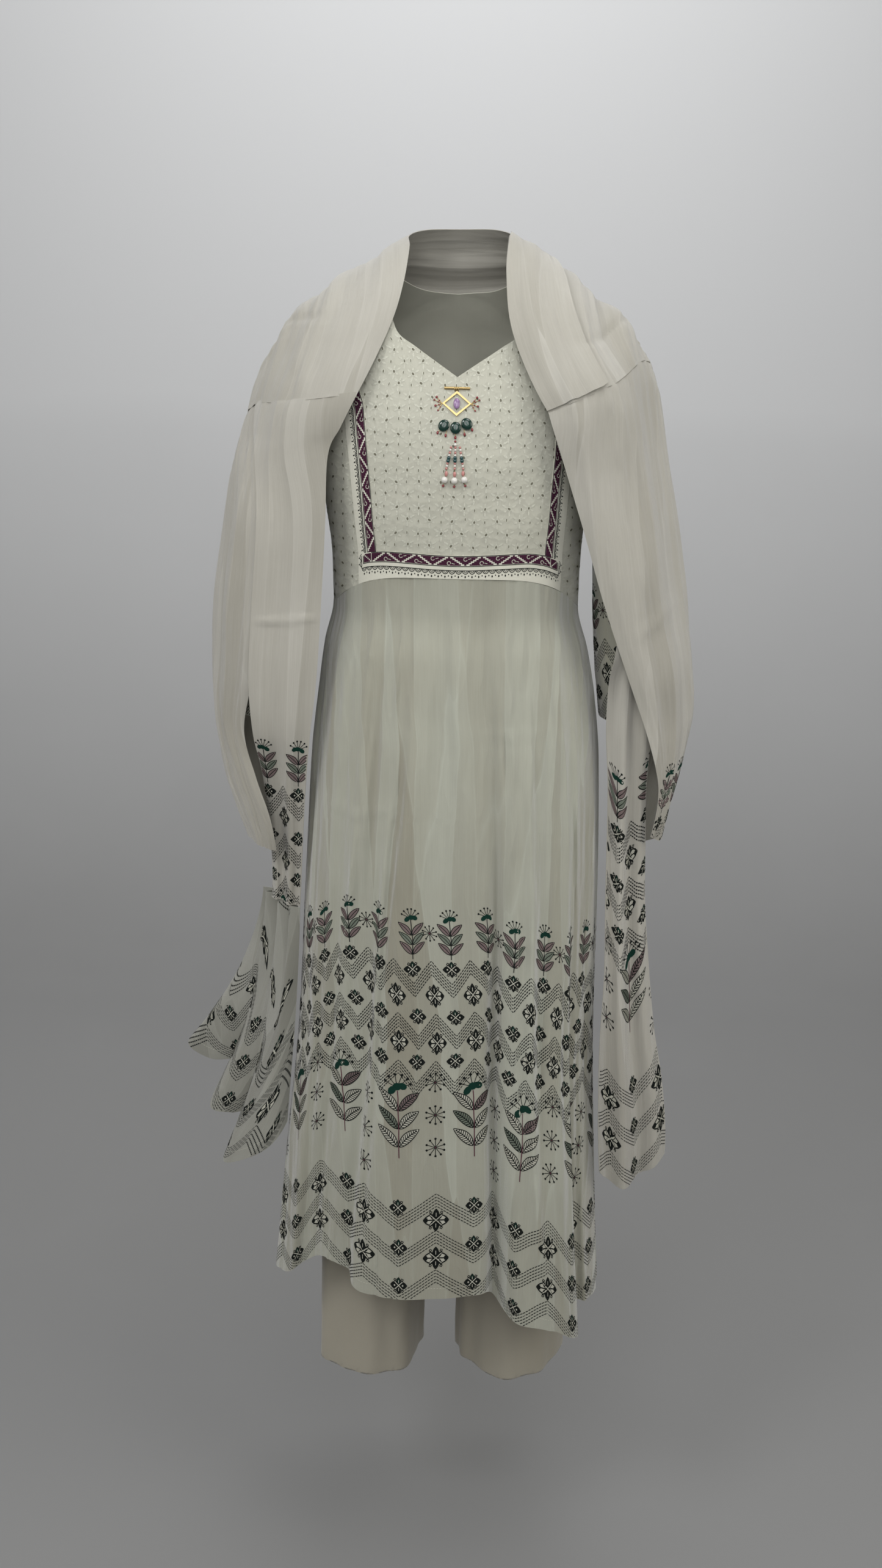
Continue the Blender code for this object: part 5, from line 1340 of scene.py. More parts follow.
def gather_wave(angles, below):
    """Fine gathers under the empire seam, each with its own place, height and length."""
    rng = np.random.default_rng(SEEDS["gathers"])
    places = np.linspace(-90, 270, GATHERS, endpoint=False) + rng.uniform(-0.6, 0.6, GATHERS)
    heights = GATHER_SHARE * GATHER_HEIGHT * rng.uniform(0.3, 1.15, GATHERS)
    fades = GATHER_FADE * rng.choice([0.5, 0.9, 1.6, 2.6], GATHERS)
    total = np.zeros_like(angles)
    for place, height, fade in zip(places, heights, fades):
        away = turned(angles, place) / GATHER_HALF_ANGLE
        total += height * np.exp(-below / fade) * np.exp(-(away**2))
    return total - GATHER_SHARE * GATHER_HEIGHT * 0.5 * np.exp(-below / GATHER_FADE)


def ripple_wave(angles, below):
    """Uneven shallow flutes all round, which grow below the gathers and drift as they fall."""
    total = np.zeros_like(angles)
    for count, phase, height, drift in RIPPLES:
        total += height * np.sin(np.radians(angles) * count + phase + drift * below)
    return total * np.clip(below / RIPPLE_FADE_IN, 0, 1)


def fold_wave(angles, drops):
    """The hanging folds of the skirt, which fade in below their tops."""
    total = np.zeros_like(angles)
    for fold in SKIRT_FOLDS:
        away = turned(angles, fold.angle) / fold.half_angle
        fade_in = np.clip((drops - fold.top_drop) / FOLD_FADE_IN, 0, 1)
        fade_out = np.clip((fold.foot_drop - drops) / FOLD_FADE_OUT, 0, 1)
        total += fold.height * np.exp(-(away**2)) * fade_in * fade_out
    return total


def every(period, first, start, end):
    """Places from start to end, a period apart."""
    count = np.arange(math.ceil((start - first) / period), math.floor((end - first) / period) + 1)
    return first + count * period


def skirt_motifs(start, end, seed, plants=True):
    """All the shapes printed on a skirt panel between two places across it."""
    rng = np.random.default_rng(seed)
    m = Motif()

    def row(shape, period, first, drop):
        """Copies of a shape in a row across the cloth, each a little off its place."""
        places = every(period, first, start, end)
        places = np.column_stack([places, np.full(len(places), -drop)])
        m.stamp(shape, places + rng.normal(0, PRINT_JITTER, places.shape))

    valley = PRINT_PEAK + SMALL_PERIOD / 2
    big_valley = PRINT_PEAK + BIG_PERIOD / 2
    if plants:
        row(small_flower(), SMALL_PERIOD, valley, SMALL_PLANTS_DROP)
    row(starburst(8.5), BIG_PERIOD, PRINT_PEAK, SMALL_STARS_DROP)
    for drop in UPPER_BANDS:
        m.stamp(chevrons(start, end, PRINT_PEAK, SMALL_PERIOD, UPPER_HEIGHT, -drop), [(0, 0)])
    for drop in UPPER_SMALL_MEDALLIONS:
        row(medallion(19, 17, petals=False), SMALL_PERIOD, valley, drop)
    for drop in UPPER_LARGE_MEDALLIONS:
        row(medallion(20, 25), SMALL_PERIOD, PRINT_PEAK, drop)
    if plants:
        row(big_flower(), BIG_PERIOD, big_valley, BIG_PLANTS_DROP)
    else:
        row(medallion(25, 22), SMALL_PERIOD, valley, UPPER_FOOT_DROP)
    for number, x in enumerate(every(BIG_PERIOD, PRINT_PEAK, start, end) if plants else ()):
        for drop in STAR_DROPS if number % 2 else OTHER_STAR_DROPS:
            m.stamp(starburst(11), [(x, -drop)])
    for drop in LOWER_BANDS:
        m.stamp(chevrons(start, end, PRINT_PEAK, BIG_PERIOD, LOWER_HEIGHT, -drop), [(0, 0)])
    for drop in LOWER_LARGE_MEDALLIONS:
        row(medallion(29, 26), BIG_PERIOD, PRINT_PEAK, drop)
    for drop in LOWER_SMALL_MEDALLIONS:
        row(medallion(19, 19, petals=False), BIG_PERIOD, big_valley, drop)
    hem = Motif()
    ends = [(start * 1000, HEM_STITCH_RISE), (end * 1000, HEM_STITCH_RISE)]
    hem.dashes(ends, STITCH_WIDTH, "thread", 2.2, 1.2)
    m.stamp(hem, [(0, -PRINT_LENGTH)])
    return m


def skirt_shares():
    """How far down the skirt each of its rows lies, from the hem up."""
    return np.linspace(1, 0, FINE_SKIRT_ROWS + 1) ** SKIRT_ROW_POWER


def print_skirt(name, grid, inks, seed):
    """The whole print on one panel of the skirt."""
    across = lengths(grid)[0]
    up = np.repeat(-skirt_shares()[:, None] * PRINT_LENGTH, grid.shape[1], axis=1)
    widest = across[:, -1].max()
    shapes = skirt_motifs(-widest, widest, seed)
    return laid(name, shapes, grid, grid_normals(grid), across, up, inks)


def print_panel(name, grid, normals, up, shift, inks, seed, closed=False, plants=True):
    """The same printed end on another piece, moved across it by a shift."""
    if closed:
        grid, normals, up = (np.concatenate([a, a[:, :1]], axis=1) for a in (grid, normals, up))
    if up[0].mean() > up[-1].mean():
        grid, normals, up = grid[::-1], normals[::-1], up[::-1]
    across = lengths(grid)[0] + shift
    reach = np.abs(across).max()
    shapes = skirt_motifs(-reach, reach, seed, plants)
    return laid(name, shapes, grid, normals, across, up, inks)


def make_skirt(material, inks):
    """The front and back of the skirt, with their folds and print."""
    for facing, node in ((FRONT, "skirt_front"), (BACK, "skirt_back")):
        start = -90 if facing == FRONT else 90
        angles = np.linspace(start, start + 180, FINE_SKIRT_COLUMNS[facing] + 1)
        grid = np.array([skirt_row(angles, share) for share in skirt_shares()])
        grid[:, [0, -1], 1] = facing * FINE_GAP / 2
        grid = creased(grid, SKIRT_CREASES) if facing == FRONT else grid
        swell = wander(grid, SKIRT_SWELL, SEEDS["skirt swell"] + facing)
        swell[:, [0, -1]] = 0
        grid = grid + grid_normals(grid) * swell[..., None]
        piece = cloth(node + "_cloth", grid, material, [node])
        motifs = print_skirt(node + "_print", grid, inks, SEEDS["skirt print"] + facing)


def bodice_fine(facing):
    """Both halves of a yoke panel as one grid, its middle column, and where the neck parts it."""
    parting = BODICE_ROWS - len(NECKLINE[facing]) + 1
    halves = []
    for side in (LEFT, RIGHT):
        coarse = np.array(bodice_half(facing, side))
        rows, columns = coarse.shape[:2]
        flat = coarse.reshape(rows, -1)
        below = np.linspace(0, parting, parting * BODICE_STEPS + 1)
        above = np.linspace(parting, rows - 1, (rows - 1 - parting) * BODICE_STEPS + 1)[1:]
        low = through(np.arange(parting + 1), flat[: parting + 1], below)
        high = through(np.arange(parting, rows), flat[parting:], above)
        height = len(below) + len(above)
        fine = np.vstack([low, high]).reshape(height, columns, 3)
        fine = fine.transpose(1, 0, 2).reshape(columns, -1)
        across = np.linspace(0, columns - 1, (columns - 1) * BODICE_STEPS + 1)
        fine = through(np.arange(columns), fine, across).reshape(len(across), height, 3)
        halves.append(fine.transpose(1, 0, 2))
    left, right = halves
    grid = np.concatenate([left[:, ::-1], right], axis=1)
    return grid, left.shape[1], parting * BODICE_STEPS


def half_normals(grid, middle, flip):
    """Normals of a yoke grid whose two halves meet, or part, at its middle columns."""
    normals = grid_normals(np.delete(grid, middle, axis=1), flip)
    return np.concatenate([normals[:, :middle], normals[:, middle - 1 :]], axis=1)


def eyelet_motif(lean):
    """A leaning stitched oval eyelet, its opening a painted shade, with short stitched petals that fan
    out round it.
    """
    m = Motif()
    # painted shade: the opening is a dark patch for the shade seen through it
    m.blob(0, 0, 1.0, 1.6, "hole_shade", layer=2)
    for turn in range(0, 360, 60):
        way = heading(turn + lean)
        m.leaf(way * 2.6, way * (8.4 if turn % 120 else 6.4), 1.8, "thread", "thread", line=0.3)
    m.stroke(arc(0, 0, 1.7, 0, 360, 13, squash=1.3), 0.9, "thread", 4)
    m.points[:, :2] = m.points[:, :2] @ rotation(lean)
    return m


def slit_motif():
    """A narrow stitched slit, its opening a painted shade."""
    m = Motif()
    # painted shade: the slit is a dark patch for the shade seen through it
    m.blob(0, 0, 0.55, 1.7, "hole_shade", layer=2, sides=8)
    m.stroke(arc(0, 0, 0.95, 0, 360, 9, squash=2.2), 0.6, "thread", 4)
    return m


def yoke_motifs():
    """Eyelets, slits and the stitches along the neckline."""
    rng = np.random.default_rng(SEEDS["eyelets"])
    holes, slits = [], []
    drop = EYELET_TOP_DROP
    row = 0
    while drop < EYELET_FOOT_DROP:
        share = (drop - EYELET_TOP_DROP) / (EYELET_FOOT_DROP - EYELET_TOP_DROP)
        step = EYELET_ROWS[0] + (EYELET_ROWS[1] - EYELET_ROWS[0]) * share
        for column in EYELET_COLUMNS:
            x = EYELET_X + (column + 0.5 * (row % 2)) * EYELET_STEP
            holes.append((x, -drop))
            slits.append((x + EYELET_STEP / 2, -drop))
        drop += step
        row += 1
    m = Motif()
    holes = np.array(holes)
    holes += rng.normal(0, EYELET_JITTER, holes.shape)
    kinds = rng.integers(0, len(EYELET_LEANS), len(holes))
    for kind, lean in enumerate(EYELET_LEANS):
        m.stamp(eyelet_motif(lean), holes[kinds == kind], rng.uniform(0.85, 1.1))
    m.stamp(slit_motif(), np.array(slits) + rng.normal(0, SLIT_JITTER, (len(slits), 2)))
    neck = table(NECKLINE[FRONT], "x", "drop")
    for side in (LEFT, RIGHT):
        line = np.column_stack([side * neck[:, 0], -neck[:, 1] - NECK_STITCH_IN]) * 1000
        stitches = Motif()
        stitches.dashes(line, STITCH_WIDTH, "thread", 2.0, 1.0, 3)
        m.stamp(stitches, [(0, 0)])
    return m


def border_triangles(m, start, end, plan, deep):
    """Stepped triangles that point up and down in turn, each with a pale hook at its foot."""
    for number, at in enumerate(np.arange(start, end + BORDER_PAIR / 2, BORDER_PAIR / 2)):
        rising = number % 2 == 0
        for step in range(BORDER_STEPS):
            half = (BORDER_PAIR / 2 - BORDER_APART) * (1 - (step + 0.5) / BORDER_STEPS)
            low = BORDER_MARGIN + step * deep if rising else plan.band - (step + 1) * deep
            middle = low + deep / 2
            left, right = max(start, at - half), min(end, at + half)
            if right - left > 0.5:
                m.stroke([(left, middle), (right, middle)], deep * 1.02, "plum")
        if start + 4 < at < end - 4:
            way = 1 if rising else -1
            foot = BORDER_MARGIN + deep * 1.6 if rising else plan.band - deep * 1.6
            m.stroke(arc(at, foot, 1.9, 20, 300 * way, 9), 0.8, "light", 3)
            m.stroke([(at + 2.9, foot), (at + 6, foot - way * 0.8)], 0.7, "light", 3)


def border_lines(m, start, end, plan, corners):
    """The three lines along a strip, turned at its ends where it meets the side strips."""
    lines = (BORDER_FIRST_LINE, plan.line, plan.second)
    side_lines = (BORDER_FIRST_LINE, SIDE_BORDER.line, SIDE_BORDER.second)
    for line, side_line in zip(lines, side_lines):
        left, right = start - side_line * corners[0], end + side_line * corners[1]
        m.stroke([(left, line), (right, line)], BORDER_LINE, "ink_dark", 2)
        for x, used in ((left, corners[0]), (right, corners[1])):
            if used:
                m.stroke([(x, -0.5), (x, line)], BORDER_LINE, "ink_dark", 2)


def border_corners(m, start, end, plan, corners, deep):
    """Stepped triangles that fill the corners between a strip and the side strips."""
    for x, used in ((start, -corners[0]), (end, corners[1])):
        for step in range(BORDER_STEPS if used else 0):
            reach = SIDE_BORDER.band * (1 - step / BORDER_STEPS) - 2.0
            middle = BORDER_MARGIN + (BORDER_STEPS - step - 0.5) * deep
            opposite = plan.band + BORDER_MARGIN - middle
            if reach > 0.8:
                near, far = SIDE_BORDER.band - reach, SIDE_BORDER.band
                m.stroke([(x + used * near, middle), (x + used * far, middle)], deep, "plum")
                near, far = 0.8, 0.8 + reach
                m.stroke([(x + used * near, opposite), (x + used * far, opposite)], deep, "plum")


def border_loops(m, start, end, plan, corners):
    """Loops with drops along the outer line of a strip, and round its corners."""
    left, right = start - SIDE_BORDER.second * corners[0], end + SIDE_BORDER.second * corners[1]
    squash = (plan.scallop - plan.second) / (SCALLOP / 2)
    loops = max(1, round((right - left) / SCALLOP))
    for at in left + (np.arange(loops) + 0.5) * (right - left) / loops:
        outer = arc(at, plan.second, SCALLOP / 2 - 0.4, 0, 180, 9, squash)
        inner = arc(at, plan.second, SCALLOP / 4, 0, 180, 5, squash)
        m.stroke(outer, BORDER_LINE, "ink_dark", 2)
        m.stroke(inner, 0.6, "ink_dark", 2)
        m.blob(at, plan.drops, 0.8, 1.3, "ink_dark", sides=6)
        m.blob(at + SCALLOP / 2, plan.drops - 1.0, 0.6, 0.9, "ink_dark", sides=6)
    for x, used in ((left, -corners[0]), (right, corners[1])):
        for at in np.arange(SCALLOP / 2, plan.second, SCALLOP) if used else ():
            loop = arc(0, at, SCALLOP / 2 - 0.4, -90, 90, 9)
            loop[:, 0] = x + used * loop[:, 0] * 0.8
            m.stroke(loop, BORDER_LINE, "ink_dark", 2)
            m.blob(x + used * 4.2, at, 1.2, 0.8, "ink_dark", sides=6)


def border_motifs(start, end, plan, corners=(0, 0)):
    """The print of one border strip. Where corners are given, it runs on to meet the side strips."""
    m = Motif()
    deep = (plan.band - BORDER_MARGIN) / BORDER_STEPS
    border_triangles(m, start, end, plan, deep)
    border_lines(m, start, end, plan, corners)
    border_corners(m, start, end, plan, corners, deep)
    border_loops(m, start, end, plan, corners)
    return m


def print_strip(node, strip, inks):
    """The border's print on one of its strips, which each run from their inner line outwards."""
    u, v = lengths(strip)
    if node == "border_bottom":
        half = (u[-1, -1] - BORDER_WIDTH) * 1000
        shapes = border_motifs(-half, half, FOOT_BORDER, (1, 1))
        shapes.points[:, 1] *= -1
        across, up = u, v - v[-1:]
    else:
        shapes = border_motifs(0, v[-1].mean() * 1000, SIDE_BORDER)
        way = -1 if node == "border_left" else 1
        shapes.points[:, :2] = np.column_stack([way * shapes.points[:, 1], shapes.points[:, 0]])
        across, up = u - (u[:, -1:] if way < 0 else u[:, :1]), v
    motifs = Motif()
    motifs.stamp(shapes, [(0, 0)])
    return laid(node + "_print", motifs, strip, grid_normals(strip), across, up, inks)


def make_yoke(front_material, back_material, strip_material, inks):
    """Both yoke panels and the printed strips that lie on the front one."""
    grids = {}
    plans = (
        (FRONT, "bodice_front", front_material, "eyelet_cloth"),
        (BACK, "bodice_back", back_material, "plain_cloth"),
    )
    for facing, node, material, slot in plans:
        grid, middle, below_neck = bodice_fine(facing)
        flip = facing == BACK
        normals = half_normals(grid, middle, flip)
        swell = wander(grid, YOKE_SWELL, SEEDS["yoke swell"] + facing)
        swell *= np.clip(np.abs(grid[..., 1]) / YOKE_CALM_DEPTH, 0, 1)
        grid = grid + normals * swell[..., None]
        quads, places = grid_quads(*grid.shape[:2], flip=flip)
        columns = places[..., 1]
        in_gap = (columns.min(axis=1) == middle - 1) & (columns.max(axis=1) == middle)
        flat = grid.reshape(-1, 3)
        rows = np.arange(grid.shape[0]) <= below_neck
        number = np.arange(len(flat)).reshape(grid.shape[:2])
        number[rows, middle] = number[rows, middle - 1]
        quads = number.ravel()[quads[~in_gap]]
        uvs = flat[quads][..., [0, 2]]
        piece = shell(YOKE_SHEETS[facing], flat, normals, quads, uvs, material, [node])
        motifs = []
        if facing == FRONT:
            across, up = grid[..., 0], grid[..., 2]
            shapes = yoke_motifs()
            motifs = [laid("yoke_eyelets", shapes, grid, normals, across, up, inks, middle - 1)]
        grids[facing] = grid, normals, middle
    make_strips(grids[FRONT], strip_material, inks)
    return grids[FRONT]


def make_strips(yoke, material, inks):
    """The three strips: the yoke's own points between the border's edges, moved out."""
    grid, normals, middle = yoke
    lifted = grid + normals * LIFT_BORDER
    near, far = CENTRE_CELLS * BODICE_STEPS, (CENTRE_CELLS + BORDER_CELLS) * BODICE_STEPS
    foot = BORDER_ROWS * BODICE_STEPS
    spans = {
        "border_left": (slice(middle - 1 - far, middle - near), slice(foot, None)),
        "border_right": (slice(middle + near, middle + far + 1), slice(foot, None)),
        "border_bottom": (slice(middle - 1 - far, middle + far + 1), slice(0, foot + 1)),
    }
    for node, (columns, rows) in spans.items():
        strip = lifted[rows, columns]
        if node == "border_bottom":
            strip = np.delete(strip, far, axis=1)
        piece = cloth(node + "_cloth", strip, material, [node])
        motifs = print_strip(node, strip, inks)


def sleeve_rings(side):
    """The rings of a sleeve, from the armhole down to the cuff."""
    first = armhole_ring(side)
    turn = np.arange(len(first)) / len(first) * 2 * np.pi
    rows = [first]
    for ring in SLEEVE:
        middle_x = (ring.outer_x + ring.inner_x) / 2
        middle_drop = (ring.outer_drop + ring.inner_drop) / 2
        hang = max(0, middle_drop - UNDERARM_DROP) / (CUFF_DROP - UNDERARM_DROP)
        x = middle_x + SLEEVE_SWING[side] * hang + np.cos(turn) * (ring.outer_x - ring.inner_x) / 2
        y = ring.centre_y - np.sin(turn) * ring.half_depth
        drop = middle_drop + np.cos(turn) * (ring.outer_drop - ring.inner_drop) / 2
        rows.append(np.column_stack([side * x, y, -drop]))
    return np.array(rows)


def make_sleeves(material, inks):
    """Both sleeves, each one closed grid, with the print at their hems."""
    for side, node in ((LEFT, "sleeve_left"), (RIGHT, "sleeve_right")):
        flip = side == RIGHT
        grid = finer(sleeve_rings(side)[::-1], *SLEEVE_FINE, closed=True)
        grid = swollen(grid, SLEEVE_SWELL, SEEDS["sleeve swell"] + side, flip, True)
        piece = cloth(node + "_cloth", grid, material, [node], closed=True, flip=flip)
        normals = grid_normals(grid, flip, True)
        up = grid[..., 2] + SLEEVE_PRINT_DROP - PRINT_TOP
        seed = SEEDS["sleeve print"] + side
        motifs = print_panel(node + "_print", grid, normals, up, 0.0, inks, seed, True)


def softened(node, name, levels, material, move):
    """A finer copy of a solid's own wall, rounded and with soft folds moved into it."""
    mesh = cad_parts[node].data.copy()
    shape = bmesh.new()
    shape.from_mesh(mesh)
    bmesh.ops.remove_doubles(shape, verts=shape.verts, dist=1e-5)
    shape.to_mesh(mesh)
    shape.free()
    mesh.materials.clear()
    piece = put(name, mesh, [material], [node])
    modifier = piece.modifiers.new("round", "SUBSURF")
    modifier.levels = modifier.render_levels = levels
    graph = bpy.context.evaluated_depsgraph_get()
    fine = bpy.data.meshes.new_from_object(piece.evaluated_get(graph))
    piece.modifiers.clear()
    piece.data = fine
    points = np.empty(len(fine.vertices) * 3)
    fine.vertices.foreach_get("co", points)
    points = points.reshape(-1, 3)
    fine.vertices.foreach_set("co", (points + move(points)).ravel())
    fine.shade_smooth()
    fine.set_sharp_from_angle(angle=SHARP_ANGLE)
    return piece


def trouser_folds(side):
    """Soft hanging folds of a trouser leg, deeper towards its hem."""

    def move(points):
        """How far each point of the leg moves."""
        away = unit(points[:, :2] - np.array([side * LEG_CENTRE[0], LEG_CENTRE[1]]))
        turn = np.arctan2(away[:, 0], -away[:, 1])
        fall = np.clip((-points[:, 2] - LEG_FOLD_TOP) / LEG_FOLD_FALL, 0, 1)
        wave = np.zeros(len(points))
        for fold in LEG_WAVES:
            wave += fold.height * np.sin(fold.count * turn + fold.phase + side * fold.side_phase)
        offset = np.zeros_like(points)
        offset[:, :2] = away * (wave * fall)[:, None]
        return offset

    return move


def make_trousers(material):
    """Both legs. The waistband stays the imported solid."""
    for side, node in ((LEFT, "trouser_leg_left"), (RIGHT, "trouser_leg_right")):
        folds = trouser_folds(side)
        piece = softened(node, node + "_cloth", LEG_LEVELS, material, folds)


def pleated(grid, heights, flip, seed, folds=SCARF_FOLDS):
    """The scarf's long folds, finer uneven pleats and a soft swell, square to the cloth."""
    share = np.linspace(0, 1, grid.shape[1])
    rng = np.random.default_rng(seed)
    edge = np.sin(np.pi * share) ** 0.5
    wave = np.asarray(heights)[:, None] * (np.sin(2 * np.pi * folds * share) * edge)[None]
    along = np.linspace(0, 1, grid.shape[0])[:, None]
    for _ in range(3):
        sway = rng.uniform(-0.25, 0.25)
        drift = sway * np.sin(2 * np.pi * (along * rng.uniform(0.4, 1.2) + rng.uniform()))
        count = PLEATS * rng.uniform(0.6, 1.4)
        wave = wave + PLEAT_HEIGHT / 2 * np.sin(2 * np.pi * (count * share[None] + drift)) * edge[None]
    wave = wave + wander(grid, SCARF_SWELL, seed + 1) * edge[None]
    u, v = lengths(grid)
    spans = ((u.min(), u.max()), (v.min() - 0.1, v.max()))
    ends = np.clip(np.minimum(v, v.max(axis=0) - v) / PLEAT_END_FADE, 0, 1)
    wave = wave + crumpled(u, v, spans, SCARF_CRUMPLE, seed + 2) * ends
    return grid + grid_normals(grid, flip) * wave[..., None]


def round_off(grid, away, tilt, flip):
    """A grid that swells a little beside a crease, so that the cloth turns softly over it."""
    normals = grid_normals(grid, flip)
    facing = np.clip(-normals[..., 1] * 1.5, 0, 1)
    swell = tilt * away * np.clip(1 - away / CREASE_SWELL, 0, 1) ** 2
    return grid + normals * (swell * facing)[..., None]


def make_neck(material):
    """The scarf behind the neck and over both shoulders, with a lip that turns over each crease."""
    left = NECK_LEFT[::-1]
    sections = left + (NECK_MIDDLE,) + NECK_RIGHT
    sides = [LEFT] * len(left) + [RIGHT] * (1 + len(NECK_RIGHT))
    between, columns = NECK_FINE
    rows, heights = scarf_grid(sections, sides, columns, between)
    neck = creased(pleated(rows, heights, True, SEEDS["neck"]), SCARF_CREASES, True)
    risen = lengths(neck)[1]
    neck = round_off(neck, np.minimum(risen, risen[-1:] - risen), CREASE_TILT, True)
    lips = []
    for edge, inner in ((neck[0], neck[2]), (neck[-1], neck[-3])):
        way = edge - inner
        lips.append(edge + CREASE_LIP * way / np.linalg.norm(way, axis=1)[:, None])
    whole = np.concatenate([lips[0][None], neck, lips[1][None]])
    piece = cloth("scarf_neck_cloth", whole, material, ["dupatta_neck"], flip=True)
    return neck


def make_arm(side, node, sections, hung_on, tuck, material, inks):
    """The scarf's outer layer over one arm. It hangs from a crease of the neck stretch."""
    between, columns = ARM_FINE
    rows, heights = scarf_grid(sections, [side] * len(sections), columns, between)
    start, section = hung_on
    shares = np.linspace(start, 1, columns + 1)
    crease = section_curve(section, side, shares)
    covered = np.clip((PANEL_CREASE_SHARE + TUCK_FADE - shares) / TUCK_FADE, 0, 1)
    crease[:, 1] += tuck * covered
    crease[:, 2] -= tuck * covered
    rows = hung_from(rows, crease, CREASE_FADE)
    flip = side == RIGHT
    fade = np.clip(np.linspace(0, FOLD_START_ROWS, len(rows)), 0, 1)
    arm = pleated(rows, heights * fade, flip, SEEDS["arm"] + side, SCARF_FOLDS - 1)
    arm = creased(arm, SCARF_CREASES, flip)
    arm = round_off(arm, lengths(arm)[1], CREASE_TILT, flip)
    arm[0] = crease - grid_normals(rows, flip)[0] * THIN
    piece = cloth(node + "_cloth", arm, material, [node], flip=flip)
    motifs = []
    if side == RIGHT:
        up = arm[..., 2] + ARM_RIGHT_PRINT_DROP - PRINT_TOP
        normals = grid_normals(arm, flip)
        seed = SEEDS["arm print"]
        motifs = [print_panel(node + "_print", arm, normals, up, 0.0, inks, seed)]
    return arm


def make_scarf(material, shaded_end_material, inks):
    """Every stretch of the scarf, from the neck down to its ends."""
    neck = make_neck(material)
    left, right = (ARM_CREASE_SHARE, NECK_LEFT[-1]), (0.0, NECK_RIGHT[-1])
    make_arm(LEFT, "dupatta_arm_left", ARM_LEFT, left, ARM_TUCK, material, inks)
    arm = make_arm(RIGHT, "dupatta_arm_right", ARM_RIGHT, right, 0.0, material, inks)
    make_panels(arm, material, inks)
    make_band(neck, material)
    make_end(shaded_end_material, inks)


def left_panel():
    """The panel in front of the left arm, hung from its crease."""
    grid = panel_grid(PANEL_LEFT, LEFT, PANEL_LEFT_COLUMNS, PANEL_LEFT_FOLDS)
    shares = np.linspace(0, PANEL_CREASE_SHARE, PANEL_LEFT_COLUMNS + 1)
    grid = hung_from(grid, section_curve(NECK_LEFT[-1], LEFT, shares), CREASE_FADE)
    grid = creased(finer(grid, *PANEL_LEFT_FINE)[::-1], SCARF_CREASES, True)
    risen = lengths(grid)[1]
    return round_off(grid, risen[-1:] - risen, CREASE_TILT, True)


def right_panel(arm):
    """The inner panel on the right, hung from under the outer layer over the arm."""
    grid = panel_grid(PANEL_RIGHT, RIGHT, PANEL_RIGHT_COLUMNS, PANEL_RIGHT_FOLDS, PANEL_RIGHT_END_DIP)
    row = PANEL_RIGHT_SECTION * ARM_FINE[0]
    behind = arm[row] - grid_normals(arm, True)[row] * (CLOTH + SEAM_GAP)
    shares = np.linspace(*PANEL_RIGHT_SHARES, PANEL_RIGHT_COLUMNS + 1)
    stations = np.linspace(0, 1, len(behind))
    top = np.column_stack([np.interp(shares, stations, behind[:, axis]) for axis in range(3)])
    return finer(hung_from(grid, top, PANEL_RIGHT_FADE), *PANEL_RIGHT_FINE)[::-1]


def make_panels(arm, material, inks):
    """Both hanging panels with their prints."""
    left, right = left_panel(), right_panel(arm)
    for side, node, grid in ((LEFT, "dupatta_panel_left", left), (RIGHT, "dupatta_panel_right", right)):
        flip = side == LEFT
        grid = swollen(grid, PANEL_SWELL, SEEDS["panel swell"] + flip, flip)
        piece = cloth(node + "_cloth", grid, material, [node], flip=flip)
        if side == LEFT:
            up, shift = grid[..., 2] + PANEL_LEFT_PRINT_DROP - PRINT_TOP, PANEL_LEFT_PRINT_SHIFT
        else:
            up = PANEL_RIGHT_PRINT_SHARE * lengths(grid)[1] - PRINT_LENGTH
            shift = PANEL_RIGHT_PRINT_SHIFT
        normals, seed = grid_normals(grid, flip), SEEDS["panel print"] + flip
        motifs = print_panel(node + "_print", grid, normals, up, shift, inks, seed)


def make_band(neck, material):
    """The rolled band on the right shoulder."""
    count = (BAND_SECTIONS - 1) * NECK_FINE[0] // 2 + 1
    covered = neck[-count:]
    stations = np.linspace(0, 1, covered.shape[1])
    shares = np.linspace(0, 1, BAND_FINE * BAND_COLUMNS + 1)
    places = np.outer(np.linspace(BAND_REACH_TOP, BAND_REACH_FOOT, count), shares)
    under = np.array([round_curve(stations, row, at) for row, at in zip(covered, places)])
    lift = BAND_LIFT + BAND_ROLL * shares**2
    grid = under + grid_normals(under, True) * lift[None, :, None]
    piece = cloth("scarf_band_cloth", grid, material, ["dupatta_band_right"], flip=True)


def make_end(material, inks):
    """The ruffled end below the left hand, printed on both faces."""
    turns = table(CASCADE_HEM, "x", "y", "drop")
    at = np.linspace(0, 1, END_FINE[1] * CASCADE_COLUMNS + 1)
    hem = round_curve(np.linspace(0, 1, len(turns)), turns, at)
    top = table(CASCADE_TOP, "x", "y", "drop")
    start = top[0] + (top[1] - top[0]) * at[:, None]
    start[:, 0] += CASCADE_TOP_WAVE * np.sin(at * 6 * np.pi)
    rows = []
    for fall in np.linspace(1, 0, END_FINE[0] * CASCADE_ROWS + 1):
        row = start + (hem - start) * np.array([fall**CASCADE_FLARE, fall**1.2, fall])
        rows.append(np.column_stack([-row[:, 0], row[:, 1], -row[:, 2]]))
    grid = swollen(np.array(rows), END_SWELL, SEEDS["end swell"], True)
    piece = cloth("scarf_end_cloth", grid, material, ["dupatta_end_left"], flip=True)
    risen = lengths(grid)[1]
    up = risen * END_PRINT_LENGTH / risen[-1].mean() - PRINT_LENGTH
    for face, name in ((1, "scarf_end_print"), (-1, "scarf_end_print_back")):
        normals, seed = grid_normals(grid, True) * face, SEEDS["end print"]
        print_panel(name, grid, normals, up, 0.0, inks, seed, plants=False)


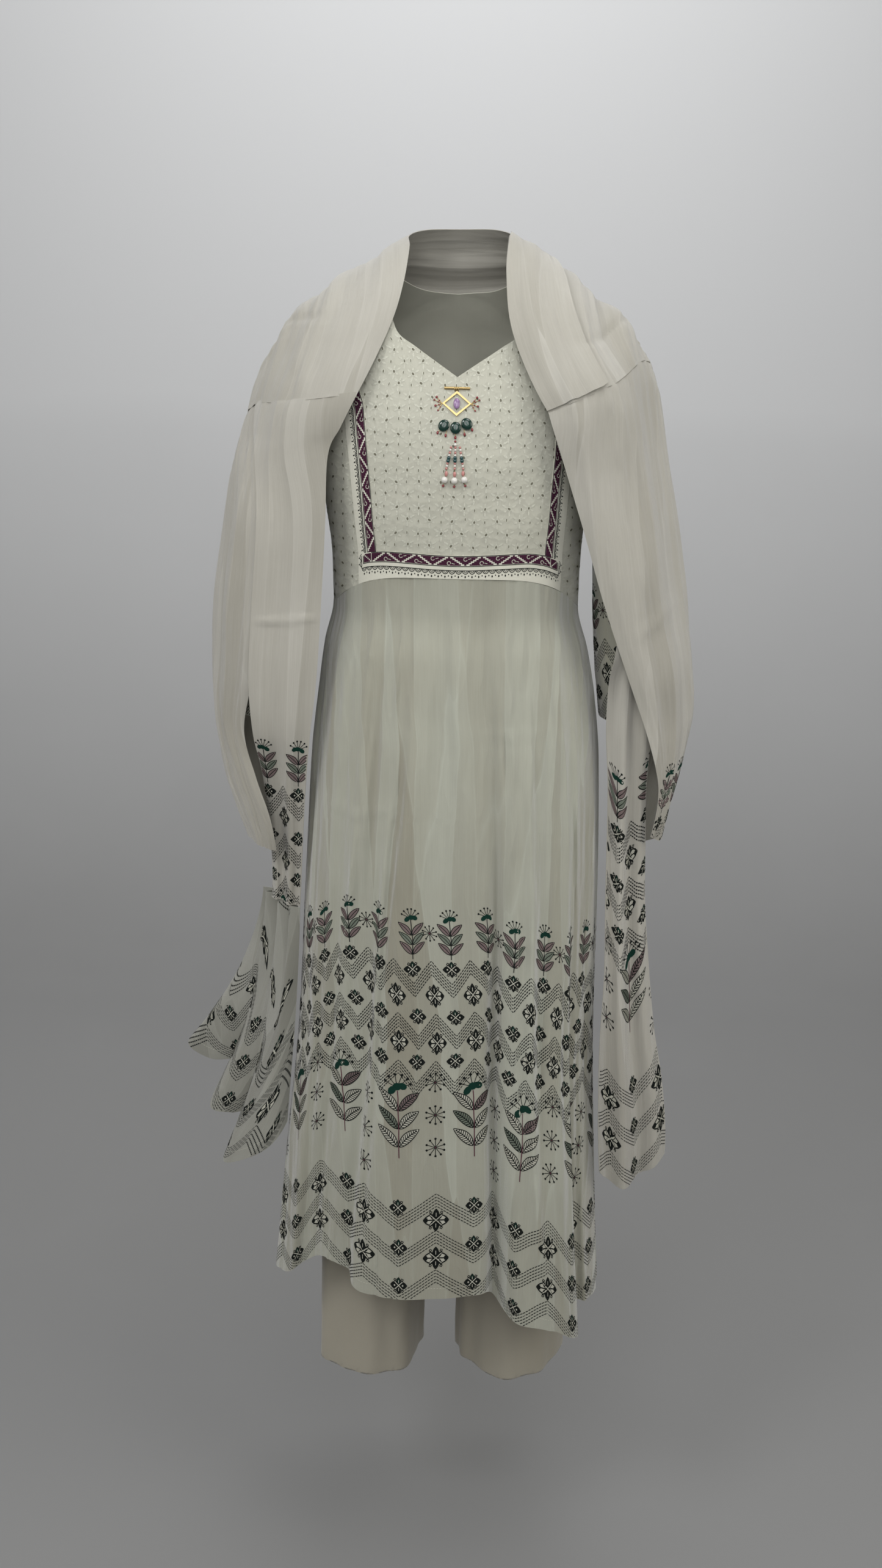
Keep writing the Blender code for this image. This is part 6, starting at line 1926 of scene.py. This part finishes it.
class Beads:
    """Joined beads and wires on the yoke, each with its own paint."""

    def __init__(self, yoke):
        """No beads yet, on a yoke's grid and normals."""
        self.grid, self.normals, _ = yoke
        self.points, self.faces, self.kinds = [], [], []
        self.count = 0

    def seat(self, x, drop, out):
        """A point over the yoke's face, and the way out of it."""
        row, column = find(self.grid[..., 0], self.grid[..., 2], np.array([x]), np.array([-drop]))
        r, c = int(row[0]), int(column[0])
        share = np.clip(row[0] - r, 0, 1)
        point = self.grid[r, c] * (1 - share) + self.grid[r + 1, c] * share
        normal = self.normals[r, c]
        return point + normal * (THIN / 2 + out) + np.array([x - point[0], 0, 0]), normal

    def add(self, points, faces, kind):
        """One more bead or wire."""
        self.points.append(points)
        self.faces.append(np.asarray(faces) + self.count)
        self.kinds += [BEAD_KINDS.index(kind)] * len(faces)
        self.count += len(points)

    def oval(self, kind, x, drop, wide, tall, deep, turn=0.0, around=10, levels=7, out=None):
        """A round or drop-shaped bead, sizes in millimetres."""
        place, normal = self.seat(x, drop, (deep if out is None else out) / 1000)
        side = np.cross(normal, (0, 0, 1))
        side /= np.linalg.norm(side)
        up = np.cross(side, normal)
        c, s = rotation(turn)[0]
        axes = np.array([c * side + s * up, c * up - s * side, normal])
        rings = []
        for polar in np.linspace(0, math.pi, levels):
            turns = np.linspace(0, 2 * math.pi, around, endpoint=False)
            rings.append(np.column_stack([np.cos(turns) * math.sin(polar) * wide,
                                          np.full(around, math.cos(polar) * tall),
                                          np.sin(turns) * math.sin(polar) * deep]))
        points = np.vstack(rings) / 1000 @ axes + place
        r, c = (a.ravel() for a in np.mgrid[0 : levels - 1, 0:around])
        a, b = r * around + c, r * around + (c + 1) % around
        self.add(points, split(a, b, b + around, a + around), kind)

    def wire(self, kind, start, end, radius, out, sides=6):
        """A straight wire between two places on the yoke, radius and height over it in millimetres."""
        (one, normal), (other, _) = self.seat(*start, out / 1000), self.seat(*end, out / 1000)
        way = (other - one) / np.linalg.norm(other - one)
        aside = np.cross(way, normal)
        turns = np.linspace(0, 2 * math.pi, sides, endpoint=False)
        ring = (np.cos(turns)[:, None] * aside + np.sin(turns)[:, None] * normal) * radius / 1000
        a = np.arange(sides)
        b = (a + 1) % sides
        self.add(np.vstack([one + ring, other + ring]), split(a, b, b + sides, a + sides), kind)

    def finish(self, name, paints, slot, replaces=()):
        """All of them as one piece of the set."""
        kinds, numbers = np.unique(self.kinds, return_inverse=True)
        mesh = mesh_of(name, np.vstack(self.points), np.vstack(self.faces), face_materials=numbers)
        return put(name, mesh, [paints[BEAD_KINDS[kind]] for kind in kinds], replaces)


def in_mm(radii):
    """Half width, half height and half depth in millimetres, from a solid's radii along x, y, z."""
    wide, deep, tall = radii
    return 1000 * wide, 1000 * tall, 1000 * deep


def make_stones(yoke, paints):
    """The oval stone in the frame and the three leaves below it, each with a pale vein."""
    stone = Beads(yoke)
    stone.oval("violet", 0, FRAME_DROP, *in_mm(STONE_RADII), around=24, levels=15)
    stone.finish("stone_bead", paints, "violet_stone", ["ornament_stone"])
    leaves = Beads(yoke)
    for leaf in LEAVES:
        turn = leaf.turn
        leaves.oval("green", leaf.x, leaf.drop, *in_mm(LEAF_RADII), turn=turn, around=24, levels=15)
        leaves.oval("jade", leaf.x, leaf.drop, *LEAF_VEIN, turn=turn, out=2000 * LEAF_RADII[1])
    leaves.finish("leaf_beads", paints, "green_stone", [f"ornament_leaf_{n}" for n in (1, 2, 3)])


def make_tassel(yoke, paints):
    """Three strings of small beads, each with a large pearl at its foot."""
    beads = Beads(yoke)
    for pearl in PEARLS:
        size = 1000 * PEARL_RADIUS
        beads.oval("white", pearl.x, pearl.drop, size, size, size, around=20, levels=13)
        top = (pearl.x * STRAND_GATHER, STRING_TOP)
        for number, kind in enumerate(STRING_BEADS):
            share = (number * STRING_STEP) / (pearl.drop - PEARL_RADIUS - STRING_TOP)
            x = top[0] + (pearl.x - top[0]) * share
            size = TEAL_BEAD if kind == "teal" else STRING_BEAD
            beads.oval(kind, x, STRING_TOP + number * STRING_STEP, size, size, size)
        beads.wire("gold", top, (pearl.x, pearl.drop), 0.25, 0.9)
        beads.oval("pink", pearl.x * 0.85, pearl.drop - 0.0060, *CAP_BEAD)
        foot = pearl.x * 1.12
        beads.oval("red", foot, pearl.drop + 0.0062, FOOT_BEAD, FOOT_BEAD, FOOT_BEAD)
        beads.wire("gold", (pearl.x, pearl.drop + 0.003), (foot, pearl.drop + 0.006), 0.25, 0.9)
    for kind, drop, size in TASSEL_HEAD:
        beads.oval(kind, TASSEL_HEAD_X, drop, size, size, size)
    replaced = [f"ornament_{kind}_{n}" for kind in ("pearl", "strand") for n in (1, 2, 3)]
    beads.finish("tassel_beads", paints, "pearl", replaced)


def make_twigs(yoke, paints):
    """Wires with red beads at the frame's corners and below the leaves, and loops round the bar."""
    beads = Beads(yoke)
    for side in (LEFT, RIGHT):
        corner = side * (FRAME_HALF_WIDTH + FRAME_BAR)
        for twig in TWIGS:
            end = (corner + side * twig.reach, twig.drop)
            beads.wire("gold", (corner, FRAME_DROP), end, 0.35, 0.7)
            beads.oval("red", *end, twig.size, twig.size, twig.size)
            half = ((corner + end[0]) / 2, (FRAME_DROP + twig.drop) / 2)
            beads.oval("red", *half, TWIG_BEAD, TWIG_BEAD, TWIG_BEAD)
    for drop in LEAF_DROPS:
        beads.wire("gold", drop.top, drop.foot, 0.3, 0.6)
        beads.oval("red", *drop.foot, *LEAF_DROP_BEAD)
    for x in LOOP_XS:
        beads.oval("gold", x, BAR_DROP + 0.001, *LOOP_SIZE, out=1.2)
    beads.finish("small_beads", paints, "gold")


class Nodes:
    """A material's nodes, made and joined in short lines."""

    def __init__(self, name):
        """A new material with its own node tree."""
        self.material = bpy.data.materials.new(name)
        self.material.use_nodes = True
        self.tree = self.material.node_tree
        self.shader = self.tree.nodes["Principled BSDF"]

    def feed(self, target, value):
        """Join a socket to another one, or set it to a value."""
        if isinstance(value, bpy.types.NodeSocket):
            self.tree.links.new(value, target)
        else:
            target.default_value = value

    def node(self, kind, inputs=(), **settings):
        """A new node with its settings and inputs."""
        node = self.tree.nodes.new(kind)
        for key, value in settings.items():
            setattr(node, key, value)
        for socket, value in dict(inputs).items():
            self.feed(node.inputs[socket], value)
        return node

    def math(self, operation, a, b=0.0, c=0.0):
        """The result of a sum on up to three numbers."""
        return self.node("ShaderNodeMath", {0: a, 1: b, 2: c}, operation=operation).outputs[0]

    def clamped(self, value):
        """A number kept between 0 and 1."""
        return self.math("MAXIMUM", self.math("MINIMUM", value, 1.0), 0.0)

    def mix(self, share, a, b):
        """A colour between two others."""
        node = self.node("ShaderNodeMix", data_type="RGBA")
        for socket, value in (("Factor_Float", share), ("A_Color", (*a, 1)), ("B_Color", (*b, 1))):
            self.feed(next(i for i in node.inputs if i.identifier == socket), value)
        return next(o for o in node.outputs if o.identifier == "Result_Color")

    def set(self, **values):
        """Inputs of the shader, with underscores for the spaces of their names."""
        for socket, value in values.items():
            self.feed(self.shader.inputs[socket.replace("_", " ")], value)


def woven(
    name, colour, shade, thread, roughness, sheen, slub=0.35, crumple=0.0011, facets=(), facet_shading=0.0
):
    """Plain weave: crossed threads, slubs here and there, soft uneven dye, and creasing.

    Each facet layer gives the width, the length and the depth of the flats that crushed cloth
    breaks into. The flats of the first layer differ in tone by the share facet_shading: painted
    light and shade on the crushed flats, with painted highlights along the creases between them.
    """
    n = Nodes(name)
    uv = n.node("ShaderNodeUVMap", uv_map="cloth").outputs[0]
    place = n.node("ShaderNodeTexCoord").outputs["Object"]
    threads = {"Vector": uv, "Scale": WAVE_SCALE / thread}
    threads.update({"Distortion": 0.6, "Detail": 1.0, "Detail Scale": 0.3})
    waves = [n.node("ShaderNodeTexWave", threads, bands_direction=way) for way in ("X", "Y")]
    weave = n.math("MAXIMUM", *(wave.outputs["Fac"] for wave in waves))

    def noise(vector, scale, detail, rough=0.5, output="Fac"):
        """An uneven pattern."""
        settings = {"Vector": vector, "Scale": scale, "Detail": detail, "Roughness": rough}
        return n.node("ShaderNodeTexNoise", settings).outputs[output]

    stretched = n.node("ShaderNodeMapping", {"Vector": uv, "Scale": SLUB_STRETCH}).outputs[0]
    slubs = noise(stretched, 1.0, 2.0)
    swell = noise(place, CRUMPLE_SCALE, 4.0, 0.55)
    dye = noise(place, DYE_SCALE, 3.0)
    tone = n.math("MULTIPLY_ADD", slubs, slub, n.math("MULTIPLY", dye, 1 - slub))
    height = n.math("MULTIPLY_ADD", weave, THREAD_HEIGHT, n.math("MULTIPLY", slubs, SLUB_HEIGHT))
    height = n.math("MULTIPLY_ADD", swell, crumple, height)
    for number, (width, length, depth) in enumerate(facets):
        settings = {"Vector": uv, "Location": (3.7 * number, 1.3, 0)}
        settings["Scale"] = (1 / width, 1 / length, 1)
        hung = n.node("ShaderNodeMapping", settings).outputs[0]
        stir = {0: noise(hung, 0.8, 2.0, output="Color"), 1: (0.7, 0.7, 0), 2: hung}
        bent = n.node("ShaderNodeVectorMath", stir, operation="MULTIPLY_ADD").outputs[0]
        cells = {"Vector": bent, "Scale": 1.0}
        flats = n.node("ShaderNodeTexVoronoi", cells, voronoi_dimensions="2D").outputs
        height = n.math("MULTIPLY_ADD", flats["Distance"], depth, height)
        # Painted light and shade: each flat of the first layer is toned lighter or darker at random,
        # for how light falls on crushed cloth
        if number == 0 and facet_shading:
            random = n.node("ShaderNodeSeparateColor", {0: flats["Color"]}).outputs[0]
            tone = n.math("MULTIPLY_ADD", random, facet_shading, n.math("SUBTRACT", tone, facet_shading / 2))
            # Painted highlight: a pale line along the creases between the flats
            edges = {"voronoi_dimensions": "2D", "feature": "DISTANCE_TO_EDGE"}
            edge = n.node("ShaderNodeTexVoronoi", cells, **edges).outputs["Distance"]
            line = n.math("SUBTRACT", 1.0, n.math("MINIMUM", n.math("DIVIDE", edge, CREASE_HIGHLIGHT_WIDTH), 1.0))
            tone = n.math("MULTIPLY_ADD", line, facet_shading / 4, tone)
    n.set(Base_Color=n.mix(n.clamped(tone), shade, colour))
    n.set(Roughness=n.math("MULTIPLY_ADD", slubs, 0.12, roughness - 0.06))
    bump = n.node("ShaderNodeBump", {"Height": height, "Strength": 0.75, "Distance": 1.0})
    n.set(Normal=bump.outputs[0])
    n.set(Sheen_Weight=sheen, Sheen_Roughness=0.45, Specular_IOR_Level=0.3)
    return n.material


def plain(name, colour, roughness, metallic=0.0, coat=0.0, mottle=0.12, scale=300.0, shine=0.5):
    """A plain hard or printed finish with slight uneven tone and roughness."""
    n = Nodes(name)
    place = n.node("ShaderNodeTexCoord").outputs["Object"]
    settings = {"Vector": place, "Scale": scale, "Detail": 3.0}
    noise = n.node("ShaderNodeTexNoise", settings).outputs["Fac"]
    darker = tuple(c * (1 - 2 * mottle) for c in colour)
    lighter = tuple(min(1.0, c * (1 + 2 * mottle)) for c in colour)
    n.set(Base_Color=n.mix(noise, darker, lighter))
    n.set(Roughness=n.math("MULTIPLY_ADD", noise, 0.16, roughness - 0.08))
    n.set(Metallic=metallic, Coat_Weight=coat, Specular_IOR_Level=shine)
    return n.material


def add_camera():
    """The photo's camera, which looks a little down and is rolled slightly."""
    data = bpy.data.cameras.new("photo_camera")
    data.sensor_fit = "VERTICAL"
    data.sensor_height = SENSOR_HEIGHT
    data.lens = FOCAL_IN_PIXELS / PHOTO_HEIGHT * SENSOR_HEIGHT
    data.clip_start = CLIP_START
    camera = bpy.data.objects.new("photo_camera", data)
    right = Vector((1, 0, 0))
    ahead = Vector((0, math.cos(CAMERA_PITCH), -math.sin(CAMERA_PITCH)))
    up = right.cross(ahead)
    turn = Matrix((right, up, -ahead)).transposed() @ Matrix.Rotation(CAMERA_ROLL, 3, "Z")
    camera.matrix_world = Matrix.Translation(CAMERA_PLACE) @ turn.to_4x4()
    bpy.context.scene.collection.objects.link(camera)
    bpy.context.scene.camera = camera


def add_light(light):
    """A round soft lamp that faces its target."""
    data = bpy.data.lights.new(light.name, "AREA")
    data.shape = "DISK"
    data.size = light.size
    data.energy = light.power
    data.color = light.colour
    lamp = bpy.data.objects.new(light.name, data)
    lamp.location = light.place
    way = Vector(light.target) - Vector(light.place)
    lamp.rotation_euler = way.to_track_quat("-Z", "Y").to_euler()
    bpy.context.scene.collection.objects.link(lamp)


def backdrop_paint():
    """Matt wall paint, paler towards the top as the wall is lit from above."""
    n = Nodes("backdrop_paint")
    place = n.node("ShaderNodeTexCoord").outputs["Object"]
    height = n.node("ShaderNodeSeparateXYZ", {"Vector": place}).outputs["Z"]
    noise = n.node("ShaderNodeTexNoise", {"Vector": place, "Scale": 3.0, "Detail": 3.0}).outputs["Fac"]
    share = n.math("DIVIDE", n.math("ADD", height, FLOOR_DROP), WALL_PALE_HEIGHT)
    share = n.math("MULTIPLY_ADD", noise, 0.06, n.math("SUBTRACT", share, 0.03))
    n.set(Base_Color=n.mix(n.clamped(share), WALL_FOOT, WALL_TOP), Roughness=0.9)
    return n.material


def add_stage():
    """A plain pale floor that sweeps up into a wall, and soft light from above and in front."""
    profile = [(-STAGE_REACH, -FLOOR_DROP)]
    for turn in np.linspace(0, math.pi / 2, STAGE_STEPS + 1):
        y = STAGE_BACK - STAGE_BEND + STAGE_BEND * math.sin(turn)
        profile.append((y, -FLOOR_DROP + STAGE_BEND - STAGE_BEND * math.cos(turn)))
    profile.append((STAGE_BACK, STAGE_TOP))
    xs = np.linspace(-STAGE_REACH, STAGE_REACH, STAGE_COLUMNS)
    grid = np.array([[(x, y, z) for x in xs] for y, z in profile])
    quads, _ = grid_quads(len(profile), STAGE_COLUMNS)
    mesh = mesh_of("backdrop", grid.reshape(-1, 3), quads)
    mesh.materials.append(backdrop_paint())
    stage = bpy.data.objects.new("backdrop", mesh)
    bpy.context.scene.collection.objects.link(stage)
    world = bpy.data.worlds.new("studio")
    world.use_nodes = True
    background = world.node_tree.nodes["Background"]
    background.inputs["Color"].default_value = WORLD_COLOUR
    background.inputs["Strength"].default_value = WORLD_STRENGTH
    bpy.context.scene.world = world
    bpy.context.scene.view_settings.view_transform = "Standard"
    for light in LIGHTS:
        add_light(light)


# facet_shading paints light and shade onto the crushed flats of these cloths, with painted highlights
# along their creases
COTTON = woven("fine_cotton", SKIRT_CREAM, SKIRT_SHADE, 0.00045, 0.75, 0.7,
               facets=((0.032, 0.50, 0.0085), (0.015, 0.085, 0.0030)), facet_shading=0.75)
YOKE_COTTON = woven("yoke_cotton", CREAM, CREAM_WARM, 0.00050, 0.85, 0.5, crumple=0.0022,
                    facets=((0.0080, 0.0090, 0.0013),))
BACK_COTTON = woven("back_cotton", CREAM, CREAM_WARM, 0.00045, 0.85, 0.5)
TROUSER_COTTON = woven("trouser_cotton", TROUSER_CREAM, TROUSER_SHADE, 0.00060, 0.9, 0.3,
                       facets=((0.030, 0.16, 0.0050),), facet_shading=0.6)
SCARF_SILK = woven("scarf_silk_cotton", SCARF_CREAM, SCARF_SHADE, 0.00035, 0.50, 0.5, slub=0.5,
                   facets=((0.030, 0.70, 0.0060), (0.010, 0.16, 0.0014)), facet_shading=0.6)
# Painted shade: the scarf's end is a darker copy of the scarf's cloth
END_SILK_SHADED = woven("scarf_end_silk_shaded", END_CREAM_SHADED, END_SHADE, 0.00035, 0.6, 0.4, slub=0.5,
                 facets=((0.030, 0.20, 0.0050),), facet_shading=0.8)
STRIP_COTTON = woven("strip_cotton", STRIP_CREAM, STRIP_SHADE, 0.00050, 0.85, 0.2)

BEAD_PAINTS = {
    "gold": plain("gold_beads", GOLD, 0.28, metallic=1.0),
    "violet": plain("violet_glass", (0.28, 0.17, 0.33), 0.12, coat=0.6),
    "green": plain("green_glass", (0.002, 0.026, 0.018), 0.14, coat=0.6),
    "red": plain("red_glass", (0.22, 0.025, 0.03), 0.15, coat=0.5),
    "pink": plain("pink_glass", (0.50, 0.22, 0.20), 0.2, coat=0.4),
    "teal": plain("teal_pearl", (0.004, 0.048, 0.050), 0.2, coat=0.5),
    "jade": plain("pale_jade", (0.03, 0.12, 0.09), 0.3, coat=0.4),
    "white": plain("white_pearl", (0.70, 0.68, 0.64), 0.2, coat=0.5, mottle=0.05),
}
INK_FINISH = {"mottle": 0.16, "scale": 900.0, "shine": 0.15}
INK_PAINTS = [plain("ink_" + ink, INK_COLOURS[ink], 0.8, **INK_FINISH) for ink in INKS]

yoke = make_yoke(YOKE_COTTON, BACK_COTTON, STRIP_COTTON, INK_PAINTS)
make_skirt(COTTON, INK_PAINTS)
make_sleeves(COTTON, INK_PAINTS)
make_trousers(TROUSER_COTTON)
make_scarf(SCARF_SILK, END_SILK_SHADED, INK_PAINTS)
make_stones(yoke, BEAD_PAINTS)
make_tassel(yoke, BEAD_PAINTS)
make_twigs(yoke, BEAD_PAINTS)

# Finishes of the solids that stay in view, by how their names begin
FINISHES = {
    "ornament_bar": plain("gold_bar", GOLD, 0.28, metallic=1.0),
    "ornament_frame": plain("gold_frame", GOLD, 0.30, metallic=1.0),
    "waistband": TROUSER_COTTON,
}
for node_name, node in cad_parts.items():
    for key, finish in FINISHES.items():
        if node_name.startswith(key):
            node.data.materials.clear()
            node.data.materials.append(finish)

add_camera()
add_stage()
